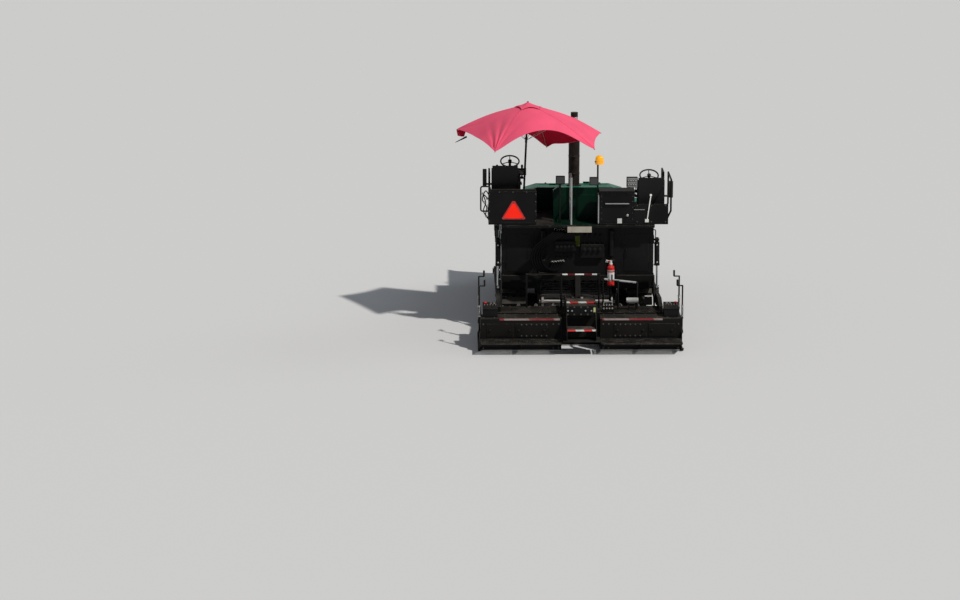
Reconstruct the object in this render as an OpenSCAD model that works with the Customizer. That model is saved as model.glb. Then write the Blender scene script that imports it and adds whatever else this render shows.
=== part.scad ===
// Tracked asphalt paver with an extended screed, two sliding operator stations and an umbrella.
// X runs across the machine (right is +X), Y forward (the hopper is at +Y), Z up from the ground.

/* [Tracks] */
// Clearance between the side body's face and the track's outer edge, seen from behind
track_inset = 6.5; // [5:0.5:40]
// Width of a track shoe
shoe_w = 457; // [400:1:460]
// Distance between two link pins
link_pitch = 171.45; // [165:0.05:175]
// Links in one track
n_links = 43; // [41:2:45]
// Teeth of the drive sprocket, two for each link
sprocket_teeth = 21; // [19:2:21]
// Height of a link from its pin to the shoe
link_top = 35; // [30:1:40]
// Height of a link from its pin to the running face
link_foot = 40; // [35:1:45]
// Thickness of a link rail
link_rail_t = 30; // [20:1:34]
// Distance of a link rail from the centre of its track
link_rail_x = 75; // [70:1:80]
// Thickness of a steel shoe plate
shoe_plate_t = 12; // [8:1:16]
// Thickness of the rubber pad on a shoe
pad_t = 33; // [25:1:45]
// Radius of a lower track roller
roller_r = 85; // [70:1:88]
// Lower rollers on one side
n_rollers = 6; // [5:1:7]
// Thickness of the plates that guard the rollers
guard_t = 12; // [8:1:16]
// Half width of the beam between the roller guards
beam_half = 110; // [100:1:125]

/* [Frame] */
// Outer face of a frame side plate from the centre plane
frame_half = 730; // [700:5:760]
// Thickness of a frame side plate
frame_t = 30; // [20:1:40]
// Underside of the frame
frame_z0 = 300; // [280:5:340]
// Top of the conveyor floor
floor_z = 600; // [590:5:620]
// Thickness of the conveyor floor
floor_t = 10; // [8:1:16]
// Height of the conveyor tunnel above its floor
tunnel_h = 380; // [350:5:390]
// Front end of the hopper
hopper_front_y = 6440; // [6300:10:6600]
// Front face of the wall between hopper and engine
bulkhead_y = 4700; // [4650:10:4720]
// Thickness of that wall
bulkhead_t = 20; // [12:1:30]
// Rear end of the tractor
tractor_rear_y = 2050; // [2030:5:2070]
// Half width of the side bodies over the tracks
body_half = 1405; // [1400:1:1410]
// Underside of the side bodies
body_z0 = 790; // [780:5:820]
// Top of the side bodies
body_z1 = 1990; // [1950:5:2010]

// Radius of a lashing hole in the frame
tie_r = 30; // [20:1:35]

/* [Engine] */
// Rear face of the hood
hood_y0 = 3300; // [3250:5:3350]
// Half width of the hood
hood_half = 950; // [900:5:1000]
// Top of the hood at its rear edge
hood_z1 = 2460; // [2420:5:2500]
// Top of the hood at its front edge
hood_front_z = 2280; // [2240:5:2320]
// Half width of the hood's tail between the stations
tail_half = 440; // [400:5:445]
// Rear face of the hood's tail
tail_y0 = 2350; // [2340:5:2450]
// Top of the hood's tail at its rear edge
tail_z1 = 2640; // [2560:5:2660]
// Thickness of the hood sheet
hood_t = 6; // [4:1:10]
// Width of the hood's sloping shoulders
shoulder_w = 250; // [200:5:280]
// Drop of the hood's sloping shoulders
shoulder_h = 75; // [50:5:100]
// Length of the engine
engine_l = 1100; // [1000:10:1200]
// Width of the engine
engine_w = 750; // [650:10:850]
// Height of the engine
engine_h = 1050; // [950:10:1100]
// Radius of the exhaust stack's shell
stack_r = 105; // [90:1:115]
// Top of the exhaust stack
stack_z1 = 3800; // [3600:10:3900]

/* [Deck and stations] */
// Rear edge of the operator deck
deck_y0 = 1780; // [1770:5:1800]
// Thickness of the deck with its edge flange
deck_h = 50; // [40:1:60]
// Inner edge of a station from the centre plane
station_x0 = 770; // [755:5:780]
// Outer edge of a station from the centre plane
station_x1 = 1650; // [1600:5:1680]
// How far a station slides inboard
station_travel = 300; // [200:10:300]
// Height of the slide bars under a station
slide_bar_h = 10; // [8:1:16]
// Thickness of a station's floor
pan_t = 12; // [8:1:16]
// Front edge of a station
station_y1 = 3150; // [3050:10:3200]
// Height of the left seat's top
seat_top_left = 3110; // [3000:10:3150]
// Height of the right seat's top
seat_top_right = 2880; // [2820:10:3050]
// Width of a seat
seat_w = 520; // [460:10:540]
// Radius of a steering wheel
wheel_rim_r = 170; // [150:5:190]
// Lean of a steering column towards its seat
column_lean = 27; // [15:1:35]

/* [Umbrella] */
// Radius of the umbrella pole
pole_r = 19; // [15:1:25]
// Top of the umbrella
umbrella_z1 = 4250; // [4100:10:4300]
// Thickness of the canopy solid
canopy_t = 12; // [8:1:20]

/* [Hopper] */
// Distance of the hopper wing's hinge from the frame's side plate
wing_hinge_out = 40; // [35:1:50]
// Height of a wing hinge
wing_hinge_z = 700; // [695:1:710]
// Outer face of a wing from the centre plane
wing_out_x = 1450; // [1430:5:1480]
// Slope of a wing's floor
wing_slope = 20; // [19:0.5:24]
// Top of a wing's side wall
wing_z1 = 1450; // [1350:10:1500]
// Thickness of the wing sheet
wing_t = 10; // [6:1:12]
// Radius of a push roller
push_roller_r = 90; // [80:1:100]
// Length of a push roller
push_roller_l = 900; // [800:10:950]

/* [Augers] */
// Radius of an auger flight
auger_r = 200; // [180:5:205]
// Distance between two turns of a flight
auger_pitch = 320; // [280:5:360]
// Thickness of a flight
flight_t = 14; // [10:1:20]
// Radius of an auger shaft
auger_shaft_r = 45; // [38:1:55]
// Radius of a bolt hole for an auger extension
auger_bolt_r = 6.5; // [5:0.5:8]
// Distance of the left end's bolt holes from the shaft's axis
auger_bolts_r = 65; // [62:1:68]
// How much farther out the right end's holes are, so that the two extensions can't be swapped
auger_bolts_key = 12; // [10:1:14]
// Outer end of the auger frame from the centre plane
auger_out_x = 1420; // [1400:5:1425]
// Height of the auger shafts
auger_z = 380; // [370:5:400]
// Place of the auger shafts along the machine
auger_y = 1700; // [1695:5:1710]

/* [Screed] */
// How far the main screed reaches past the tow arm on each side
screed_past_arm = 20; // [15:1:25]
// Front face of the main screed
screed_y1 = 1440; // [1420:5:1445]
// Length of the main screed along the machine
screed_d = 640; // [600:5:660]
// Height of the main screed's box
screed_h = 620; // [600:5:640]
// Inner end of an extender from the centre plane
extender_x0 = 350; // [345:5:380]
// Outer end of an extender from the centre plane, as the photo shows it
extender_x1 = 1792; // [1790:1:1830]
// Rear face of an extender
extender_y0 = 400; // [390:5:420]
// Thickness of the plate that closes an extender's end
end_plate_t = 20; // [12:1:24]
// Thickness of an end gate
gate_t = 12; // [8:1:16]
// Radius of an extender's guide tube
guide_r = 45; // [35:1:55]
// Height of the top of the walkway
walkway_z = 240; // [230:5:240]
// Depth of the walkway
walkway_d = 350; // [300:5:370]
// Height of the tow points
tow_z = 560; // [550:5:600]
// Thickness of a tow arm
arm_t = 70; // [50:1:70]
// Inner face of a tow arm from the centre plane
arm_gap = 30; // [30:1:35]

/* [Fits] */
// Gap between a piece and its seat
seat_gap = 0.3; // [0.2:0.05:0.5]
// Radial clearance of a running bore
bore_fit = 0.05; // [0.02:0.01:0.1]
// Gap beside a moving piece
side_gap = 6; // [5:1:10]

/* [Hidden] */
$fn = 64;

black = [0.07, 0.07, 0.08];
green = [0.02, 0.17, 0.11];
steel = [0.45, 0.45, 0.46];
rubber = [0.12, 0.12, 0.12];
grey = [0.62, 0.63, 0.63];
red = [0.8, 0.08, 0.06];

// Tracks
link_angle = 720 / sprocket_teeth;
pin_r = link_pitch / 2 / sin(link_angle / 2);
straight_links = (n_links - sprocket_teeth / 2) / 2;
wheel_links = sprocket_teeth / 4;
straight_l = straight_links * link_pitch;
shoe_out = link_top + shoe_plate_t + pad_t;
wheel_z = pin_r + shoe_out;
rear_wheel_y = tractor_rear_y + 380;
front_wheel_y = rear_wheel_y + straight_l;
track_x = body_half - track_inset - shoe_w / 2;
idler_r = (pin_r - link_foot) * cos(link_angle / 2) - seat_gap;
lower_rail_z = shoe_out + link_foot;
upper_rail_z = 2 * wheel_z - lower_rail_z;
beam_z = [lower_rail_z + 2 * roller_r + 10, lower_rail_z + 2 * roller_r + 160];
carrier_r = 70;

// Frame
frame_in = frame_half - frame_t;
tie_x = frame_half - frame_t / 2;
tie_y = hopper_front_y - 60;
tie_z = frame_z0 + 125;
frame_y1 = hopper_front_y + 40;
tunnel_z1 = floor_z + tunnel_h;
roof_t = 20;
divider_half = 30;
body_y1 = bulkhead_y - bulkhead_t;
hood_slope = atan((hood_z1 - hood_front_z) / (bulkhead_y - hood_y0));
// Across the hood and forward along its slope
hood_door_x = [-640, 640];
hood_door_run = [820, 1220];
door_hinge = [hood_y0 + (hood_door_run[0] - 12) * cos(hood_slope) + 14 * sin(hood_slope),
    hood_z1 - (hood_door_run[0] - 12) * sin(hood_slope) + 14 * cos(hood_slope)];
stack_y = hood_y0 + 550;
stack_run = (stack_y - hood_y0) / cos(hood_slope);
chain_h = 25;
chain_w = 40;
conveyor_z = [floor_z - 160, floor_z + seat_gap];
conveyor_y = [tractor_rear_y + 70, hopper_front_y - 110];
conveyor_r = (conveyor_z[1] - conveyor_z[0]) / 2 + chain_h / 2;
conveyor_axis_z = (conveyor_z[0] + conveyor_z[1] + chain_h) / 2;
chain_x = [90, frame_in - 60];
slat_x = [55, frame_in - 25];
slat_pitch = 420;
side_steps_z = [1150, 1500];

// Deck and stations
deck_z1 = body_z1 + deck_h;
pan_z0 = deck_z1 + slide_bar_h + seat_gap;
pan_z1 = pan_z0 + pan_t;
slide_bar_y = [2150, 2950];
slide_bar_w = 60;
panel_y = deck_y0 + 10;
panel_t = 6;
panel_z1 = 2680;
seat_x = [-1340, 1350];
seat_top = [seat_top_left, seat_top_right];
seat_y = [2100, 2620];
wheel_x = [-1240, 1350];
wheel_y = 2700;
wheel_top_drop = [40, 80];
rail_r = 17;
grab_x = -130;
tool_box_x = [390, 1030];
tool_box_y = [panel_y + 10, 2150];
tool_box_z1 = 2640;
handle_z = tool_box_z1 - 200;
tool_box_t = 4;
lid_t = 30;
mast_x = 360;
mast_y = 1990;
mast_r = 16;
lamp_z = 2790;
lamp_x = -330;
beacon_z = 3180;
triangle_w = 410;
triangle_x = -1190;
triangle_z = 2160;

// Umbrella: the pole's foot and top, then each rib's tip from the top and how far the wind lifts the hem after it
pole_foot = [-1010, 2300, pan_z1];
umbrella_top = [-920, 2300, umbrella_z1];
// How far the canopy's cloth lies below its vent
vent_drop = 35;
socket_r = pole_r + 1;
socket_h = 420;
socket_wall = 8;
// columns: across, forward, drop of the tip, lift of the hem up to the next tip
rib_tips = [
    [-1300, 450, -630, -20],
    [-620, -1050, -730, 330],
    [1190, -850, -720, -10],
    [1370, 550, -680, -60],
    [840, 1000, -985, -150],
    [-500, 1250, -620, -60]];
hem_steps = 4;
canopy_rings = 6;
canopy_cols = len(rib_tips) * hem_steps;
vent_reach = 0.22;

// Hopper
wing_y = [bulkhead_y + 20, hopper_front_y + 30];
wing_pin_r = 16;
knuckle_r = 32;
wing_knuckles = [4800, 5550, 6270];
knuckle_l = 100;
wing_hinge_x = frame_half + wing_hinge_out;
wing_floor_x0 = wing_hinge_x + 32;
push_bar_y = [frame_y1 + 90, frame_y1 + 210];
push_bar_half = 1250;
push_bar_z = [430, 610];
push_roller_x0 = 150;
push_roller_y = push_bar_y[1] + 120;
push_roller_z = 520;
push_shaft_r = 25;
push_pivot_r = 60;

// Augers
auger_beam_y = [1875, 1955 - seat_gap];
auger_beam_z = [990, 1070];
bearing_t = 20;
centre_case_half = 45;
auger_lift = 150;
flight_steps = 18;
flight_x0 = centre_case_half + 12;
flight_x1 = auger_out_x - bearing_t - 12;
flight_turns = (flight_x1 - flight_x0 - flight_t) / auger_pitch;
flight_in_r = (auger_shaft_r + 0.1) / cos(180 / flight_steps);
guide_post_x = [600, 680];

// Screed
screed_y0 = screed_y1 - screed_d;
extender_y1 = screed_y0 - 10;
extender_h = 610;
guide_y = screed_y0 + 110;
guide_z = [210, 470];
guide_x0 = 300;
end_plate_x = [extender_x1, extender_x1 + end_plate_t];
gate_x = [end_plate_x[1] + seat_gap, end_plate_x[1] + seat_gap + gate_t];
gate_y = [330, 1560];
gate_h = 400;
crank_z = 1180;
gate_screw_y = [520, 1320];
gate_screw_r = 14;
gate_screw_x = gate_x[1] + 8;
screw_lug_x = gate_x[1] + 28;
ski_w = 32;
tow_y = bulkhead_y;
tow_pin_r = 40;
arm_x0 = body_half + arm_gap;
arm_x1 = arm_x0 + arm_t;
screed_half = arm_x1 + screed_past_arm;
lift_x = (arm_x0 + arm_x1) / 2;
lift_pin_r = 20;
lift_top = [2110, 1700];
lift_eye = [1950, 830];
lift_barrel_l = 480;
lift_barrel_r = 48;
lift_rod_r = 20;
lift_ear_t = 10;
lift_rod_l = 474;
lift_lean = atan2(lift_top[0] - lift_eye[0], lift_top[1] - lift_eye[1]);
lift_l = norm(lift_top - lift_eye);
lift_eye_slack = 6;
steps_half = 270;
stringer_t = 12;
// columns: rear edge and height of each tread
treads = [[60, 480], [620, 870]];
tread_d = 250;
tread_t = 30;
rail_bar = [-980, 380];
rail_bar_z = 1240;
rail_bar_y = 1200;
extinguisher_x = 575;
extinguisher_z = 1040;
extinguisher_r = 65;

// The origin is under the middle of the whole outline
extent_x0 = umbrella_top[0] + rib_tips[0][0];
extent_x1 = gate_x[1] + ski_w;
extent_y1 = push_roller_y + push_roller_r;
shift_x = -(extent_x0 + extent_x1) / 2;
shift_y = -extent_y1 / 2;

// Place of pin number u along the track, as [forward, up]
function pin_at(u) =
    u < straight_links ? [rear_wheel_y + u * link_pitch, wheel_z - pin_r] :
    u < straight_links + wheel_links ? let (a = (u - straight_links) * link_angle)
        [front_wheel_y + pin_r * sin(a), wheel_z - pin_r * cos(a)] :
    u < 2 * straight_links + wheel_links ?
        [front_wheel_y - (u - straight_links - wheel_links) * link_pitch, wheel_z + pin_r] :
    let (a = (u - 2 * straight_links - wheel_links) * link_angle)
        [rear_wheel_y - pin_r * sin(a), wheel_z + pin_r * cos(a)];

// Outward direction of the track at pin number u
function pin_out(u) =
    u < straight_links ? [0, -1] :
    u < straight_links + wheel_links ? let (a = (u - straight_links) * link_angle) [sin(a), -cos(a)] :
    u < 2 * straight_links + wheel_links ? [0, 1] :
    let (a = (u - 2 * straight_links - wheel_links) * link_angle) [-sin(a), cos(a)];

// A point of link i: a along the link from its middle, h outwards from its pin line
function on_link(i, a, h) =
    let (p = pin_at(i), q = pin_at((i + 1) % n_links), t = (q - p) / norm(q - p))
    (p + q) / 2 + a * t + h * [t[1], -t[0]];

module box(x, y, z) {
    translate([x[0], y[0], z[0]])
        cube([x[1] - x[0], y[1] - y[0], z[1] - z[0]]);
}

module rod_x(x, y, z, r) {
    translate([x[0], y, z]) rotate([0, 90, 0]) cylinder(h = x[1] - x[0], r = r);
}

module rod_y(x, y, z, r) {
    translate([x, y[1], z]) rotate([90, 0, 0]) cylinder(h = y[1] - y[0], r = r);
}

module rod_z(x, y, z, r) {
    translate([x, y, z[0]]) cylinder(h = z[1] - z[0], r = r);
}

// A round bar from point p to point q
module bar(p, q, r) {
    d = q - p;
    translate(p)
        rotate([0, acos(d[2] / norm(d)), atan2(d[1], d[0])])
            cylinder(h = norm(d), r = r);
}

// A bent tube through the points, with a ball at each bend
module bent_tube(points, r) {
    for (i = [0:len(points) - 2]) bar(points[i], points[i + 1], r);
    for (i = [1:len(points) - 2]) translate(points[i]) sphere(r + 1);
}

// Extrudes an outline of [forward, up] points across the machine
module across(x, points) {
    translate([x[0], 0, 0]) rotate([90, 0, 90])
        linear_extrude(x[1] - x[0]) polygon(points);
}

// Extrudes an outline of [across, up] points along the machine
module along(y, points) {
    translate([0, y[1], 0]) rotate([90, 0, 0])
        linear_extrude(y[1] - y[0]) polygon(points);
}

// Draws a right-hand piece on side s, which is 1 on the right and -1 on the left
module on_side(s) {
    mirror([s < 0 ? 1 : 0, 0, 0]) children();
}

module link_rail() {
    difference() {
        polygon([for (i = [0:n_links - 1]) pin_at(i) + link_top * pin_out(i)]);
        polygon([for (i = [0:n_links - 1]) pin_at(i) - link_foot * pin_out(i)]);
    }
}

module shoe(i) {
    plate_half = link_pitch / 2 - 4;
    pad_half = plate_half - 8;
    sunk = link_top - 8;
    pad_foot = link_top + shoe_plate_t;
    polygon([
        on_link(i, -plate_half, sunk), on_link(i, -plate_half, pad_foot),
        on_link(i, -pad_half, pad_foot), on_link(i, -pad_half + 8, shoe_out),
        on_link(i, pad_half - 8, shoe_out), on_link(i, pad_half, pad_foot),
        on_link(i, plate_half, pad_foot), on_link(i, plate_half, sunk)]);
}

module track(s) {
    color(rubber)
        on_side(s) translate([track_x, 0, 0]) {
            for (x = [-link_rail_x, link_rail_x])
                translate([x - link_rail_t / 2, 0, 0]) rotate([90, 0, 90])
                    linear_extrude(link_rail_t) link_rail();
            translate([-shoe_w / 2, 0, 0]) rotate([90, 0, 90])
                linear_extrude(shoe_w) for (i = [0:n_links - 1]) shoe(i);
        }
}

module sprocket() {
    tooth_angle = 360 / sprocket_teeth;
    root_r = pin_r - 36;
    tip_r = pin_r + 8;
    polygon([for (i = [0:sprocket_teeth - 1], c = [[-0.30, root_r], [-0.12, tip_r], [0.12, tip_r], [0.30, root_r]])
        let (a = (i + c[0]) * tooth_angle) c[1] * [cos(a), sin(a)]]);
}

module undercarriage(s) {
    rollers_y = [rear_wheel_y + 470, front_wheel_y - 400];
    roller_z = lower_rail_z + seat_gap + roller_r;
    carrier_z = upper_rail_z - seat_gap - carrier_r;
    wheel_half = link_rail_x + link_rail_t / 2 + 4;
    guard_y0 = rollers_y[0] - 130;
    guard_out = beam_half + guard_t;
    color(black) on_side(s) translate([track_x, 0, 0]) {
        box([-beam_half, beam_half], [guard_y0, front_wheel_y - idler_r - 60], beam_z);
        for (x = [-guard_out, beam_half])
            across([x, x + guard_t], [[guard_y0, beam_z[0]], [guard_y0 + 60, beam_z[0] - 120],
                [rollers_y[1] + 90, beam_z[0] - 120], [rollers_y[1] + 150, beam_z[0] - 40],
                [front_wheel_y + 70, wheel_z - 70], [front_wheel_y + 70, wheel_z + 70],
                [front_wheel_y - 150, beam_z[1]], [guard_y0, beam_z[1]]]);
        for (i = [0:n_rollers - 1]) {
            y = rollers_y[0] + i * (rollers_y[1] - rollers_y[0]) / (n_rollers - 1);
            rod_x([-wheel_half, wheel_half], y, roller_z, roller_r);
            rod_x([-link_rail_x + 30, link_rail_x - 30], y, roller_z, roller_r + 14);
            rod_x([-guard_out - 10, guard_out + 10], y, roller_z, 24);
        }
        for (y = [rear_wheel_y + 900, front_wheel_y - 900]) {
            rod_x([-wheel_half, wheel_half], y, carrier_z, carrier_r);
            rod_x([-beam_half, beam_half], y, carrier_z, 20);
            for (x = [-beam_half, beam_half - 12])
                across([x, x + 12], [[y - 70, beam_z[1] - 5], [y + 70, beam_z[1] - 5], [y + 28, carrier_z + 28],
                    [y - 28, carrier_z + 28]]);
        }
        rod_x([-wheel_half, wheel_half], front_wheel_y, wheel_z, idler_r);
        rod_x([-link_rail_x + 25, link_rail_x - 25], front_wheel_y, wheel_z, pin_r - 6);
        rod_x([-guard_out - 14, guard_out + 14], front_wheel_y, wheel_z, 45);
        translate([-35, rear_wheel_y, wheel_z]) rotate([90, 0, 90]) linear_extrude(70) sprocket();
        rod_x([frame_half - track_x, 105], rear_wheel_y, wheel_z, 150);
        rod_x([105, 130], rear_wheel_y, wheel_z, 105);
        for (y = [rollers_y[0] + 150, rollers_y[1] - 350])
            box([frame_half - track_x, -beam_half], [y, y + 200], [beam_z[0] + 10, beam_z[1] - 20]);
    }
}

// The hinge pin of the right wing and the lugs that hold it
module wing_lugs() {
    rod_y(wing_hinge_x, [wing_y[0], wing_y[1] - 30], wing_hinge_z, wing_pin_r);
    for (y = [wing_y[0], wing_knuckles[0] + knuckle_l + 10, wing_knuckles[1] - 62, wing_knuckles[1] + knuckle_l + 10,
            wing_knuckles[2] + knuckle_l + 8]) {
            rod_y(wing_hinge_x, [y, y + 52], wing_hinge_z, 24);
            box([frame_half - 5, wing_hinge_x + 8], [y, y + 52], [wing_hinge_z - 60, wing_hinge_z + 8]);
        }
}

module main_frame() {
    inner = frame_in - seat_gap;
    color(black) {
        for (s = [-1, 1]) on_side(s) {
            difference() {
                across([frame_in, frame_half], [[tractor_rear_y, frame_z0 + 120], [tractor_rear_y + 120, frame_z0],
                    [frame_y1 - 160, frame_z0], [frame_y1, frame_z0 + 120], [frame_y1, floor_z + 130],
                    [bulkhead_y, floor_z + 130], [bulkhead_y, tunnel_z1], [tractor_rear_y, tunnel_z1]]);
                rod_x([frame_in - 1, frame_half + 1], tie_y, tie_z, tie_r);
            }
            wing_lugs();
        }
        for (y = [2400, 3700, 5000, 6000]) box([-inner, inner], [y, y + 120], [frame_z0 + 10, frame_z0 + 100]);
        box([-inner, inner], [hopper_front_y, frame_y1], [frame_z0 + 100, floor_z + 130]);
        box([-150, 150], [frame_y1 - 5, frame_y1 + 40], [push_roller_z - 130, push_roller_z + 130]);
        for (z = [push_bar_z[0] - 40 - side_gap, push_bar_z[1] + side_gap])
            box([-90, 90], [frame_y1, push_bar_y[0] + 130], [z, z + 40]);
        rod_z(0, push_bar_y[0] + 60, [push_bar_z[0] - 40 - side_gap, push_bar_z[1] + 40 + side_gap], push_pivot_r - 20);
    }
}

module conveyor_floor() {
    inner = frame_in - seat_gap;
    color(black) {
        box([-inner, inner], [conveyor_y[0] + 90, conveyor_y[1] - 90], [floor_z - floor_t, floor_z]);
        box([-divider_half, divider_half], [tractor_rear_y, hopper_front_y - seat_gap], [floor_z - floor_t, floor_z + 150]);
    }
}

// Wall between hopper and engine, with the tunnel's roof behind it
module hopper_wall() {
    z0 = tunnel_z1 + seat_gap;
    color(black) {
        difference() {
            box([-body_half, body_half], [body_y1, bulkhead_y], [body_z0, body_z1]);
            box([-frame_half - seat_gap, frame_half + seat_gap], [body_y1 - 1, bulkhead_y + 1], [body_z0 - 1, z0]);
        }
        box([-frame_half, frame_half], [tractor_rear_y, body_y1 + 5], [z0, tunnel_z1 + roof_t]);
    }
}

module conveyor_loop() {
    steps = 6;
    function ring(r) = concat(
        [for (i = [0:steps]) let (a = -90 + i * 180 / steps) [conveyor_y[1] + r * cos(a), conveyor_axis_z + r * sin(a)]],
        [for (i = [0:steps]) let (a = 90 + i * 180 / steps) [conveyor_y[0] + r * cos(a), conveyor_axis_z + r * sin(a)]]);
    difference() {
        polygon(ring(conveyor_r));
        polygon(ring(conveyor_r - chain_h));
    }
}

module conveyors() {
    n_slats = floor((conveyor_y[1] - conveyor_y[0]) / slat_pitch);
    color(steel) for (s = [-1, 1]) on_side(s) {
        for (x = chain_x)
            translate([x - chain_w / 2, 0, 0]) rotate([90, 0, 90]) linear_extrude(chain_w) conveyor_loop();
        for (i = [0:n_slats - 1], z = [conveyor_z[0] - 7, conveyor_z[1] + 8])
            box(slat_x, [conveyor_y[0] + 60 + i * slat_pitch, conveyor_y[0] + 120 + i * slat_pitch], [z, z + chain_h]);
        for (y = conveyor_y) {
            rod_x([divider_half, frame_in], y, conveyor_axis_z, 35);
            for (x = chain_x)
                rod_x([x - 12, x + 12], y, conveyor_axis_z, (conveyor_r - chain_h) * cos(15) - seat_gap);
        }
    }
}

module engine_block() {
    color(grey)
        box([-engine_w / 2, engine_w / 2], [hood_y0 + 130, hood_y0 + 130 + engine_l],
            [tunnel_z1 + roof_t, tunnel_z1 + roof_t + engine_h]);
}

// Door outlines and louvres on a side body's outer face: columns are rear edge, length, louvres
side_doors = [[60, 900, 0], [1000, 760, 9], [1800, 780, 9]];

module side_tank(s) {
    step_depth = 90;
    groove = 6;
    color(green) on_side(s) difference() {
        along([tractor_rear_y, body_y1], [[frame_half, body_z0], [body_half, body_z0], [body_half, body_z1 - 25],
            [body_half - 25, body_z1], [frame_half, body_z1]]);
        for (d = side_doors) {
            y0 = tractor_rear_y + d[0];
            difference() {
                box([body_half - groove, body_half + 1], [y0, y0 + d[1]], [body_z0 + 60, body_z1 - 90]);
                box([body_half - groove - 1, body_half + 2], [y0 + groove, y0 + d[1] - groove],
                    [body_z0 + 60 + groove, body_z1 - 90 - groove]);
            }
            if (d[2] > 0)
                for (i = [0:d[2] - 1], z = [body_z0 + 180 + i * 55])
                    across([body_half - 18, body_half + 1], [[y0 + 110, z], [y0 + d[1] - 110, z],
                        [y0 + d[1] - 110, z + 26], [y0 + 110, z + 26]]);
        }
        for (z = side_steps_z)
            box([body_half - step_depth, body_half + 1], [tractor_rear_y + 240, tractor_rear_y + 560], [z, z + 160]);
    }
}

// A cover's outline across the machine with sloping shoulders, drawn in by t, its top at zero
module cover_outline(half, shoulder, t) {
    f = atan(shoulder[1] / shoulder[0]);
    a = [half - t, -shoulder[1] - t * (1 - sin(f)) / cos(f)];
    b = [half - shoulder[0] - t * tan(f / 2), -t];
    polygon([[-half + t, -900], [-a[0], a[1]], [-b[0], b[1]], b, a, [half - t, -900]]);
}

// A cover of sheet, or the space inside it when drawn in by t, sloping down from its rear edge
module cover(half, shoulder, y, rear_z, front_z, foot_z, t) {
    intersection() {
        translate([0, y[0], rear_z]) rotate([90 - atan((rear_z - front_z) / (y[1] - y[0])), 0, 0])
            translate([0, 0, -2200]) linear_extrude(2600) cover_outline(half, shoulder, t);
        box([-half, half], [y[0] + t, y[1] - t], [foot_z - (t > 0 ? 1 : 0), rear_z + 1]);
    }
}

// Children on the hood's sloping top: forward along it from its rear edge, and up from it
module on_hood() {
    translate([0, hood_y0, hood_z1]) rotate([-hood_slope, 0, 0]) children();
}

module hood_cover(t) {
    cover(hood_half, [shoulder_w, shoulder_h], [hood_y0, bulkhead_y], hood_z1, hood_front_z, body_z1, t);
}

module tail_cover(t) {
    cover(tail_half, [70, 50], [tail_y0, hood_y0 + 2], tail_z1, hood_z1, deck_z1 + seat_gap, t);
}

module engine_hood() {
    louvre_n = 14;
    door_lip = 14;
    color(green) {
        difference() {
            hood_cover(0);
            hood_cover(hood_t);
            on_hood() box([hood_door_x[0] + door_lip, hood_door_x[1] - door_lip],
                [hood_door_run[0] + door_lip, hood_door_run[1] - door_lip], [-50, 1]);
            for (i = [0:louvre_n - 1], x = [-hood_half - 1, hood_half - hood_t - 1])
                box([x, x + hood_t + 2], [hood_y0 + 520 + i * 50, hood_y0 + 545 + i * 50], [body_z1 + 60, body_z1 + 180]);
            for (x = [-620:62:620])
                box([x - 14, x + 14], [bulkhead_y - hood_t - 1, bulkhead_y + 1], [body_z1 + 60, hood_front_z - 70]);
            rod_z(0, stack_y, [hood_z1 - 150, hood_z1 + 1], stack_r - 30);
        }
        difference() {
            tail_cover(0);
            tail_cover(hood_t);
        }
    }
}

module hood_door() {
    run = hood_door_run;
    color(green) on_hood() {
        box(hood_door_x, run, [seat_gap, seat_gap + hood_t]);
        for (x = [-400, 400]) {
            rod_x([x - 60, x + 60], run[0] - 12, 14, 11);
            box([x - 55, x + 55], [run[0] - 12, run[0] + 60], [5, 12]);
        }
        for (x = [-260, 260]) box([x - 60, x + 60], [run[1] - 90, run[1] - 60], [5, 45]);
    }
}

module exhaust_stack() {
    tip_z = stack_z1 - 260;
    run = stack_run;
    color([0.16, 0.12, 0.1]) {
        on_hood() difference() {
            rod_z(0, run, [seat_gap, 14], stack_r + 35);
            rod_z(0, run, [seat_gap - 1, 15], stack_r - 20);
        }
        difference() {
            union() {
                rod_z(0, stack_y, [hood_front_z, tip_z], stack_r);
                translate([0, stack_y, tip_z]) cylinder(h = 70, r1 = stack_r, r2 = stack_r - 35);
                rod_z(0, stack_y, [tip_z + 60, stack_z1], stack_r - 40);
            }
            on_hood() box([-300, 300], [run - 300, run + 300], [-400, seat_gap]);
            rod_z(0, stack_y, [tip_z - 300, stack_z1 + 1], stack_r - 46);
        }
    }
}

module operator_deck() {
    plate = 8;
    color(steel) {
        difference() {
            box([-body_half, body_half], [deck_y0, hood_y0 - 4], [body_z1, deck_z1]);
            box([-frame_half + 20, frame_half - 20], [deck_y0 + plate, hood_y0 - 4 - plate], [body_z1 - 1, deck_z1 - plate]);
            for (s = [-1, 1]) on_side(s)
                box([frame_half + 10, body_half - plate], [deck_y0 + plate, tractor_rear_y - plate],
                    [body_z1 - 1, deck_z1 - plate]);
        }
        for (x = [-360, 0, 360]) box([x - 6, x + 6], [deck_y0 + 4, hood_y0 - 8], [body_z1, deck_z1 - 4]);
        for (s = [-1, 1], y = slide_bar_y) on_side(s)
            box([station_x0 - station_travel, body_half], [y, y + slide_bar_w], [deck_z1 - 1, deck_z1 + slide_bar_h]);
    }
}

module deck_rails() {
    color(grey) {
        bent_tube([[grab_x, 1810, deck_z1], [grab_x, 1810, 2900], [grab_x, 2300, 2900], [grab_x, 2300, deck_z1]], rail_r);
        bar([grab_x, 1810, 2470], [grab_x, 2300, 2470], rail_r - 3);
    }
}

module lamp_head(x, y, z) {
    box([x - 75, x + 75], [y - 60, y + 30], [z, z + 130]);
    box([x - 85, x + 85], [y - 72, y - 58], [z - 10, z + 140]);
}

module work_light() {
    color(black) {
        rod_z(lamp_x, mast_y, [deck_z1, lamp_z + 5], mast_r);
        lamp_head(lamp_x, mast_y, lamp_z);
    }
}

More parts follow.
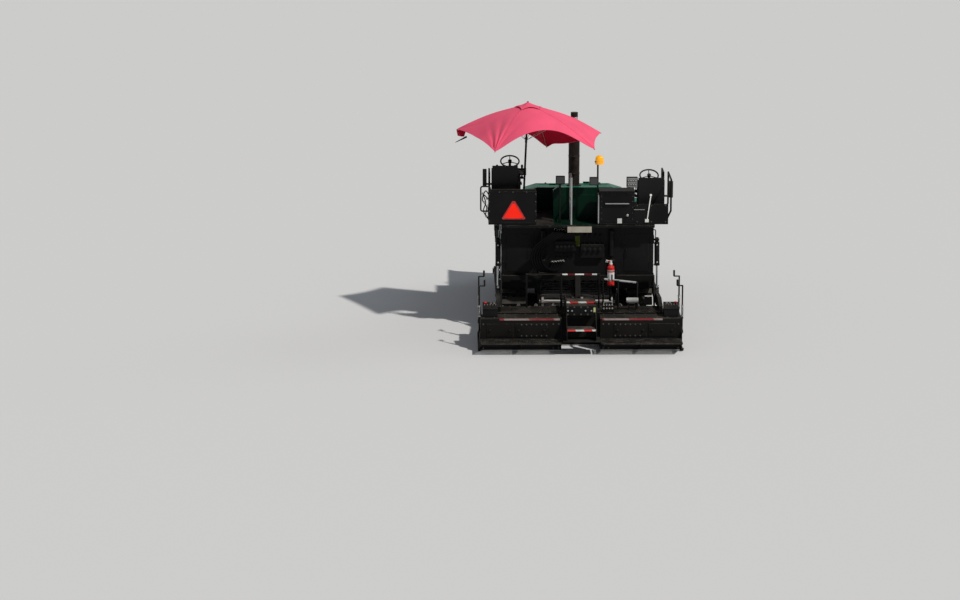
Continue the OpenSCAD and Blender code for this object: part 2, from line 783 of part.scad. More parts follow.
module rear_bulkhead() {
    y = tractor_rear_y;
    z0 = tunnel_z1 + roof_t;
    color(black) {
        box([-frame_half - 60, frame_half + 60], [y - 20, y], [z0, body_z1]);
        for (s = [-1, 1]) on_side(s)
            box(guide_post_x, [auger_beam_y[1] + seat_gap, y - 19], [z0, z0 + 340]);
        box([-420, -40], [y - 110, y - 19], [1520, 1700]);
        box([60, 480], [y - 130, y - 19], [1400, 1640]);
        for (i = [0:4]) rod_y(-380 + i * 72, [y - 150, y - 100], 1610, 22);
        for (i = [0:3]) rod_y(120 + i * 95, [y - 170, y - 120], 1560, 26);
        for (x = [-640, 620]) rod_z(x, y - 70, [1420, 1900], 45);
        for (x = [-640, 620], z = [1440, 1860]) box([x - 20, x + 20], [y - 60, y - 19], [z, z + 30]);
    }
}

// Route of the middle hose from the bulkhead's upper port to its lower port
hose_r = 19;
hose_route = [[-310, 2030, 1900], [-310, 1960, 1900], [-328, 1880, 1893], [-370, 1800, 1868], [-440, 1740, 1825],
    [-530, 1705, 1765], [-610, 1690, 1695], [-670, 1685, 1615], [-705, 1685, 1525], [-712, 1685, 1430],
    [-695, 1690, 1340], [-650, 1700, 1262], [-585, 1718, 1210], [-510, 1745, 1188], [-440, 1785, 1200],
    [-390, 1840, 1243], [-366, 1900, 1285], [-360, 1955, 1302], [-360, 2030, 1302]];
// columns: how much the hose swells sideways, shift of its ports
hose_table = [[1.0, 0], [1.16, -50], [0.83, 50]];

function hose_point(k, i) =
    let (p = hose_route[i], sway = hose_table[k][0], port = hose_table[k][1], f = i / (len(hose_route) - 1))
    [hose_route[0][0] + (p[0] - hose_route[0][0]) * sway + port, p[1], p[2] - port * (f < 0.5 ? 0.1 : -0.1)];

module tube_along(path, r, sides) {
    n = len(path);
    function way(i) = let (d = path[min(i + 1, n - 1)] - path[max(i - 1, 0)]) d / norm(d);
    points = [for (i = [0:n - 1], j = [0:sides - 1])
        let (t = way(i), u0 = cross(t, [0, 0.3, 1]), u = u0 / norm(u0), v = cross(t, u), a = j * 360 / sides)
        path[i] + r * (cos(a) * u + sin(a) * v)];
    faces = concat(
        [for (i = [0:n - 2], j = [0:sides - 1], half = [0, 1])
            let (k = (j + 1) % sides, p = i * sides + j, q = (i + 1) * sides + j, r = (i + 1) * sides + k)
            half == 0 ? [p, q, r] : [p, r, i * sides + k]],
        [[for (j = [0:sides - 1]) j]],
        [[for (j = [0:sides - 1]) (n - 1) * sides + sides - 1 - j]]);
    polyhedron(points, faces);
}

module hydraulic_hoses() {
    color(rubber)
        for (k = [0:len(hose_table) - 1])
            tube_along([for (i = [0:len(hose_route) - 1]) hose_point(k, i)], hose_r, 8);
}

module tow_brackets() {
    color(black) for (s = [-1, 1]) on_side(s) {
        across([body_half, body_half + 25], [[tow_y - 260, body_z0 + 260], [tow_y - 260, body_z0 + 10],
            [tow_y - 110, tow_z - 90], [tow_y + 60, tow_z - 90], [tow_y - 20, body_z0 + 10], [tow_y - 20, body_z0 + 260]]);
        rod_x([body_half + 10, arm_x1 + 18], tow_y - 30, tow_z, tow_pin_r);
        rod_x([arm_x1 + 6, arm_x1 + 18], tow_y - 30, tow_z, tow_pin_r + 25);
        across([body_half, body_half + 12], [[lift_top[0] - 50, lift_top[1] - 70], [lift_top[0] + 160, lift_top[1] - 110],
            [lift_top[0] + 160, lift_top[1] + 90], [lift_top[0] - 50, lift_top[1] + 60]]);
        rod_x([body_half + 10, arm_x1 + 4], lift_top[0], lift_top[1], lift_pin_r);
    }
}

// Right-hand rear panel and side rail of a station, then its seat post and console
module station(i) {
    s = i == 0 ? -1 : 1;
    x0 = i == 0 ? station_x0 : tool_box_x[0];
    seat = abs(seat_x[i]);
    col = abs(wheel_x[i]);
    wheel_c = [col, wheel_y, seat_top[i] - wheel_top_drop[i]];
    column_d = [0, -sin(column_lean), cos(column_lean)];
    console_z1 = wheel_c[2] - 200;
    color(black) on_side(s) {
        box([x0, station_x1], [panel_y, tool_box_y[1] + 20], [pan_z0, pan_z1]);
        box([station_x0, station_x1], [panel_y, station_y1], [pan_z0, pan_z1]);
        box([station_x1 - 8, station_x1], [panel_y, station_y1], [pan_z0, pan_z1 + 110]);
        box([station_x0, station_x1], [station_y1 - 8, station_y1], [pan_z0, pan_z1 + 60]);
        if (i == 0) {
            box([x0, station_x1], [panel_y, panel_y + panel_t], [pan_z0, panel_z1]);
            bent_tube([[x0 + 30, panel_y + 26, pan_z1 - 2], [x0 + 30, panel_y + 26, panel_z1 + 10],
                [station_x1 - 30, panel_y + 26, panel_z1 + 10], [station_x1 - 30, panel_y + 26, pan_z1 - 2]], 20);
        } else {
            box([tool_box_x[1] + 4, station_x1], [panel_y, panel_y + panel_t], [pan_z0, panel_z1 - 250]);
            bent_tube([[station_x1 - 60, panel_y + 26, pan_z1 - 2], [station_x1 + 48, panel_y + 26, 2300],
                [station_x1 + 48, panel_y + 26, 2880], [station_x1 + 48, 2560, 2880], [station_x1 + 48, 2560, 2300],
                [station_x1 - 60, 2560, pan_z1 - 2]], rail_r);
        }
        bent_tube([[station_x1 - 30, 2700, pan_z1 - 2], [station_x1 - 30, 2700, 2850],
            [station_x1 - 30, station_y1 - 40, 2850], [station_x1 - 30, station_y1 - 40, pan_z1 - 2]], rail_r);
        box([seat - 150, seat + 150], [seat_y[0] + 90, seat_y[1] - 90], [pan_z1 - 1, seat_top[i] - 700]);
        across([col - 200, col + 200], [[wheel_y + 120, pan_z1 - 1], [station_y1 - 20, pan_z1 - 1],
            [station_y1 - 20, console_z1 - 90], [wheel_y + 300, console_z1], [wheel_y + 60, console_z1 - 110]]);
        bar(wheel_c - 330 * column_d, wheel_c - 30 * column_d, 24);
        if (i == 1) difference() {
            rod_z(-pole_foot[0], pole_foot[1], [pan_z1 - 1, pan_z1 + socket_h], socket_r + socket_wall);
            rod_z(-pole_foot[0], pole_foot[1], [pan_z1, pan_z1 + socket_h + 1], socket_r);
        }
    }
}

module seat(i) {
    z = seat_top[i];
    cushion_z = z - 560;
    r = 40;
    color(black) translate([seat_x[i] - seat_w / 2, 0, 0]) rotate([90, 0, 90]) linear_extrude(seat_w) union() {
        translate([seat_y[0] + 60, cushion_z - 140 + seat_gap]) square([seat_y[1] - seat_y[0] - 60, 140]);
        polygon([[seat_y[0] + 30, cushion_z - 139], [seat_y[0] + 170, cushion_z - 139], [seat_y[0] + 150, cushion_z],
            [seat_y[0] + 90, z - r], [seat_y[0] + 70, z], [seat_y[0] + 20, z], [seat_y[0] - 10, z - r],
            [seat_y[0] + 10, cushion_z]]);
    }
}

module warning_triangle() {
    h = triangle_w * 0.78;
    cut = 36;
    color(red)
        along([panel_y - panel_t, panel_y], [[triangle_x - triangle_w / 2, triangle_z + cut * 0.5],
            [triangle_x - triangle_w / 2 + cut * 0.6, triangle_z], [triangle_x + triangle_w / 2 - cut * 0.6, triangle_z],
            [triangle_x + triangle_w / 2, triangle_z + cut * 0.5], [triangle_x + cut * 0.7, triangle_z + h],
            [triangle_x - cut * 0.7, triangle_z + h]]);
}

module umbrella_pole() {
    top = umbrella_top - [0, 0, vent_drop + canopy_t + 10.8];
    d = (top - pole_foot) / norm(top - pole_foot);
    color(black) {
        difference() {
            bar(pole_foot - [0, 0, 0.2], top, pole_r);
            box([pole_foot[0] - 60, pole_foot[0] + 60], [pole_foot[1] - 60, pole_foot[1] + 60], [pan_z1 - 60, pan_z1]);
        }
        difference() {
            bar(pole_foot, pole_foot + socket_h * d, socket_r + socket_wall);
            box([pole_foot[0] - 60, pole_foot[0] + 60], [pole_foot[1] - 60, pole_foot[1] + 60], [pan_z1 - 60, pan_z1]);
        }
    }
}

function hem_point(j) =
    let (k = floor(j / hem_steps), f = (j % hem_steps) / hem_steps, p = rib_tips[k], q = rib_tips[(k + 1) % len(rib_tips)])
    [p[0] + (q[0] - p[0]) * f, p[1] + (q[1] - p[1]) * f, p[2] + (q[2] - p[2]) * f + p[3] * 4 * f * (1 - f)];

function canopy_point(j, t, up) =
    let (h = hem_point(j)) umbrella_top + [h[0] * t, h[1] * t, h[2] * pow(t, 1.25) + up];

// A closed sheet from the top of the umbrella out to reach, raised by lift at its rim
module canopy_sheet(reach, rings, thick, foot, lift) {
    n = canopy_cols;
    half = 1 + rings * n;
    function layer(up) = concat([umbrella_top + [0, 0, up + foot]],
        [for (i = [1:rings], j = [0:n - 1]) canopy_point(j, reach * i / rings, up + foot + lift * i / rings)]);
    function at(i, j) = 1 + (i - 1) * n + (j % n);
    top = concat(
        [for (j = [0:n - 1]) [0, at(1, j + 1), at(1, j)]],
        [for (i = [1:rings - 1], j = [0:n - 1]) [at(i, j), at(i, j + 1), at(i + 1, j + 1)]],
        [for (i = [1:rings - 1], j = [0:n - 1]) [at(i, j), at(i + 1, j + 1), at(i + 1, j)]]);
    rim = [for (j = [0:n - 1]) [at(rings, j), at(rings, j + 1), half + at(rings, j + 1)]];
    rim2 = [for (j = [0:n - 1]) [at(rings, j), half + at(rings, j + 1), half + at(rings, j)]];
    polyhedron(concat(layer(0), layer(-thick)),
        concat(top, [for (f = top) [half + f[0], half + f[2], half + f[1]]], rim, rim2));
}

module umbrella_canopy() {
    color([0.92, 0.33, 0.43]) {
        canopy_sheet(1, canopy_rings, canopy_t, -vent_drop, 0);
        canopy_sheet(vent_reach, 2, 4, 0, 0);
        rod_z(umbrella_top[0], umbrella_top[1], [umbrella_z1 - vent_drop - 8, umbrella_z1 - 2], 9);
    }
}

module steering_wheel(i) {
    c = [wheel_x[i], wheel_y, seat_top[i] - wheel_top_drop[i]];
    color(black) translate(c) rotate([column_lean, 0, 0]) {
        rotate_extrude() translate([wheel_rim_r, 0]) circle(13, $fn = 24);
        translate([0, 0, seat_gap - 30]) cylinder(h = 40, r = 34);
        for (a = [90, 210, 330])
            rotate([0, 0, a]) bar([25, 0, -12], [wheel_rim_r - 4, 0, 0], 8);
    }
}

module tool_box() {
    z0 = pan_z1;
    t = tool_box_t;
    color(black) {
        difference() {
            box(tool_box_x, tool_box_y, [z0, tool_box_z1]);
            box([tool_box_x[0] + t, tool_box_x[1] - t], [tool_box_y[0] + t, tool_box_y[1] - t], [z0 + t, tool_box_z1 + 1]);
        }
        bent_tube([[tool_box_x[0] + 90, tool_box_y[0] + 1, handle_z], [tool_box_x[0] + 90, tool_box_y[0] - 34, handle_z],
            [tool_box_x[1] - 90, tool_box_y[0] - 34, handle_z], [tool_box_x[1] - 90, tool_box_y[0] + 1, handle_z]], 9);
        rod_y(tool_box_x[1] - 130, [tool_box_y[0] - 16, tool_box_y[0] + 1], handle_z - 220, 24);
    }
}

module tool_box_lid() {
    y = tool_box_y;
    z = tool_box_z1 + seat_gap;
    color(black) {
        box([tool_box_x[0] - 6, tool_box_x[1] + 6], [y[0] - 6, y[1] - 4], [z, z + lid_t]);
        rod_x([tool_box_x[0] + 20, tool_box_x[1] - 20], y[1] + 10, z + lid_t / 2, 10);
        box([tool_box_x[0] + 60, tool_box_x[1] - 60], [y[1] - 10, y[1] + 8], [z + 10, z + 18]);
    }
}

module mast() {
    color(black) {
        rod_z(mast_x, mast_y, [pan_z1 + 60, beacon_z], mast_r);
        for (z = [pan_z1 + 120, 2560])
            box([mast_x - 5, tool_box_x[0]], [mast_y - 20, mast_y + 20], [z, z + 40]);
        rod_z(mast_x, mast_y, [beacon_z - 4, beacon_z + 14], 58);
        box([mast_x - 75, mast_x], [mast_y - 50, mast_y + 10], [lamp_z + 40, lamp_z + 70]);
        lamp_head(mast_x - 75, mast_y - 70, lamp_z - 10);
    }
}

module beacon_lens() {
    color([0.95, 0.6, 0.1]) translate([mast_x, mast_y, beacon_z + 14]) {
        cylinder(h = 70, r1 = 50, r2 = 44);
        translate([0, 0, 69]) cylinder(h = 16, r1 = 44, r2 = 30);
    }
}

function wing_floor_z(x) = wing_hinge_z + (x - wing_hinge_x) * tan(wing_slope);

module hopper_wing(s) {
    x0 = wing_floor_x0;
    x1 = wing_out_x;
    z1 = wing_z1;
    t = wing_t;
    floor_dz = t / cos(wing_slope);
    color(black) on_side(s) {
        along(wing_y, [[x0, wing_floor_z(x0)], [x0, wing_floor_z(x0) - floor_dz], [x1 - 40, wing_floor_z(x1 - 40) - floor_dz],
            [x1, wing_floor_z(x1) + 30], [x1 + 12, z1], [x1 + 12 - t, z1], [x1 - t, wing_floor_z(x1) + 40],
            [x1 - 46, wing_floor_z(x1 - 46)]]);
        along([wing_y[0], wing_y[0] + t], [[x0, wing_floor_z(x0) - 5], [x1 - 20, wing_floor_z(x1 - 20)],
            [x1 + 8, z1], [x1 - 300, z1 - 60], [x0 + 60, wing_floor_z(x0) + 240]]);
        along([wing_y[1] - t, wing_y[1]], [[x0, wing_floor_z(x0) - 5], [x1 - 20, wing_floor_z(x1 - 20)],
            [x1 + 4, z1 - 160], [x1 - 160, z1 - 280], [x0 + 20, wing_floor_z(x0) + 130]]);
        for (y = [wing_y[0] + 300, (wing_y[0] + wing_y[1]) / 2, wing_y[1] - 360])
            along([y, y + 12], [[x1 - 3, wing_floor_z(x1) + 60], [x1 + 30, wing_floor_z(x1) + 120], [x1 + 36, z1 - 40],
                [x1 + 4, z1 - 20]]);
        box([x1 - 2, x1 + 40], [wing_y[0], wing_y[1]], [z1 - 50, z1]);
        for (y = wing_knuckles) difference() {
            union() {
                rod_y(wing_hinge_x, [y, y + knuckle_l], wing_hinge_z, knuckle_r);
                along([y, y + knuckle_l], [[wing_hinge_x, wing_hinge_z - 20], [x0 + 60, wing_floor_z(x0 + 60) - 14],
                    [x0 + 60, wing_floor_z(x0 + 60) - 3], [wing_hinge_x, wing_hinge_z + 10]]);
            }
            rod_y(wing_hinge_x, [y - 1, y + knuckle_l + 1], wing_hinge_z, wing_pin_r + bore_fit);
        }
    }
}

module push_bar() {
    z = push_bar_z;
    pivot_y = push_bar_y[0] + 60;
    shaft_r = push_shaft_r + bore_fit;
    color(black) difference() {
        union() {
            box([-push_bar_half, push_bar_half], push_bar_y, [z[0] + 30, z[1] - 30]);
            box([-160, 160], push_bar_y, z);
            for (s = [-1, 1], x = [push_roller_x0 - 40, push_roller_x0 + push_roller_l + 10]) on_side(s)
                across([x, x + 30], [[push_bar_y[1] - 5, z[0] + 30], [push_roller_y - 20, z[0] + 20],
                    [push_roller_y + 50, push_roller_z - 40], [push_roller_y + 50, push_roller_z + 40],
                    [push_roller_y - 20, z[1] - 30], [push_bar_y[1] - 5, z[1] - 30]]);
        }
        rod_z(0, pivot_y, [z[0] - 1, z[1] + 1], push_pivot_r - 20 + bore_fit);
        for (s = [-1, 1], x = [push_roller_x0 - 40, push_roller_x0 + push_roller_l + 10]) on_side(s)
            rod_x([x - 1, x + 31], push_roller_y, push_roller_z, shaft_r);
    }
}

module push_roller(s) {
    color(steel) on_side(s) {
        rod_x([push_roller_x0, push_roller_x0 + push_roller_l], push_roller_y, push_roller_z, push_roller_r);
        rod_x([push_roller_x0 - 40, push_roller_x0 + push_roller_l + 40], push_roller_y, push_roller_z, push_shaft_r);
    }
}

module auger_frame() {
    out = auger_out_x;
    plate = [[auger_y - 70, auger_z - 70], [auger_y + 70, auger_z - 70], [auger_beam_y[1], auger_z + 260],
        [auger_beam_y[1], auger_beam_z[1]], [auger_beam_y[0], auger_beam_z[1]], [auger_y - 70, auger_z + 120]];
    color(black) difference() {
        union() {
            box([-out, out], auger_beam_y, auger_beam_z);
            across([-centre_case_half, centre_case_half], plate);
            for (x = [-out, out - bearing_t]) across([x, x + bearing_t], plate);
            for (s = [-1, 1]) on_side(s)
                box([guide_post_x[0] - 40, guide_post_x[1] + 40], auger_beam_y, [auger_beam_z[0], auger_beam_z[1] + 60]);
        }
        rod_x([-out - 1, out + 1], auger_y, auger_z, auger_shaft_r + bore_fit);
        for (s = [-1, 1], a = [(s > 0 ? 45 : 30):90:360]) {
            r = auger_bolts_r + (s > 0 ? auger_bolts_key : 0);
            on_side(s) rod_x([out - bearing_t - 1, out + 1], auger_y + r * cos(a), auger_z + r * sin(a), auger_bolt_r);
        }
    }
}

// One helical flight around the X axis
module flight() {
    n = ceil(flight_turns * flight_steps);
    function section(i) =
        let (a = 360 * flight_turns * i / n, x = flight_x0 + flight_t / 2 + (flight_x1 - flight_x0 - flight_t) * i / n)
        [for (c = [[flight_in_r, -0.5], [auger_r, -0.5], [auger_r, 0.5], [flight_in_r, 0.5]])
            [x + c[1] * flight_t, c[0] * cos(a), c[0] * sin(a)]];
    // Each twisted quad is two triangles, cut the same way on the front and the back of the flight
    faces = [for (i = [0:n - 1], j = [0:3], half = [0, 1])
        let (k = (j + 1) % 4, p = 4 * i + j, q = 4 * i + k, r = 4 * (i + 1) + k, s = 4 * (i + 1) + j)
        j < 2 ? (half == 0 ? [p, q, r] : [p, r, s]) : (half == 0 ? [p, q, s] : [q, r, s])];
    polyhedron([for (i = [0:n], p = section(i)) p], concat(faces, [[3, 2, 1, 0]], [[4 * n, 4 * n + 1, 4 * n + 2, 4 * n + 3]]));
}

module auger(s) {
    color(steel) on_side(s) {
        rod_x([2, auger_out_x + 10], auger_y, auger_z, auger_shaft_r);
        translate([0, auger_y, auger_z]) flight();
    }
}

module screed_main() {
    y0 = screed_y0;
    y1 = screed_y1;
    color(black) difference() {
        union() {
            across([-screed_half, screed_half], [[y0, 0], [y1 - 60, 0], [y1 - 20, 18], [y1, 60], [y1, 330],
                [y1 - 60, 400], [y1 - 60, screed_h - 40], [y1 - 100, screed_h], [y0, screed_h]]);
            for (x = [-screed_half, -900, -300, 276, 876, screed_half - 24])
                across([x, x + 24], [[y1 - 61, 420], [y1 - 2, 360], [y1 - 2, screed_h - 60], [y1 - 61, screed_h - 42]]);
        }
        for (z = guide_z) rod_x([-screed_half - 1, screed_half + 1], guide_y, z, guide_r + bore_fit);
    }
}

module screed_steps() {
    rear = 14;
    color(black) {
        for (x = [-steps_half, steps_half - stringer_t])
            across([x, x + stringer_t], [[rear, walkway_z + 15], [walkway_d + 30, walkway_z + 15],
                [walkway_d + 30, screed_h + 20], [screed_y0 + 330, screed_h + 20], [screed_y0 + 330, screed_h],
                [screed_y1 - 160, screed_h], [screed_y1 - 160, screed_h + 250], [treads[1][0] - 20, screed_h + 250],
                [treads[1][0] - 20, 750], [walkway_d - 20, 700], [treads[0][0] - 10, 480], [rear, 440]]);
        for (t = treads)
            box([-steps_half + 5, steps_half - 5], [t[0], t[0] + tread_d], [t[1] - tread_t, t[1]]);
        box([-steps_half + 4, steps_half - 4], [420, 616], [screed_h + 33, screed_h + 207]);
        box([-extender_x0 + 15, extender_x0 - 15], [0, walkway_d - 5], [walkway_z + 15, walkway_z + 35]);
    }
}

module screed_rails() {
    y = rail_bar_y;
    x = rail_bar;
    color(black) {
        bar([x[0], y, rail_bar_z], [x[1], y, rail_bar_z], 14);
        for (px = [x[0] + 20, -330, x[1] - 20]) rod_z(px, y, [screed_h, rail_bar_z], 16);
        rod_z(extinguisher_x, screed_y1 - 130, [screed_h, extinguisher_z + 330], 16);
        box([extinguisher_x - 70, extinguisher_x + 70], [screed_y1 - 285, screed_y1 - 110],
            [extinguisher_z - 20, extinguisher_z]);
        bent_tube([[430, 1090, screed_h], [430, 1090, 1180], [1050, 1090, 1110], [1050, 1090, screed_h]], 16);
        rod_x([850, 1060], 1000, 800, 50);
        for (px = [880, 1010]) box([px, px + 20], [980, 1020], [screed_h, 790]);
    }
}

module fire_extinguisher() {
    x = extinguisher_x;
    y = screed_y1 - 130 - 16 - seat_gap - extinguisher_r;
    z = extinguisher_z;
    color(red) {
        rod_z(x, y, [z + seat_gap, z + 330], extinguisher_r);
        translate([x, y, z + 330]) cylinder(h = 50, r1 = extinguisher_r, r2 = 24);
        rod_z(x, y, [z + 378, z + 430], 18);
        box([x - 55, x + 20], [y - 14, y + 14], [z + 425, z + 450]);
    }
}

module tow_arms() {
    color(black) for (s = [-1, 1]) on_side(s) {
        difference() {
            union() {
                across([arm_x0, arm_x1], [[tow_y - 30, tow_z - 80], [tow_y - 30, tow_z + 80], [2300, 720], [1700, 760],
                    [1250, 800], [860, 720], [860, screed_h], [1480, screed_h], [1640, 560], [2300, 540]]);
                rod_x([arm_x0, arm_x1], tow_y - 30, tow_z, 92);
            }
            rod_x([arm_x0 - 1, arm_x1 + 1], tow_y - 30, tow_z, tow_pin_r + bore_fit);
        }
        for (x = [arm_x0, arm_x1 - lift_ear_t])
            across([x, x + lift_ear_t], [[lift_eye[0] - 60, 730], [lift_eye[0] + 60, 730], [lift_eye[0] + 30, lift_eye[1] + 34],
                [lift_eye[0] - 30, lift_eye[1] + 34]]);
        rod_x([arm_x0, arm_x1], lift_eye[0], lift_eye[1], lift_pin_r);
    }
}

module walkway(x) {
    slat_w = 10;
    n = 9;
    z = [walkway_z - 25, walkway_z];
    for (i = [0:n - 1]) let (y = i * (walkway_d - slat_w) / (n - 1)) box(x, [y, y + slat_w], z);
    for (px = [x[0], (x[0] + x[1]) / 2, x[1] - 12]) box([px, px + 12], [0, walkway_d], z);
}

module extender(s) {
    h = extender_h;
    y0 = extender_y0;
    y1 = extender_y1;
    color(black) on_side(s) difference() {
        union() {
            across([extender_x0, extender_x1 + 1], [[y0, 0], [y1 - 40, 0], [y1 - 12, 14], [y1, 45], [y1, h - 120],
                [y1 - 60, h], [y0 + 14, h], [y0, h - 14]]);
            across(end_plate_x, [[y0, 30], [screed_y1 + 60, 30], [screed_y1 + 60, 420], [screed_y1 - 60, h],
                [y0, h]]);
            walkway([extender_x0, end_plate_x[1]]);
            for (x = [extender_x0 + 60, (extender_x0 + extender_x1) / 2, end_plate_x[1] - 12])
                across([x, x + 12], [[20, walkway_z - 24], [y0 + 1, walkway_z - 24], [y0 + 1, 90], [y0 - 60, 90]]);
            for (z = guide_z) rod_x([guide_x0, end_plate_x[0] + 2], guide_y, z, guide_r);
            for (y = gate_screw_y)
                box([end_plate_x[0], screw_lug_x], [y - 25, y + 25], [h - 35, h - 11]);
        }
        for (y = gate_screw_y)
            rod_z(gate_screw_x, y, [h - 40, h - 5], gate_screw_r + bore_fit);
    }
}

module end_gate(s) {
    color(black) on_side(s) {
        across(gate_x, [[gate_y[0] + 80, 0], [gate_y[1] - 90, 0], [gate_y[1], 90], [gate_y[1], gate_h - 90],
            [gate_y[1] - 120, gate_h - 40], [gate_y[0], gate_h - 40], [gate_y[0], 60]]);
        across([gate_x[0], gate_x[1] + ski_w], [[gate_y[0] + 80, 0], [gate_y[1] - 90, 0], [gate_y[1], 80],
            [gate_y[1] - 18, 90], [gate_y[1] - 98, 16], [gate_y[0] + 84, 16], [gate_y[0] + 10, 70], [gate_y[0], 56]]);
        for (y = gate_screw_y) {
            box([gate_x[0], screw_lug_x], [y - 30, y + 30], [gate_h - 90, gate_h - 41]);
            rod_z(gate_screw_x, y, [gate_h - 42, crank_z], gate_screw_r);
            rod_x([gate_screw_x - 100, gate_screw_x + 10], y, crank_z, 12);
            rod_z(gate_screw_x - 95, y, [crank_z, crank_z + 110], 12);
        }
    }
}

// Draws a lift cylinder's part with Z running from its top pin down to its eye
module along_lift() {
    translate([lift_x, lift_top[0], lift_top[1]]) rotate([180 - lift_lean, 0, 0]) children();
}

module lift_barrels() {
    half = arm_t / 2 - side_gap;
    color(black) for (s = [-1, 1]) on_side(s) along_lift() difference() {
        union() {
            translate([0, 0, 40]) cylinder(h = lift_barrel_l - 40, r = lift_barrel_r);
            translate([-half, 0, 0]) rotate([0, 90, 0]) cylinder(h = 2 * half, r = 44);
        }
        translate([0, 0, 80]) cylinder(h = lift_barrel_l, r = lift_rod_r + bore_fit);
        translate([-half - 1, 0, 0]) rotate([0, 90, 0]) cylinder(h = 2 * half + 2, r = lift_pin_r + bore_fit);
    }
}

module lift_rods() {
    half = arm_t / 2 - lift_ear_t - side_gap;
    color(grey) for (s = [-1, 1]) on_side(s) along_lift() difference() {
        union() {
            translate([0, 0, lift_l - lift_rod_l]) cylinder(h = lift_rod_l, r = lift_rod_r);
            translate([-half, 0, lift_l]) rotate([0, 90, 0]) cylinder(h = 2 * half, r = lift_pin_r + lift_eye_slack + 16);
        }
        translate([-half - 10, 0, lift_l]) rotate([0, 90, 0]) cylinder(h = 2 * half + 20, r = lift_pin_r + lift_eye_slack);
    }
}

translate([shift_x, shift_y, 0]) {
    main_frame();
    conveyor_floor();
    hopper_wall();
    undercarriage(-1);  // undercarriage_left
    undercarriage(1);  // undercarriage_right
    track(-1);  // track_left
    track(1);  // track_right
    conveyors();
    engine_block();
    side_tank(-1);  // side_tank_left
    side_tank(1);  // side_tank_right
    engine_hood();
    hood_door();
    exhaust_stack();
    operator_deck();
    deck_rails();
    work_light();
    rear_bulkhead();
    hydraulic_hoses();
    tow_brackets();
    station(0);  // station_left
    station(1);  // station_right
    seat(0);  // seat_left
    seat(1);  // seat_right
    warning_triangle();
    umbrella_pole();
    umbrella_canopy();
    steering_wheel(0);  // steering_wheel_left
    steering_wheel(1);  // steering_wheel_right
    tool_box();
    tool_box_lid();
    mast();
    beacon_lens();
    hopper_wing(-1);  // hopper_wing_left
    hopper_wing(1);  // hopper_wing_right
    push_bar();
    push_roller(-1);  // push_roller_left
    push_roller(1);  // push_roller_right
    auger_frame();
    auger(-1);  // auger_left
    auger(1);  // auger_right
    screed_main();
    screed_steps();
    screed_rails();
    fire_extinguisher();
    tow_arms();
    extender(-1);  // extender_left
    extender(1);  // extender_right
    end_gate(-1);  // end_gate_left
    end_gate(1);  // end_gate_right
    lift_barrels();
    lift_rods();
}
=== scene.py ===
"""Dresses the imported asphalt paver: finishes, soft pieces, fasteners and small gear of the frame."""
import logging
import math
from dataclasses import dataclass, field
from enum import Enum
from typing import Callable, Iterable, Mapping, Sequence

import bmesh
import bpy
import numpy as np
from mathutils import Matrix, Vector, noise


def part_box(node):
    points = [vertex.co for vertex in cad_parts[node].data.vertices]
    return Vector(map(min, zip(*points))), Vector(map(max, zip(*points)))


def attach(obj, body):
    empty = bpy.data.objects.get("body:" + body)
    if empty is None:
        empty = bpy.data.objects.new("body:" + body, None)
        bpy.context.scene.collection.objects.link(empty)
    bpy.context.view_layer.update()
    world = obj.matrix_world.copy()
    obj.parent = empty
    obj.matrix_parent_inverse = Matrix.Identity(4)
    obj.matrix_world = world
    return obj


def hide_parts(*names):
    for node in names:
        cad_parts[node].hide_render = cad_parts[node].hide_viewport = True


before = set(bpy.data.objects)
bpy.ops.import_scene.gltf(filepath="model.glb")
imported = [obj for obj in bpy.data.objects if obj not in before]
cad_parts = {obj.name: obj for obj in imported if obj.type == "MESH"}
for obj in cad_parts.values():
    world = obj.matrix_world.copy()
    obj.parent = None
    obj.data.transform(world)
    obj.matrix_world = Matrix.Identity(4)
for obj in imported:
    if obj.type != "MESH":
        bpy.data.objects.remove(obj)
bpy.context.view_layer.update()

Rgb = tuple[float, float, float]
Point = tuple[float, float, float]
Span = tuple[float, float]

log = logging.getLogger("paver")

# The maker's datum: centre plane, rear edge of the walkway, ground. Sizes below are metres from it.
SCREED_REAR_Y = 0.8
_low, _high = (Vector(corner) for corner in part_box("screed_main"))
DATUM = Vector(((_low.x + _high.x) / 2, _low.y - SCREED_REAR_Y, 0.0))
ROAD_DUST: Rgb = (0.33, 0.29, 0.23)


class Axis(Enum):
    """Direction in which a prism runs."""

    ACROSS = 0
    ALONG = 1
    UP = 2


class Side(Enum):
    """Side of the machine as its driver sees it."""

    LEFT = -1
    RIGHT = 1

    @property
    def word(self) -> str:
        """The side's name in lower case."""
        return self.name.lower()


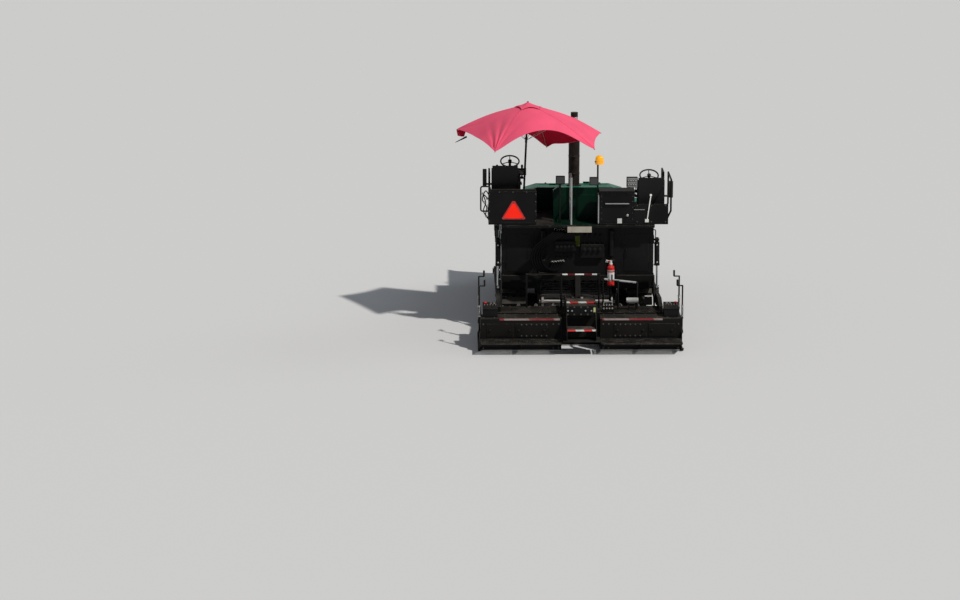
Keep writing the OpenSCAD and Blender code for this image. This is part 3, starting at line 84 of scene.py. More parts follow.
class Graph:
    """Adds nodes to one node tree and joins them."""

    def __init__(self, tree: bpy.types.NodeTree) -> None:
        """Keeps the tree that the nodes go into."""
        self.tree = tree

    def node(self, kind: str, settings: Mapping[str, object] | None = None,
             feeds: Mapping[object, object] | None = None) -> bpy.types.Node:
        """Adds one node.

        Args:
            kind: Blender's name for the node.
            settings: Properties of the node.
            feeds: A link or a plain value for each input, by name or number.

        Returns:
            The new node.
        """
        made = self.tree.nodes.new(kind)
        for key, value in (settings or {}).items():
            setattr(made, key, value)
        for key, value in (feeds or {}).items():
            if isinstance(value, bpy.types.NodeSocket):
                self.tree.links.new(value, made.inputs[key])
            else:
                made.inputs[key].default_value = value
        return made

    def calc(self, operation: str, a: object, b: object = 0.0, clamp: bool = False) -> bpy.types.NodeSocket:
        """Works out one sum of a and b and returns its socket."""
        return self.node("ShaderNodeMath", {"operation": operation, "use_clamp": clamp},
                         {0: a, 1: b}).outputs[0]

    def between(self, value: object, low: float, high: float, out: Span = (0.0, 1.0)) -> bpy.types.NodeSocket:
        """Maps a value from low and high onto the out range, held at its ends, and returns the socket."""
        made = self.node("ShaderNodeMapRange", {"interpolation_type": "SMOOTHSTEP"},
                         {"Value": value, "From Min": low, "From Max": high, "To Min": out[0],
                          "To Max": out[1]})
        return made.outputs[0]

    def blend(self, share: object, a: object, b: object) -> bpy.types.NodeSocket:
        """Mixes colour a with colour b by share and returns the socket."""
        made = self.node("ShaderNodeMix", {"data_type": "RGBA"}, {0: share, 6: a, 7: b})
        return made.outputs[2]

    def clouds(self, where: object, scale: object, detail: float = 3.0) -> bpy.types.NodeSocket:
        """Returns the value of a noise pattern at a place."""
        return self.node("ShaderNodeTexNoise", {}, {"Vector": where, "Scale": scale,
                                                    "Detail": detail}).outputs[0]


def rgba(colour: Rgb) -> tuple[float, float, float, float]:
    """The colour with full alpha."""
    return (*colour, 1.0)


class Effects:
    """Shader node groups that several finishes share, each built once."""

    _built: dict[str, bpy.types.NodeTree] = {}

    @classmethod
    def _group(cls, name: str, inputs: Mapping[str, float], outputs: Mapping[str, str],
               fill: Callable[[Graph, bpy.types.Node, bpy.types.Node], None]) -> bpy.types.NodeTree:
        """Builds a group on its first use.

        Args:
            name: Name of the group.
            inputs: Float inputs with their defaults.
            outputs: Outputs with their socket types.
            fill: Adds the nodes between the two ends.

        Returns:
            The node group.
        """
        if name not in cls._built:
            tree = bpy.data.node_groups.new(name, "ShaderNodeTree")
            for key, value in inputs.items():
                tree.interface.new_socket(key, in_out="INPUT",
                                          socket_type="NodeSocketFloat").default_value = value
            for key, kind in outputs.items():
                tree.interface.new_socket(key, in_out="OUTPUT", socket_type=kind)
            graph = Graph(tree)
            fill(graph, graph.node("NodeGroupInput"), graph.node("NodeGroupOutput"))
            cls._built[name] = tree
        return cls._built[name]

    @classmethod
    def dust(cls) -> bpy.types.NodeTree:
        """Dust that settles on faces that look up, in drifts and specks."""
        def fill(g: Graph, start: bpy.types.Node, end: bpy.types.Node) -> None:
            """Adds the nodes of the dust mask."""
            place = g.node("ShaderNodeTexCoord")
            up = g.node("ShaderNodeSeparateXYZ", {}, {0: place.outputs["Normal"]}).outputs[2]
            level = g.between(up, 0.15, 0.95)
            drift = g.between(g.clouds(place.outputs["Object"], start.outputs["Scale"], 5.0), 0.32, 0.68)
            specks = g.clouds(place.outputs["Object"], g.calc("MULTIPLY", start.outputs["Scale"], 14.0), 2.0)
            patchy = g.calc("MULTIPLY", g.calc("ADD", g.calc("MULTIPLY", drift, 0.7), 0.3), specks)
            both = g.calc("MULTIPLY", g.calc("ADD", g.calc("MULTIPLY", level, 1.5), 0.12), patchy)
            g.tree.links.new(g.calc("MULTIPLY", both, start.outputs["Amount"], True), end.inputs["Mask"])
        return cls._group("settled_dust", {"Scale": 3.0, "Amount": 0.5}, {"Mask": "NodeSocketFloat"}, fill)

    @classmethod
    def wear(cls) -> bpy.types.NodeTree:
        """Rubbed edges and the rounded normal of a plate's edge."""
        def fill(g: Graph, start: bpy.types.Node, end: bpy.types.Node) -> None:
            """Adds the nodes of the wear mask."""
            place = g.node("ShaderNodeTexCoord")
            rounded = g.node("ShaderNodeBevel", {"samples": 3},
                             {"Radius": start.outputs["Radius"]}).outputs[0]
            flat = g.node("ShaderNodeNewGeometry").outputs["Normal"]
            same = g.node("ShaderNodeVectorMath", {"operation": "DOT_PRODUCT"},
                          {0: rounded, 1: flat}).outputs["Value"]
            edge = g.between(g.calc("SUBTRACT", 1.0, same), 0.015, 0.16)
            rub = g.between(g.clouds(place.outputs["Object"], start.outputs["Scale"], 6.0), 0.42, 0.62)
            g.tree.links.new(g.calc("MULTIPLY", g.calc("MULTIPLY", edge, rub), start.outputs["Amount"], True),
                             end.inputs["Mask"])
            g.tree.links.new(rounded, end.inputs["Normal"])
        return cls._group("rubbed_edges", {"Radius": 0.004, "Scale": 9.0, "Amount": 0.5},
                          {"Mask": "NodeSocketFloat", "Normal": "NodeSocketVector"}, fill)

    @classmethod
    def streaks(cls) -> bpy.types.NodeTree:
        """Grime that has run down upright faces."""
        def fill(g: Graph, start: bpy.types.Node, end: bpy.types.Node) -> None:
            """Adds the nodes of the run-down grime."""
            place = g.node("ShaderNodeTexCoord")
            drawn = g.node("ShaderNodeMapping", {}, {"Vector": place.outputs["Object"],
                                                     "Scale": (1.0, 1.0, 0.06)})
            runs = g.between(g.clouds(drawn.outputs[0], start.outputs["Scale"], 4.0), 0.5, 0.75)
            g.tree.links.new(g.calc("MULTIPLY", runs, start.outputs["Amount"], True), end.inputs["Mask"])
        return cls._group("grime_runs", {"Scale": 12.0, "Amount": 0.4}, {"Mask": "NodeSocketFloat"}, fill)

    @classmethod
    def grain(cls) -> bpy.types.NodeTree:
        """Fine unevenness of a surface, as a height and a mottle."""
        def fill(g: Graph, start: bpy.types.Node, end: bpy.types.Node) -> None:
            """Adds the nodes of the grain."""
            place = g.node("ShaderNodeTexCoord")
            fine = g.clouds(place.outputs["Object"], start.outputs["Scale"], 3.0)
            broad = g.clouds(place.outputs["Object"], 1.7, 4.0)
            g.tree.links.new(fine, end.inputs["Height"])
            g.tree.links.new(g.between(broad, 0.3, 0.7), end.inputs["Mottle"])
        return cls._group("surface_grain", {"Scale": 220.0},
                          {"Height": "NodeSocketFloat", "Mottle": "NodeSocketFloat"}, fill)

    @classmethod
    def studs(cls) -> bpy.types.NodeTree:
        """Raised lozenges of a tread plate, seen from above."""
        def fill(g: Graph, start: bpy.types.Node, end: bpy.types.Node) -> None:
            """Adds the nodes of the lozenges."""
            split = g.node("ShaderNodeSeparateXYZ", {},
                           {0: g.node("ShaderNodeTexCoord").outputs["Object"]}).outputs
            per_metre = start.outputs["Count"]
            u = g.calc("MULTIPLY", g.calc("ADD", split[0], split[1]), per_metre)
            v = g.calc("MULTIPLY", g.calc("SUBTRACT", split[0], split[1]), per_metre)
            one = g.calc("MULTIPLY", g.calc("SINE", u), g.calc("SINE", g.calc("MULTIPLY", v, 0.4)))
            two = g.calc("MULTIPLY", g.calc("COSINE", v), g.calc("COSINE", g.calc("MULTIPLY", u, 0.4)))
            g.tree.links.new(g.between(g.calc("MAXIMUM", one, two), 0.5, 0.7), end.inputs["Height"])
        return cls._group("tread_lozenges", {"Count": 110.0}, {"Height": "NodeSocketFloat"}, fill)

    @classmethod
    def bands(cls) -> bpy.types.NodeTree:
        """Slanted or square bands along the machine's width, as a mask of the second colour."""
        def fill(g: Graph, start: bpy.types.Node, end: bpy.types.Node) -> None:
            """Adds the nodes of the bands."""
            split = g.node("ShaderNodeSeparateXYZ", {},
                           {0: g.node("ShaderNodeTexCoord").outputs["Object"]}).outputs
            run = g.calc("ADD", split[0], g.calc("MULTIPLY", split[2], start.outputs["Slant"]))
            place = g.calc("FRACT", g.calc("DIVIDE", g.calc("ADD", run, 40.0), start.outputs["Pitch"]))
            g.tree.links.new(g.between(place, 0.49, 0.51), end.inputs["Mask"])
        return cls._group("tape_bands", {"Pitch": 0.3, "Slant": 0.0}, {"Mask": "NodeSocketFloat"}, fill)


class Finish:
    """Base of the finishes: a material built on first use."""

    name: str

    def material(self) -> bpy.types.Material:
        """Returns the material, built once."""
        known = bpy.data.materials.get(self.name)
        if known is None:
            known = bpy.data.materials.new(self.name)
            known.use_nodes = True
            known.node_tree.nodes.clear()
            graph = Graph(known.node_tree)
            shader = graph.node("ShaderNodeBsdfPrincipled")
            graph.node("ShaderNodeOutputMaterial", {}, {"Surface": shader.outputs[0]})
            self.dress(graph, shader)
            known.diffuse_color = rgba(getattr(self, "colour", (0.5, 0.5, 0.5)))
        return known

    def dress(self, g: Graph, shader: bpy.types.Node) -> None:
        """Joins the finish's own nodes to the shader."""
        raise NotImplementedError

    @staticmethod
    def group(g: Graph, tree: bpy.types.NodeTree, **values: float) -> bpy.types.Node:
        """Places a shared effect with its own values and returns its node."""
        made = g.node("ShaderNodeGroup", {"node_tree": tree})
        for key, value in values.items():
            made.inputs[key.capitalize()].default_value = value
        return made


@dataclass(frozen=True)
class Paint(Finish):
    """Paint on steel plate: mottle, dust on top, runs of grime and rubbed edges, with optional painted light:
    a sky reflection painted onto up-facing faces and a painted glow.
    """

    name: str
    colour: Rgb
    roughness: float = 0.42
    dust: float = 0.5
    wear: float = 0.5
    grime: float = 0.35
    bare: Rgb = (0.36, 0.34, 0.31)
    tread: bool = False
    # painted_top_reflection: lighter colour blended onto up-facing faces, a painted reflection of the sky
    painted_top_reflection: Rgb | None = None
    shine: float = 0.12
    glow: float = 0.0

    def dress(self, g: Graph, shader: bpy.types.Node) -> None:
        """Joins the paint's nodes to the shader."""
        dust = self.group(g, Effects.dust(), scale=2.6, amount=self.dust).outputs[0]
        worn = self.group(g, Effects.wear(), radius=0.004, scale=8.0, amount=self.wear)
        runs = self.group(g, Effects.streaks(), scale=11.0, amount=self.grime).outputs[0]
        grain = self.group(g, Effects.grain(), scale=260.0).outputs
        shader.inputs["Specular IOR Level"].default_value = self.shine
        # glow makes the paint emit its own colour: painted light on a part that is no lamp.
        if self.glow:
            shader.inputs["Emission Color"].default_value = rgba(self.colour)
            shader.inputs["Emission Strength"].default_value = self.glow
        light = tuple(min(1.0, c * 1.25 + 0.001) for c in self.colour)
        dark = tuple(c * 0.78 for c in self.colour)
        paint = g.blend(grain["Mottle"], rgba(dark), rgba(light))
        paint = g.blend(runs, paint, rgba(tuple(c * 0.4 + 0.003 for c in self.colour)))
        # Up-facing faces are painted lighter: a painted reflection of the sky on the tops.
        if self.painted_top_reflection:
            up = g.node("ShaderNodeSeparateXYZ", {},
                        {0: g.node("ShaderNodeTexCoord").outputs["Normal"]}).outputs[2]
            paint = g.blend(g.between(up, 0.6, 0.97), paint, rgba(self.painted_top_reflection))
        paint = g.blend(worn.outputs["Mask"], paint, rgba(self.bare))
        paint = g.blend(dust, paint, rgba(ROAD_DUST))
        g.tree.links.new(paint, shader.inputs["Base Color"])
        rough = g.calc("ADD", g.calc("MULTIPLY", dust, 0.45), self.roughness)
        rough = g.calc("ADD", rough, g.calc("MULTIPLY", grain["Mottle"], 0.1), True)
        g.tree.links.new(rough, shader.inputs["Roughness"])
        g.tree.links.new(g.calc("MULTIPLY", worn.outputs["Mask"], 0.7), shader.inputs["Metallic"])
        height = grain["Height"]
        depth = 0.0006
        if self.tread:
            lozenge = self.group(g, Effects.studs(), count=110.0).outputs[0]
            height, depth = g.calc("ADD", g.calc("MULTIPLY", height, 0.15), lozenge), 0.0025
        bump = g.node("ShaderNodeBump", {}, {"Strength": 0.5, "Distance": depth, "Height": height,
                                             "Normal": worn.outputs["Normal"]})
        g.tree.links.new(bump.outputs[0], shader.inputs["Normal"])


@dataclass(frozen=True)
class Metal(Finish):
    """Bare or plated metal with drawn scratches, heat or rust in patches."""

    name: str
    colour: Rgb
    stain: Rgb = (0.16, 0.1, 0.06)
    roughness: float = 0.35
    stained: float = 0.3
    dust: float = 0.25
    metallic: float = 1.0

    def dress(self, g: Graph, shader: bpy.types.Node) -> None:
        """Joins the metal's nodes to the shader."""
        place = g.node("ShaderNodeTexCoord").outputs["Object"]
        dust = self.group(g, Effects.dust(), scale=4.0, amount=self.dust).outputs[0]
        worn = self.group(g, Effects.wear(), radius=0.003, scale=14.0, amount=0.4)
        grain = self.group(g, Effects.grain(), scale=400.0).outputs
        patch = g.between(g.clouds(place, 7.0, 7.0), 0.45, 0.7)
        stain = g.calc("MULTIPLY", patch, self.stained)
        colour = g.blend(stain, rgba(self.colour), rgba(self.stain))
        colour = g.blend(dust, colour, rgba(ROAD_DUST))
        g.tree.links.new(colour, shader.inputs["Base Color"])
        cover = g.calc("ADD", stain, dust, True)
        g.tree.links.new(g.calc("MULTIPLY", g.calc("SUBTRACT", 1.0, cover, True), self.metallic),
                         shader.inputs["Metallic"])
        drawn = g.node("ShaderNodeMapping", {}, {"Vector": place, "Scale": (6.0, 60.0, 60.0)}).outputs[0]
        scratch = g.calc("MULTIPLY", g.clouds(drawn, 6.0, 3.0), 0.18)
        rough = g.calc("ADD", g.calc("ADD", scratch, self.roughness), g.calc("MULTIPLY", cover, 0.4), True)
        g.tree.links.new(rough, shader.inputs["Roughness"])
        bump = g.node("ShaderNodeBump", {}, {"Strength": 0.35, "Distance": 0.0005, "Height": grain["Height"],
                                             "Normal": worn.outputs["Normal"]})
        g.tree.links.new(bump.outputs[0], shader.inputs["Normal"])


@dataclass(frozen=True)
class Rubber(Finish):
    """Moulded rubber or plastic: matt, scuffed pale on its edges."""

    name: str
    colour: Rgb
    roughness: float = 0.7
    dust: float = 0.6
    scuff: float = 0.4
    grain_scale: float = 500.0
    shine: float = 0.25

    def dress(self, g: Graph, shader: bpy.types.Node) -> None:
        """Joins the rubber's nodes to the shader."""
        dust = self.group(g, Effects.dust(), scale=6.0, amount=self.dust).outputs[0]
        worn = self.group(g, Effects.wear(), radius=0.003, scale=20.0, amount=self.scuff)
        grain = self.group(g, Effects.grain(), scale=self.grain_scale).outputs
        colour = g.blend(grain["Mottle"], rgba(tuple(c * 0.75 for c in self.colour)),
                         rgba(tuple(c * 1.3 + 0.001 for c in self.colour)))
        colour = g.blend(worn.outputs["Mask"], colour, rgba(tuple(c * 0.5 + 0.06 for c in self.colour)))
        shader.inputs["Specular IOR Level"].default_value = self.shine
        colour = g.blend(dust, colour, rgba(ROAD_DUST))
        g.tree.links.new(colour, shader.inputs["Base Color"])
        g.tree.links.new(g.calc("ADD", g.calc("MULTIPLY", grain["Height"], 0.15), self.roughness, True),
                         shader.inputs["Roughness"])
        bump = g.node("ShaderNodeBump", {}, {"Strength": 0.5, "Distance": 0.0008, "Height": grain["Height"],
                                             "Normal": worn.outputs["Normal"]})
        g.tree.links.new(bump.outputs[0], shader.inputs["Normal"])


@dataclass(frozen=True)
class Vinyl(Finish):
    """Seat cover with a pebbled leather grain."""

    name: str
    colour: Rgb

    def dress(self, g: Graph, shader: bpy.types.Node) -> None:
        """Joins the cover's nodes to the shader."""
        place = g.node("ShaderNodeTexCoord").outputs["Object"]
        pebble = g.node("ShaderNodeTexVoronoi", {"feature": "DISTANCE_TO_EDGE"},
                        {"Vector": place, "Scale": 240.0})
        height = g.between(pebble.outputs[0], 0.0, 0.25)
        shader.inputs["Specular IOR Level"].default_value = 0.3
        dust = self.group(g, Effects.dust(), scale=7.0, amount=0.35).outputs[0]
        # The grooves between the pebbles are painted darker: painted shade in the grain.
        colour = g.blend(height, rgba(tuple(c * 0.5 for c in self.colour)), rgba(self.colour))
        g.tree.links.new(g.blend(dust, colour, rgba(ROAD_DUST)), shader.inputs["Base Color"])
        g.tree.links.new(g.calc("ADD", g.calc("MULTIPLY", dust, 0.4), 0.45, True), shader.inputs["Roughness"])
        bump = g.node("ShaderNodeBump", {}, {"Strength": 0.6, "Distance": 0.0007, "Height": height})
        g.tree.links.new(bump.outputs[0], shader.inputs["Normal"])


@dataclass(frozen=True)
class Canvas(Finish):
    """Woven umbrella cloth with a fine weave; its back faces take a darker, deeper red: painted shade under
    the canopy and painted light through the cloth.
    """

    name: str
    colour: Rgb
    # inside: colour of the back faces, painted shade and light seen through the cloth
    inside: Rgb
    threads: float = 420.0

    def dress(self, g: Graph, shader: bpy.types.Node) -> None:
        """Joins the cloth's nodes to the shader."""
        way = g.node("ShaderNodeSeparateXYZ", {},
                     {0: g.node("ShaderNodeUVMap", {"uv_map": "cloth"}).outputs[0]}).outputs
        warp = g.calc("SINE", g.calc("MULTIPLY", way[0], self.threads * math.tau))
        weft = g.calc("SINE", g.calc("MULTIPLY", way[1], self.threads * math.tau))
        weave = g.calc("MULTIPLY", warp, weft)
        place = g.node("ShaderNodeTexCoord").outputs["Object"]
        fade = g.between(g.clouds(place, 1.6, 4.0), 0.3, 0.7)
        front = g.blend(fade, rgba(tuple(c * 0.86 for c in self.colour)), rgba(self.colour))
        # Back faces get the darker inside colour: painted shade and light through the cloth.
        shaded_back = g.blend(fade, rgba(tuple(c * 0.8 for c in self.inside)), rgba(self.inside))
        back = g.node("ShaderNodeNewGeometry").outputs["Backfacing"]
        g.tree.links.new(g.blend(back, front, shaded_back), shader.inputs["Base Color"])
        shader.inputs["Roughness"].default_value = 0.78
        shader.inputs["Specular IOR Level"].default_value = 0.1
        shader.inputs["Sheen Weight"].default_value = 0.05
        bump = g.node("ShaderNodeBump", {}, {"Strength": 0.2, "Distance": 0.00012, "Height": weave})
        g.tree.links.new(bump.outputs[0], shader.inputs["Normal"])


@dataclass(frozen=True)
class Tape(Finish):
    """Reflective tape in red and white bands, a little dirty."""

    name: str
    pitch: float = 0.3
    slant: float = 0.0
    colour: Rgb = (0.62, 0.02, 0.02)
    pale: Rgb = (0.72, 0.71, 0.68)

    def dress(self, g: Graph, shader: bpy.types.Node) -> None:
        """Joins the tape's nodes to the shader."""
        bands = self.group(g, Effects.bands(), pitch=self.pitch, slant=self.slant).outputs[0]
        place = g.node("ShaderNodeTexCoord").outputs["Object"]
        cells = g.node("ShaderNodeTexVoronoi", {"feature": "DISTANCE_TO_EDGE"},
                       {"Vector": place, "Scale": 130.0})
        dirt = g.between(g.clouds(place, 9.0, 6.0), 0.45, 0.75, (0.0, 0.5))
        colour = g.blend(bands, rgba(self.colour), rgba(self.pale))
        g.tree.links.new(g.blend(dirt, colour, rgba((0.16, 0.13, 0.1))), shader.inputs["Base Color"])
        shader.inputs["Roughness"].default_value = 0.28
        bump = g.node("ShaderNodeBump", {}, {"Strength": 0.3, "Distance": 0.0004, "Height": cells.outputs[0]})
        g.tree.links.new(bump.outputs[0], shader.inputs["Normal"])


@dataclass(frozen=True)
class Lens(Finish):
    """Clear or tinted moulded lens with a prismatic inside."""

    name: str
    colour: Rgb
    glow: float = 0.0

    def dress(self, g: Graph, shader: bpy.types.Node) -> None:
        """Joins the lens's nodes to the shader."""
        place = g.node("ShaderNodeTexCoord").outputs["Object"]
        ribs = g.node("ShaderNodeTexVoronoi", {"feature": "F1"}, {"Vector": place, "Scale": 70.0}).outputs[0]
        light = tuple(min(1.0, c * 1.15) for c in self.colour)
        # Each prism cell is painted lighter in its middle and darker at its rim: painted light and shade on
        # the facets.
        g.tree.links.new(g.blend(ribs, rgba(light), rgba(tuple(c * 0.7 for c in self.colour))),
                         shader.inputs["Base Color"])
        shader.inputs["Roughness"].default_value = 0.12
        shader.inputs["Coat Weight"].default_value = 0.6
        if self.glow:
            shader.inputs["Emission Color"].default_value = rgba(self.colour)
            shader.inputs["Emission Strength"].default_value = self.glow
        bump = g.node("ShaderNodeBump", {}, {"Strength": 0.4, "Distance": 0.002, "Height": ribs})
        g.tree.links.new(bump.outputs[0], shader.inputs["Normal"])


class Shop:
    """The finishes of this machine."""

    BLACK = Paint("satin_black", (0.005, 0.005, 0.0053), dust=0.1, wear=0.35)
    BLACK_CLEAN = Paint("black_box_paint", (0.0045, 0.0045, 0.005), roughness=0.34, dust=0.06, wear=0.2)
    SCREED = Paint("screed_black", (0.0055, 0.0053, 0.005), roughness=0.5, dust=0.1, wear=0.6, grime=0.5)
    # The hood green turns lighter teal on its tops: painted reflection of the sky.
    GREEN = Paint("hood_green", (0.0006, 0.017, 0.009), roughness=0.3, dust=0.04, wear=0.12, grime=0.3,
                  painted_top_reflection=(0.012, 0.14, 0.08), shine=0.06)
    DECK = Paint("deck_plate", (0.006, 0.006, 0.0055), roughness=0.55, dust=0.08, wear=0.6, tread=True)
    # Very dark green for the sheet on the deck: painted shade, standing for the deck in shadow.
    DECK_SHADE = Paint("deck_shade_paint", (0.0005, 0.012, 0.0065), roughness=0.4, shine=0.04, dust=0.01, wear=0.2)
    PLANK = Paint("dusty_board", (0.36, 0.33, 0.27), roughness=0.75, dust=0.5, wear=0.1)
    OLIVE = Paint("olive_plate", (0.05, 0.065, 0.006), dust=0.1)
    PALE_PLATE = Paint("pale_plate", (0.45, 0.5, 0.22), dust=0.1)
    GREY = Paint("pale_rail_paint", (0.3, 0.31, 0.31), roughness=0.4, dust=0.25, wear=0.5)
    HOPPER = Paint("hopper_worn", (0.01, 0.01, 0.0105), roughness=0.45, dust=0.5, wear=1.0, grime=0.7)
    RED = Paint("gloss_red", (0.55, 0.012, 0.01), roughness=0.22, dust=0.15, wear=0.3)
    DEEP_RED = Paint("deep_red", (0.12, 0.006, 0.01), roughness=0.3, dust=0.1, wear=0.1)
    WHITE = Paint("white_plate", (0.7, 0.7, 0.68), roughness=0.4, dust=0.3, wear=0.3)
    ENGINE = Metal("engine_cast", (0.24, 0.24, 0.24), roughness=0.6, stained=0.5, metallic=0.4)
    STEEL = Metal("rubbed_steel", (0.38, 0.37, 0.36), roughness=0.38, stained=0.45)
    BRIGHT = Metal("bright_steel", (0.6, 0.6, 0.6), roughness=0.25, stained=0.12, dust=0.1)
    CHROME = Metal("chrome_rod", (0.75, 0.75, 0.76), roughness=0.08, stained=0.03, dust=0.05)
    ZINC = Metal("zinc_fastener", (0.5, 0.49, 0.46), roughness=0.4, stained=0.35, dust=0.2)
    FASTENER = Metal("dark_fastener", (0.09, 0.088, 0.085), roughness=0.45, stained=0.4, dust=0.15,
                     metallic=0.8)
    STACK = Metal("browned_stack", (0.014, 0.008, 0.007), stain=(0.03, 0.014, 0.009), roughness=0.5,
                  stained=0.5, metallic=0.6)
    GRATE = Metal("grating_steel", (0.05, 0.048, 0.045), roughness=0.5, stained=0.5, dust=0.12)
    TRACK = Rubber("worn_track_pad", (0.009, 0.009, 0.009), dust=0.35, scuff=0.5)
    HOSE = Rubber("black_hose", (0.0035, 0.0035, 0.004), roughness=0.6, dust=0.0, scuff=0.0, shine=0.04)
    PLASTIC = Rubber("black_moulding", (0.0045, 0.0045, 0.005), roughness=0.4, dust=0.05, scuff=0.1)
    VINYL = Vinyl("pebbled_vinyl", (0.007, 0.0055, 0.005))
    # The darker inside colour, and the cloth that uses it on both faces, are painted shade and light through
    # the cloth.
    CLOTH = Canvas("umbrella_cloth", (0.86, 0.1, 0.19), (0.6, 0.006, 0.035))
    CLOTH_SHADED = Canvas("umbrella_cloth_shaded", (0.5, 0.006, 0.035), (0.5, 0.006, 0.035))
    # The warning film glows a little: painted light that keeps the reflective red bright.
    FILM = Paint("warning_film", (0.95, 0.02, 0.008), glow=0.3, roughness=0.35, dust=0.08, wear=0.0,
                 grime=0.1)
    FILM_EDGE = Tape("warning_border", pitch=9.0, colour=(0.45, 0.01, 0.012), pale=(0.45, 0.01, 0.012))
    TAPE = Tape("red_white_tape", pitch=0.3, slant=0.6)
    DIRTY_TAPE = Tape("dirty_tape", pitch=0.9, slant=0.6, colour=(0.22, 0.008, 0.014), pale=(0.3, 0.22, 0.21))
    AMBER = Lens("amber_dome", (0.95, 0.4, 0.01), glow=0.3)
    CLEAR = Lens("clear_lens", (0.7, 0.72, 0.72))
    DARK_GLASS = Lens("dark_glass", (0.02, 0.021, 0.023))


class Shape:
    """A mesh under construction, in metres from the machine's datum."""

    def __init__(self) -> None:
        """Starts empty."""
        self.bm = bmesh.new()

    def grid(self, rings: Sequence[Sequence[Vector]], closed: bool, caps: bool) -> None:
        """Skins rings of points, each ring closed.

        Args:
            rings: Rings with the same number of points.
            closed: The last ring joins the first.
            caps: The two ends get a face.
        """
        rows = [[self.bm.verts.new(p) for p in ring] for ring in rings]
        n = len(rows[0])
        pairs = list(zip(rows, rows[1:])) + ([(rows[-1], rows[0])] if closed else [])
        for a, b in pairs:
            for j in range(n):
                k = (j + 1) % n
                self.bm.faces.new((a[j], a[k], b[k], b[j]))
        if caps and not closed:
            self.bm.faces.new(list(reversed(rows[0])))
            self.bm.faces.new(rows[-1])

    def prism(self, axis: Axis, span: Span, outline: Sequence[Span]) -> "Shape":
        """Extrudes an outline of the two other axes, in their order, along an axis."""
        def put(u: float, v: float, w: float) -> Vector:
            """Puts the outline's point at w along the axis."""
            return Vector({Axis.ACROSS: (w, u, v), Axis.ALONG: (u, w, v), Axis.UP: (u, v, w)}[axis])
        area = sum(a[0] * b[1] - b[0] * a[1] for a, b in zip(outline, [*outline[1:], outline[0]]))
        turned = (area > 0) != (axis is Axis.ALONG)
        ring = list(outline) if turned else list(reversed(outline))
        self.grid([[put(*p, w) for p in ring] for w in sorted(span)], False, True)
        return self

    def box(self, x: Span, y: Span, z: Span) -> "Shape":
        """Adds a block between two corners."""
        return self.prism(Axis.UP, z, [(x[0], y[0]), (x[1], y[0]), (x[1], y[1]), (x[0], y[1])])

    def lathe(self, start: Point, direction: Point, profile: Sequence[Span], sides: int = 28) -> "Shape":
        """Turns a profile of (distance along the axis, radius) round an axis.

        Args:
            start: Point where the axis starts.
            direction: The axis.
            profile: Rows of distance and radius, from the start on.
            sides: Facets round the axis.

        Returns:
            The shape, for more calls.
        """
        way = Vector(direction).normalized()
        turn = way.to_track_quat("Z", "Y").to_matrix()
        rings = []
        for along, radius in profile:
            r = max(radius, 0.0002)
            rings.append([Vector(start) + turn @ Vector((r * math.cos(a), r * math.sin(a), along))
                          for a in (math.tau * j / sides for j in range(sides))])
        self.grid(rings, False, True)
        return self

    def rod(self, start: Point, end: Point, radius: float, sides: int = 20, chamfer: float = 0.0) -> "Shape":
        """Adds a round bar from start to end."""
        way = Vector(end) - Vector(start)
        long = way.length
        c = min(chamfer, radius * 0.8, long / 3)
        profile = [(0, radius), (long, radius)] if c <= 0 else \
            [(0, radius - c), (c, radius), (long - c, radius), (long, radius - c)]
        return self.lathe(start, tuple(way), profile, sides)

    def sweep(self, path: Sequence[Point], radius: float, sides: int = 12, closed: bool = False) -> "Shape":
        """Sweeps a round section along a path, turned as little as can be."""
        points = [Vector(p) for p in path]
        n = len(points)
        ways = []
        for i in range(n):
            a = points[i - 1] if closed or i else points[0]
            b = points[(i + 1) % n] if closed or i < n - 1 else points[-1]
            ways.append((b - a).normalized())
        u = ways[0].orthogonal().normalized()
        rings = []
        for p, way in zip(points, ways):
            u = (u - way * u.dot(way)).normalized()
            v = way.cross(u)
            rings.append([p + radius * (math.cos(a) * u + math.sin(a) * v)
                          for a in (math.tau * j / sides for j in range(sides))])
        self.grid(rings, closed, True)
        return self

    def flip_to(self, side: Side) -> "Shape":
        """Mirrors a right-hand shape onto its side."""
        if side is Side.LEFT:
            bmesh.ops.scale(self.bm, vec=(-1, 1, 1), verts=self.bm.verts)
            bmesh.ops.reverse_faces(self.bm, faces=self.bm.faces)
        return self

    def both(self) -> "Shape":
        """Adds the mirror image on the other side of the machine."""
        made = bmesh.ops.duplicate(self.bm, geom=list(self.bm.verts) + list(self.bm.edges)
                                   + list(self.bm.faces))
        verts = [g for g in made["geom"] if isinstance(g, bmesh.types.BMVert)]
        faces = [g for g in made["geom"] if isinstance(g, bmesh.types.BMFace)]
        bmesh.ops.scale(self.bm, vec=(-1, 1, 1), verts=verts)
        bmesh.ops.reverse_faces(self.bm, faces=faces)
        return self


def smooth_path(points: Sequence[Point], steps: int = 6) -> list[Vector]:
    """Runs a Catmull-Rom curve through the points.

    Args:
        points: Points to pass through.
        steps: New points for each stretch.

    Returns:
        The points of the curve.
    """
    p = [Vector(q) for q in points]
    p = [2 * p[0] - p[1], *p, 2 * p[-1] - p[-2]]
    out = []
    for a, b, c, d in zip(p, p[1:], p[2:], p[3:]):
        for k in range(steps):
            t = k / steps
            out.append(0.5 * (2 * b + (c - a) * t + (2 * a - 5 * b + 4 * c - d) * t * t
                              + (3 * b - a - 3 * c + d) * t ** 3))
    return [*out, p[-2]]


@dataclass(frozen=True)
class Home:
    """Where a piece belongs: its body, its material slot and the nodes that it stands for."""

    body: str
    slot: str
    replaces: tuple[str, ...] = ()


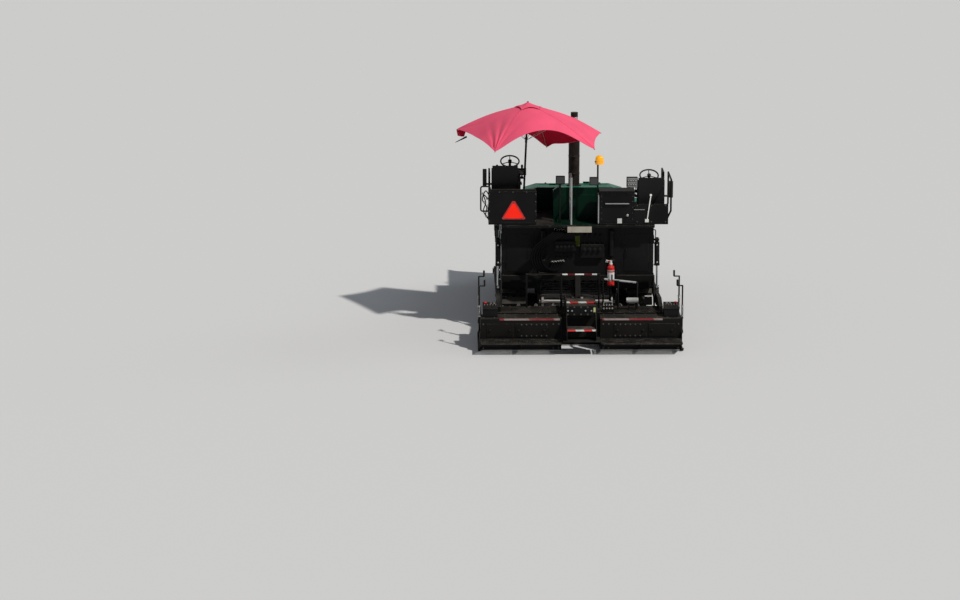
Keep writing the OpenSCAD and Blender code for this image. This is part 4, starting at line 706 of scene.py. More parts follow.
def settle(obj: bpy.types.Object, home: Home) -> bpy.types.Object:
    """Makes a finished object ride on its body.

    Args:
        obj: The object, with its place in its mesh.
        home: Body, slot and replaced nodes.

    Returns:
        The same object.
    """
    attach(obj, home.body)
    if home.replaces:
        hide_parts(*home.replaces)
    log.info("%s rides on %s", obj.name, home.body)
    return obj


def as_object(name: str, mesh: bpy.types.Mesh, finish: Finish | None) -> bpy.types.Object:
    """Links a mesh as an object with a finish."""
    obj = bpy.data.objects.new(name, mesh)
    bpy.context.scene.collection.objects.link(obj)
    if finish is not None:
        mesh.materials.clear()
        mesh.materials.append(finish.material())
    return obj


def make(name: str, shape: Shape, finish: Finish, home: Home, bevel: float = 0.0,
         smooth: bool = False) -> bpy.types.Object:
    """Turns a shape into a finished piece.

    Args:
        name: Name of the piece.
        shape: The shape, from the datum.
        finish: Its finish.
        home: Its body and slot.
        bevel: Width of the bevel on its edges.
        smooth: Shades round faces smooth, split at sharp edges.

    Returns:
        The new object.
    """
    mesh = bpy.data.meshes.new(name)
    bmesh.ops.translate(shape.bm, vec=DATUM, verts=shape.bm.verts)
    shape.bm.to_mesh(mesh)
    shape.bm.free()
    obj = as_object(name, mesh, finish)
    if smooth:
        mesh.shade_smooth()
        mesh.set_sharp_from_angle(angle=math.radians(35))
    if bevel:
        cut = obj.modifiers.new("eased_edges", "BEVEL")
        cut.width, cut.segments, cut.limit_method, cut.angle_limit = bevel, 2, "ANGLE", math.radians(40)
        cut.harden_normals = smooth
    return settle(obj, home)


class Recipe:
    """A Geometry Nodes tree with named inputs, built once and run on an object."""

    def __init__(self, name: str, inputs: Mapping[str, tuple[str, object]],
                 fill: Callable[[Graph, bpy.types.Node], bpy.types.NodeSocket]) -> None:
        """Builds the tree.

        Args:
            name: Name of the tree.
            inputs: Socket type and default of each named input.
            fill: Adds the nodes and returns the geometry before it is realized.
        """
        self.tree = bpy.data.node_groups.new(name, "GeometryNodeTree")
        face = self.tree.interface
        face.new_socket("Geometry", in_out="INPUT", socket_type="NodeSocketGeometry")
        for key, (kind, value) in inputs.items():
            made = face.new_socket(key, in_out="INPUT", socket_type=kind)
            if value is not None:
                made.default_value = value
        face.new_socket("Material", in_out="INPUT", socket_type="NodeSocketMaterial")
        face.new_socket("Geometry", in_out="OUTPUT", socket_type="NodeSocketGeometry")
        g = Graph(self.tree)
        start = g.node("NodeGroupInput")
        real = g.node("GeometryNodeRealizeInstances", {}, {0: fill(g, start)})
        last = g.node("GeometryNodeSetMaterial", {},
                      {0: real.outputs[0], "Material": start.outputs["Material"]})
        g.node("NodeGroupOutput", {}, {0: last.outputs[0]})
        self.keys = {item.name: item.identifier for item in face.items_tree if item.in_out == "INPUT"}

    def run(self, name: str, seed_mesh: bpy.types.Mesh, finish: Finish, home: Home,
            **values: object) -> bpy.types.Object:
        """Runs the tree on a mesh and keeps the result as a plain mesh.

        Args:
            name: Name of the piece.
            seed_mesh: The mesh that the tree starts from.
            finish: Finish of the result.
            home: Its body and slot.
            values: Values of the named inputs, with underscores for spaces.

        Returns:
            The new object.
        """
        holder = bpy.data.objects.new(name + "_seed", seed_mesh)
        bpy.context.scene.collection.objects.link(holder)
        live = holder.modifiers.new("recipe", "NODES")
        live.node_group = self.tree
        live[self.keys["Material"]] = finish.material()
        for key, value in values.items():
            live[self.keys[key.replace("_", " ").title()]] = value
        graph = bpy.context.evaluated_depsgraph_get()
        mesh = bpy.data.meshes.new_from_object(holder.evaluated_get(graph), depsgraph=graph)
        mesh.name = name
        bpy.data.objects.remove(holder)
        mesh.transform(Matrix.Translation(DATUM))
        if not mesh.materials:
            mesh.materials.append(finish.material())
        return settle(as_object(name, mesh, None), home)


def points_mesh(points: Sequence[Point], aims: Sequence[Point] | None = None,
                edges: Sequence[tuple[int, int]] = ()) -> bpy.types.Mesh:
    """A mesh of loose points, each with the direction it aims in.

    Args:
        points: The places.
        aims: Directions, or None for upwards.
        edges: Edges between the points.

    Returns:
        The mesh, with an attribute named aim.
    """
    mesh = bpy.data.meshes.new("seed")
    mesh.from_pydata([tuple(p) for p in points], list(edges), [])
    aim = mesh.attributes.new("aim", "FLOAT_VECTOR", "POINT")
    flat = [c for a in (aims or [(0, 0, 1)] * len(points)) for c in a]
    aim.data.foreach_set("vector", flat)
    return mesh


def chain_mesh(points: Sequence[Point], closed: bool = False) -> bpy.types.Mesh:
    """A polyline as a mesh."""
    n = len(points)
    edges = [(i, (i + 1) % n) for i in range(n if closed else n - 1)]
    return points_mesh(points, None, edges)


def _bolt_nodes(g: Graph, start: bpy.types.Node) -> bpy.types.NodeSocket:
    """Nodes that put a washer and a six-sided head on each point."""
    put = start.outputs
    head = g.node("GeometryNodeMeshCylinder", {}, {"Vertices": put["Sides"], "Radius": put["Radius"],
                                                   "Depth": put["Height"]})
    lift = g.node("ShaderNodeCombineXYZ", {}, {"Z": g.calc("MULTIPLY", put["Height"], 0.62)})
    head_up = g.node("GeometryNodeTransform", {}, {0: head.outputs[0], "Translation": lift.outputs[0]})
    disc = g.node("GeometryNodeMeshCylinder", {},
                  {"Vertices": 14, "Radius": g.calc("MULTIPLY", put["Radius"], 1.4),
                   "Depth": g.calc("MULTIPLY", put["Height"], 0.3)})
    both = g.node("GeometryNodeJoinGeometry")
    g.tree.links.new(disc.outputs[0], both.inputs[0])
    g.tree.links.new(head_up.outputs[0], both.inputs[0])
    aim = g.node("GeometryNodeInputNamedAttribute", {"data_type": "FLOAT_VECTOR"}, {"Name": "aim"})
    turn = g.node("FunctionNodeAlignRotationToVector", {"axis": "Z"}, {"Vector": aim.outputs[0]})
    made = g.node("GeometryNodeInstanceOnPoints", {}, {"Points": put["Geometry"], "Instance": both.outputs[0],
                                                       "Rotation": turn.outputs[0]})
    return made.outputs[0]


def _slat_nodes(g: Graph, start: bpy.types.Node) -> bpy.types.NodeSocket:
    """Nodes that repeat a bar along a line."""
    put = start.outputs
    line = g.node("GeometryNodeMeshLine", {}, {"Count": put["Count"], "Start Location": put["First"],
                                               "Offset": put["Step"]})
    bar = g.node("GeometryNodeMeshCube", {}, {"Size": put["Size"]})
    made = g.node("GeometryNodeInstanceOnPoints", {}, {"Points": line.outputs[0], "Instance": bar.outputs[0],
                                                       "Rotation": put["Turn"]})
    return made.outputs[0]


def _tube_nodes(g: Graph, start: bpy.types.Node) -> bpy.types.NodeSocket:
    """Nodes that run a round tube along a polyline with rounded bends."""
    put = start.outputs
    line = g.node("GeometryNodeMeshToCurve", {}, {0: put["Geometry"]})
    bent = g.node("GeometryNodeFilletCurve", {}, {0: line.outputs[0], "Radius": put["Bend"]})
    for item in bent.inputs:
        if item.name == "Count":
            item.default_value = 7
        if item.name == "Limit Radius":
            item.default_value = True
        if item.name == "Mode":
            item.default_value = "Poly"
    if hasattr(bent, "mode"):
        bent.mode = "POLY"
    ring = g.node("GeometryNodeCurvePrimitiveCircle", {}, {"Resolution": put["Sides"],
                                                           "Radius": put["Radius"]})
    tube = g.node("GeometryNodeCurveToMesh", {}, {0: bent.outputs[0], 1: ring.outputs[0], "Fill Caps": True})
    soft = g.node("GeometryNodeSetShadeSmooth", {}, {0: tube.outputs[0], "Shade Smooth": True})
    return soft.outputs[0]


def _flight_nodes(g: Graph, start: bpy.types.Node) -> bpy.types.NodeSocket:
    """Nodes that wind a flat strip round the X axis into an auger flight of some thickness."""
    put = start.outputs
    strip = g.node("GeometryNodeMeshGrid", {}, {"Size X": 1.0, "Size Y": 1.0, "Vertices X": put["Steps"],
                                                "Vertices Y": 5})
    spot = g.node("ShaderNodeSeparateXYZ", {}, {0: g.node("GeometryNodeInputPosition").outputs[0]}).outputs
    along = g.calc("ADD", spot[0], 0.5)
    share = g.calc("ADD", spot[1], 0.5)
    turn = g.calc("MULTIPLY", g.calc("MULTIPLY", along, put["Turns"]), math.tau)
    reach = g.calc("ADD", put["Inner"],
                   g.calc("MULTIPLY", share, g.calc("SUBTRACT", put["Outer"], put["Inner"])))
    where = g.node("ShaderNodeCombineXYZ", {}, {
        "X": g.calc("MULTIPLY", along, put["Length"]), "Y": g.calc("MULTIPLY", reach, g.calc("COSINE", turn)),
        "Z": g.calc("MULTIPLY", reach, g.calc("SINE", turn))})
    wound = g.node("GeometryNodeSetPosition", {}, {0: strip.outputs[0], "Position": where.outputs[0]})
    back = g.node("GeometryNodeFlipFaces", {}, {0: wound.outputs[0]})
    shift = g.node("ShaderNodeCombineXYZ", {}, {"X": put["Thickness"]})
    thick = g.node("GeometryNodeExtrudeMesh", {"mode": "FACES"},
                   {0: wound.outputs[0], "Offset": shift.outputs[0], "Offset Scale": 1.0,
                    "Individual": False})
    both = g.node("GeometryNodeJoinGeometry")
    g.tree.links.new(back.outputs[0], both.inputs[0])
    g.tree.links.new(thick.outputs[0], both.inputs[0])
    whole = g.node("GeometryNodeMergeByDistance", {}, {0: both.outputs[0], "Distance": 0.0001})
    moved = g.node("GeometryNodeTransform", {}, {0: whole.outputs[0], "Translation": put["First"]})
    return moved.outputs[0]


class Recipes:
    """The Geometry Nodes trees of this machine, each built once."""

    def __init__(self) -> None:
        """Builds the trees."""
        size, vec, whole = "NodeSocketFloat", "NodeSocketVector", "NodeSocketInt"
        self.bolts = Recipe("bolt_heads", {"Radius": (size, 0.012), "Height": (size, 0.01),
                                           "Sides": (whole, 6)}, _bolt_nodes)
        self.slats = Recipe("slats", {"Count": (whole, 10), "First": (vec, (0, 0, 0)),
                                      "Step": (vec, (0, 0, 0.05)), "Size": (vec, (0.1, 0.01, 0.01)),
                                      "Turn": ("NodeSocketRotation", None)}, _slat_nodes)
        self.tubes = Recipe("bent_tubes", {"Radius": (size, 0.01), "Bend": (size, 0.05),
                                           "Sides": (whole, 14)}, _tube_nodes)
        self.flights = Recipe("auger_flight", {
            "Steps": (whole, 200), "Turns": (size, 4.0), "Inner": (size, 0.045), "Outer": (size, 0.2),
            "Length": (size, 1.3), "Thickness": (size, 0.014), "First": (vec, (0, 0, 0))}, _flight_nodes)

    def bolt(self, name: str, points: Sequence[Point], aims: Sequence[Point] | Point, home: Home,
             radius: float = 0.011, height: float = 0.009, finish: Finish = Shop.FASTENER,
             sides: int = 6) -> None:
        """Puts fasteners on points.

        Args:
            name: Name of the piece.
            points: Their places.
            aims: One direction for all, or one each.
            home: Body and slot.
            radius: Radius across the corners of a head.
            height: Height of a head.
            finish: Their finish.
            sides: Sides of a head.
        """
        if not isinstance(aims[0], (tuple, list, Vector)):
            aims = [aims] * len(points)
        self.bolts.run(name, points_mesh(points, [tuple(a) for a in aims]), finish, home, radius=radius,
                       height=height, sides=sides)

    def bars(self, name: str, count: int, first: Point, step: Point, size: Point, finish: Finish, home: Home,
             tilt: float = 0.0) -> None:
        """Repeats a bar along a line.

        Args:
            name: Name of the piece.
            count: Number of bars.
            first: Middle of the first bar.
            step: From one bar to the next.
            size: Size of a bar.
            finish: Their finish.
            home: Body and slot.
            tilt: Turn of a bar about X, in degrees.
        """
        self.slats.run(name, points_mesh([(0, 0, 0)]), finish, home, count=count, first=first, step=step,
                       size=size, turn=(math.radians(tilt), 0.0, 0.0))

    def tube(self, name: str, points: Sequence[Point], radius: float, bend: float, finish: Finish, home: Home,
             sides: int = 14) -> bpy.types.Object:
        """Runs a tube with rounded bends through the points and returns it."""
        return self.tubes.run(name, chain_mesh(points), finish, home, radius=radius, bend=bend, sides=sides)


@dataclass
class Assembly:
    """Base of the sub-assemblies: each builds and dresses its own pieces."""

    recipes: Recipes

    def build(self) -> None:
        """Makes the sub-assembly's pieces."""
        raise NotImplementedError


@dataclass
class Studio:
    """Pale floor, soft lights, and the camera where the photographer stood."""

    camera_place: Point = (-2.37, -52.2, 12.9)
    pitch: float = 12.8
    yaw: float = 0.6
    lens: float = 112.5
    floor_half: float = 400.0
    floor_colour: Rgb = (0.62, 0.62, 0.62)

    def build(self) -> None:
        """Sets up camera, floor, world and lamps."""
        scene = bpy.context.scene
        scene.view_settings.view_transform = "Standard"
        eye = bpy.data.objects.new("camera", bpy.data.cameras.new("camera"))
        eye.data.lens, eye.data.sensor_width, eye.data.clip_end = self.lens, 36.0, 2000.0
        eye.location = Vector(self.camera_place) + DATUM
        eye.rotation_euler = (math.radians(90 - self.pitch), 0, math.radians(-self.yaw))
        scene.collection.objects.link(eye)
        scene.camera = eye
        self._floor(scene)
        self._world(scene)
        self._lamp("sun_lamp", (41, 0, 46), 3.0, 2.0, (1.0, 0.97, 0.92))
        self._lamp("fill_lamp", (58, 0, 115), 0.3, 30.0, (0.9, 0.95, 1.0))

    def _floor(self, scene: bpy.types.Scene) -> None:
        """Lays the floor."""
        mesh = bpy.data.meshes.new("floor")
        r = self.floor_half
        mesh.from_pydata([(-r, -r, 0), (r, -r, 0), (r, r, 0), (-r, r, 0)], [], [(0, 1, 2, 3)])
        floor = bpy.data.objects.new("floor", mesh)
        scene.collection.objects.link(floor)
        mat = bpy.data.materials.new("pale_floor")
        mat.use_nodes = True
        shader = mat.node_tree.nodes["Principled BSDF"]
        shader.inputs["Base Color"].default_value = rgba(self.floor_colour)
        shader.inputs["Roughness"].default_value = 0.9
        shader.inputs["Specular IOR Level"].default_value = 0.1
        mesh.materials.append(mat)

    def _world(self, scene: bpy.types.Scene) -> None:
        """Lights the scene evenly, with a white sky for the camera and a dimmer one in reflections."""
        world = bpy.data.worlds.new("studio_sky")
        scene.world = world
        world.use_nodes = True
        world.node_tree.nodes.clear()
        g = Graph(world.node_tree)
        look = g.node("ShaderNodeLightPath").outputs
        seen = g.calc("MAXIMUM", look["Is Camera Ray"], look["Is Transmission Ray"])
        even = g.node("ShaderNodeBackground", {}, {"Color": (0.86, 0.92, 1.0, 1.0), "Strength": 0.26})
        mirror = g.node("ShaderNodeBackground", {}, {"Color": (0.92, 0.96, 1.0, 1.0), "Strength": 0.2})
        white = g.node("ShaderNodeBackground", {}, {"Color": (1, 1, 1, 1), "Strength": 0.85})
        lit = g.node("ShaderNodeMixShader", {}, {0: look["Is Glossy Ray"], 1: even.outputs[0],
                                                 2: mirror.outputs[0]})
        mixed = g.node("ShaderNodeMixShader", {}, {0: seen, 1: lit.outputs[0], 2: white.outputs[0]})
        g.node("ShaderNodeOutputWorld", {}, {0: mixed.outputs[0]})

    @staticmethod
    def _lamp(name: str, turn: Point, strength: float, spread: float, colour: Rgb) -> None:
        """Adds a wide sun lamp turned by degrees."""
        lamp = bpy.data.objects.new(name, bpy.data.lights.new(name, "SUN"))
        lamp.data.energy, lamp.data.angle, lamp.data.color = strength, math.radians(spread), colour
        lamp.rotation_euler = [math.radians(a) for a in turn]
        bpy.context.scene.collection.objects.link(lamp)


# Columns: across, forward, drop of the tip, lift of the hem up to the next tip
UMBRELLA_TIPS = ((-1.3, 0.45, -0.575, 0.02), (-0.62, -1.05, -0.73, 0.35), (1.19, -0.85, -0.72, -0.01),
                 (1.37, 0.55, -0.66, -0.13), (0.385, 1.0, -0.93, 0.0), (-0.5, 1.25, -0.62, -0.06))
# Columns: tip, turn in plan from the line to the pole in degrees, depth, half width in degrees
TIP_FOLDS = ((1, 36.0, 0.055, 3.4), (1, 20.0, 0.034, 3.4), (1, 3.0, 0.036, 3.6), (1, -17.0, 0.013, 5.0),
             (1, 47.0, 0.01, 3.0), (1, 28.0, -0.01, 3.0), (1, 11.0, -0.009, 3.0), (0, -22.0, 0.018, 5.0),
             (0, 6.0, 0.01, 6.0), (2, 24.0, 0.012, 5.0), (2, 8.0, 0.01, 4.0), (2, -12.0, 0.009, 4.0),
             (3, 12.0, 0.01, 5.0), (3, -16.0, 0.011, 5.0), (4, 24.0, 0.014, 6.0), (4, 4.0, 0.012, 5.0),
             (4, -18.0, 0.014, 6.0), (5, 10.0, 0.011, 6.0))


@dataclass
class Umbrella(Assembly):
    """Wind-blown umbrella over the left station: cloth, vent, ribs, stretchers and pole gear."""

    top: Point = (-0.92, 2.3, 4.25)
    foot: Point = (-1.01, 2.3, 2.0623)
    per_panel: int = 72
    rings: int = 40
    drop_power: float = 1.65
    crown: float = 0.09
    scallop: float = 0.035
    vent_reach: float = 0.19
    vent_drop: float = 0.012
    vent_lift: float = 0.014
    vent_star: float = 0.1
    rib_radius: float = 0.0045
    home: Home = Home("station_left", "canopy_cloth")

    def spot(self, u: float, t: float, rise: float = 0.0) -> Vector:
        """The cloth's point at rib number u and share t of the way to the hem."""
        k = int(u) % len(UMBRELLA_TIPS)
        f = u - int(u)
        a, b = UMBRELLA_TIPS[k], UMBRELLA_TIPS[(k + 1) % len(UMBRELLA_TIPS)]
        arch = 4 * f * (1 - f)
        hem = [a[i] + (b[i] - a[i]) * f for i in range(3)]
        away = (u - 4 + 3) % 6 - 3
        hem[2] += a[3] * arch ** 1.3 - 0.07 * math.exp(-(away / (0.22 if away > 0 else 0.09)) ** 2)
        t = t * (1 - self.scallop * arch)
        z = (hem[2] + self.crown) * t ** self.drop_power - self.crown * (1 - math.exp(-t / 0.1))
        place = Vector((hem[0] * t, hem[1] * t))
        z += self.folds(place)
        z += 0.01 * noise.noise(Vector((place.x * 2.3, place.y * 2.3, 0.7))) * t
        return Vector(self.top) + Vector((*place, z + rise))

    @staticmethod
    def folds(place: Vector) -> float:
        """The height of the folds that gather at the tips, at a place in plan from the pole's top."""
        height = 0.0
        for tip, turn, depth, width in TIP_FOLDS:
            corner = Vector(UMBRELLA_TIPS[tip][:2])
            line = place - corner
            if line.length > 1e-4:
                off = (math.degrees(math.atan2((-corner).cross(line), (-corner).dot(line))) - turn) / width
                height -= depth * min(1.0, line.length / 0.16) * math.exp(-(line.length / 0.62) ** 2
                                                                          - off * off)
        return height

    @staticmethod
    def crowd(f: float) -> float:
        """Draws the mesh lines of a panel together towards its ribs."""
        return f - 0.1 * math.sin(math.tau * f)

    def sheet(self, name: str, reach: float, rings: int, lift: Callable[[float, float], float],
              star: float = 0.0) -> Shape:
        """Builds one round sheet of cloth out to a reach.

        Args:
            name: Name for the log.
            reach: Share of the way to the hem.
            rings: Rings of faces.
            lift: Height above the canopy's rule, by share of the reach and arch between the ribs.
            star: How far the rim draws in between the ribs.

        Returns:
            The sheet.
        """
        shape = Shape()
        n = len(UMBRELLA_TIPS) * self.per_panel
        apex = shape.bm.verts.new(self.spot(0, 0.0, lift(0, 0)))
        steps = [j // self.per_panel + self.crowd(j % self.per_panel / self.per_panel) for j in range(n)]
        arches = [4 * (u % 1) * (1 - u % 1) for u in steps]
        rows = [[shape.bm.verts.new(self.spot(u, reach * (1 - star * arch) * i / rings,
                                              lift(i / rings, arch))) for u, arch in zip(steps, arches)]
                for i in range(1, rings + 1)]
        for j in range(n):
            k = (j + 1) % n
            shape.bm.faces.new((apex, rows[0][j], rows[0][k]))
            for a, b in zip(rows, rows[1:]):
                shape.bm.faces.new((a[j], b[j], b[k], a[k]))
        uv = shape.bm.loops.layers.uv.new("cloth")
        for face in shape.bm.faces:
            face.smooth = True
            for loop in face.loops:
                loop[uv].uv = (loop.vert.co.x - self.top[0], loop.vert.co.y - self.top[1])
        log.info("%s has %d points", name, len(shape.bm.verts))
        return shape

    def build(self) -> None:
        """Makes the cloth and what holds it."""
        main = self.sheet("umbrella_cloth", 1.0, self.rings, lambda s, arch: -self.vent_drop)
        area = sum(f.calc_area() for f in main.bm.faces)
        cloth = make("umbrella_cloth", main, Shop.CLOTH, Home("station_left", "canopy_cloth",
                                                              ("umbrella_canopy",)))
        vent = make("umbrella_vent", self.sheet("umbrella_vent", self.vent_reach, 8,
                                                lambda s, arch: self.vent_lift * arch * s * s,
                                                self.vent_star), Shop.CLOTH, self.home)
        n = len(UMBRELLA_TIPS)
        low = -self.vent_drop
        hem = Shape().sweep([self.spot(i / 36, 0.999, low - 0.002) for i in range(36 * n)], 0.0045, 8,
                            closed=True)
        rim = [(i / 12, 4 * (i / 12 % 1) * (1 - i / 12 % 1)) for i in range(12 * n)]
        hem.sweep([self.spot(u, (self.vent_reach - 0.002) * (1 - self.vent_star * arch),
                             self.vent_lift * arch) for u, arch in rim], 0.003, 6, closed=True)
        hem.sweep([self.corner(0, 0), self.corner(0.5, 1), self.corner(1, 1), self.corner(1, 0)], 0.004, 6)
        hem = make("umbrella_hem", hem, Shop.CLOTH, self.home, smooth=True)
        seams = Shape()
        for k in range(len(UMBRELLA_TIPS)):
            seams.sweep([self.spot(k, 0.03 + 0.965 * i / 20, low + 0.001) for i in range(21)], 0.003, 6)
        seams = make("umbrella_seams", seams, Shop.CLOTH, self.home, smooth=True)
        flap = Shape()
        flap.grid([[self.corner(i / 8, j / 8) for j in range(9)] for i in range(9)], closed=False, caps=False)
        # The folded corner shows the cloth's darker back colour on both faces: painted shade.
        flap = make("umbrella_folded_corner", flap, Shop.CLOTH_SHADED, self.home, smooth=True)
        for piece in (hem, seams, flap):
            layer = piece.data.uv_layers.new(name="cloth")
            layer.data.foreach_set("uv", [0.0] * (2 * len(layer.data)))
        self._frame()

    def corner(self, a: float, b: float) -> Vector:
        """A point of the left tip's folded corner, by shares along its top and down its side."""
        y = self.top[1] + UMBRELLA_TIPS[0][1] - 0.02
        ends = ((-2.232, 3.652), (-2.05, 3.672), (-2.09, 3.53), (-2.21, 3.545))
        high = [ends[0][i] + (ends[1][i] - ends[0][i]) * a for i in (0, 1)]
        low = [ends[3][i] + (ends[2][i] - ends[3][i]) * a for i in (0, 1)]
        x, z = (high[i] + (low[i] - high[i]) * b for i in (0, 1))
        return Vector((x, y - 0.03 * math.sin(math.pi * a) * b, z))

    def _frame(self) -> None:
        """Makes the ribs, the stretchers, the runner and the pole's clamps."""
        home = Home("station_left", "black_steel")
        down = (Vector(self.foot) - Vector(self.top)).normalized()
        runner = Vector(self.top) + down * 0.72
        low = -self.vent_drop
        ribs, stays, caps = Shape(), Shape(), Shape()
        for k in range(len(UMBRELLA_TIPS)):
            line = [self.spot(k, 0.02 + 0.97 * i / 14, low - (0.014 if i < 14 else 0.01)) for i in range(15)]
            ribs.sweep(line, self.rib_radius, 8)
            end = line[-1] + (line[-1] - line[-2]).normalized() * 0.028
            caps.lathe(tuple(line[-1]), tuple(end - line[-1]), [(-0.012, 0.006), (0.016, 0.008),
                                                                (0.028, 0.004)], 10)
            stays.sweep([runner, self.spot(k, 0.5, low - 0.016)], 0.004, 8)
        y = self.top[1] + UMBRELLA_TIPS[0][1] - 0.035
        caps.lathe((-2.04, y, 3.53), (-0.215, 0, -0.11), [(0, 0.016), (0.01, 0.018), (0.12, 0.012),
                                                          (0.235, 0.005), (0.241, 0.002)], 12)
        make("umbrella_ribs", ribs, Shop.BRIGHT, home, smooth=True)
        make("umbrella_stretchers", stays, Shop.BRIGHT, home, smooth=True)
        make("umbrella_rib_tips", caps, Shop.PLASTIC, home, smooth=True)
        gear = Shape()
        gear.lathe(tuple(runner - down * 0.05), tuple(down), [(0, 0.021), (0.01, 0.03), (0.03, 0.03),
                                                              (0.035, 0.023), (0.09, 0.023)], 24)
        collar = Vector(self.foot) - down * 0.42
        gear.lathe(tuple(collar), tuple(-down), [(0, 0.0285), (0.004, 0.031), (0.03, 0.031),
                                                 (0.034, 0.0285)], 24)
        knob = collar - down * 0.015 + Vector((0.03, 0, 0))
        gear.rod(tuple(knob), tuple(knob + Vector((0.04, 0, 0))), 0.006, 10)
        gear.lathe(tuple(knob + Vector((0.035, 0, 0))), (1, 0, 0),
                   [(0, 0.012), (0.004, 0.022), (0.016, 0.022), (0.02, 0.015)], 10)
        make("umbrella_runner_and_clamp", gear, Shop.PLASTIC, home, smooth=True)
        knob = Shape().lathe(self.top, (0, 0, 1), [(-0.045, 0.006), (-0.004, 0.006), (-0.003, 0.017),
                                                   (0.002, 0.016), (0.006, 0.008)], 20)
        make("umbrella_finial", knob, Shop.PLASTIC, home, smooth=True)


@dataclass
class Seats(Assembly):
    """The two operators' seats: padded cushion and back in a moulded shell, with armrests."""

    places: tuple[tuple[Side, float, float], ...] = ((Side.LEFT, -1.34, 3.11), (Side.RIGHT, 1.35, 2.88))
    rear_y: float = 2.1
    half: float = 0.25
    voxel: float = 0.012
    swell: float = 0.014

    def build(self) -> None:
        """Pads one seat by simulation and sets a copy at each station."""
        cushion = self._pad("cushion", (0.235, 0.205, 0.052), Vector((0, self.rear_y + 0.3, -0.615)), 0.0)
        back = self._pad("back", (0.225, 0.05, 0.28), Vector((0, self.rear_y + 0.09, -0.305)), -4.0)
        for side, x, top in self.places:
            body = f"station_{side.word}"
            for word, mesh in (("cushion", cushion), ("back", back)):
                copy = mesh.copy()
                copy.transform(Matrix.Translation(DATUM + Vector((x, 0, top))))
                replaced = (f"seat_{side.word}",) if word == "cushion" else ()
                pad = settle(as_object(f"seat_{word}_{side.word}", copy, Shop.VINYL),
                             Home(body, "seat_vinyl", replaced))
            self._shell(side, x, top, Home(body, "black_steel"))

    def _pad(self, word: str, half: Point, middle: Vector, lean: float) -> bpy.types.Mesh:
        """Makes one pad about the seat's top middle.

        Args:
            word: Which pad.
            half: Half sizes of the unswollen pad.
            middle: Its middle from the top middle of the seat.
            lean: Turn about X in degrees.

        Returns:
            The pad's mesh.
        """
        bm = bmesh.new()
        bmesh.ops.create_cube(bm, size=2.0)
        bmesh.ops.scale(bm, vec=half, verts=bm.verts)
        bmesh.ops.bevel(bm, geom=list(bm.edges), offset=min(half) * 0.75, segments=4, affect="EDGES",
                        profile=0.6)
        mesh = bpy.data.meshes.new("pad_" + word)
        bm.to_mesh(mesh)
        bm.free()
        obj = as_object("pad_" + word, mesh, None)
        mesh = self._inflate(obj, half)
        points = np.empty(len(mesh.vertices) * 3)
        mesh.vertices.foreach_get("co", points)
        points = points.reshape(-1, 3)
        self._sew(points, half, word)
        mesh.vertices.foreach_set("co", points.ravel())
        mesh.transform(Matrix.Translation(middle) @ Matrix.Rotation(math.radians(lean), 4, "X"))
        mesh.shade_smooth()
        mesh.update()
        bpy.data.objects.remove(obj)
        return mesh

    def _inflate(self, obj: bpy.types.Object, half: Point) -> bpy.types.Mesh:
        """Remeshes a pad and blows it up a little as cloth, then subdivides it once."""
        net = obj.modifiers.new("net", "REMESH")
        net.mode, net.voxel_size = "VOXEL", self.voxel
        mesh = self._bake(obj)
        scene = bpy.context.scene
        before = np.empty(len(mesh.vertices) * 3)
        mesh.vertices.foreach_get("co", before)
        cloth = obj.modifiers.new("air", "CLOTH")
        cloth.settings.use_pressure, cloth.settings.uniform_pressure_force = True, 4.0
        cloth.settings.effector_weights.gravity = 0.0
        for number in range(1, 16):
            scene.frame_set(number)
        graph = bpy.context.evaluated_depsgraph_get()
        blown = bpy.data.meshes.new_from_object(obj.evaluated_get(graph), depsgraph=graph)
        after = np.empty(len(blown.vertices) * 3)
        blown.vertices.foreach_get("co", after)
        bpy.data.meshes.remove(blown)
        step = (after - before).reshape(-1, 3)
        length = np.linalg.norm(step, axis=1, keepdims=True)
        step *= np.minimum(1.0, self.swell / np.maximum(length, 1e-9))
        mesh.vertices.foreach_set("co", (before.reshape(-1, 3) + step).ravel())
        obj.modifiers.remove(cloth)
        scene.frame_set(1)
        fine = obj.modifiers.new("fine", "SUBSURF")
        fine.levels = fine.render_levels = 1
        return self._bake(obj)

    @staticmethod
    def _bake(obj: bpy.types.Object) -> bpy.types.Mesh:
        """Replaces an object's mesh by its evaluated one and clears its modifiers."""
        graph = bpy.context.evaluated_depsgraph_get()
        obj.data = bpy.data.meshes.new_from_object(obj.evaluated_get(graph), depsgraph=graph)
        obj.modifiers.clear()
        return obj.data

    @staticmethod
    def _sew(points: np.ndarray, half: Point, word: str) -> None:
        """Presses sewn channels into a pad's face and crowns its middle."""
        x, y, z = points.T
        if word == "cushion":
            for line in (-0.105, 0.105):
                z -= np.where(z > 0, 0.009 * np.exp(-((x - line) / 0.008) ** 2), 0)
            z += np.where(z > 0, 0.012 * np.exp(-((y - half[1]) / 0.07) ** 2), 0)
        else:
            for line in (-0.15, -0.03, 0.09):
                y -= np.where(y > 0, 0.008 * np.exp(-((z - line) / 0.008) ** 2), 0)
            bolster = np.clip((np.abs(x) - 0.13) / 0.09, 0, 1)
            y += np.where(y > 0, 0.018 * bolster, 0)

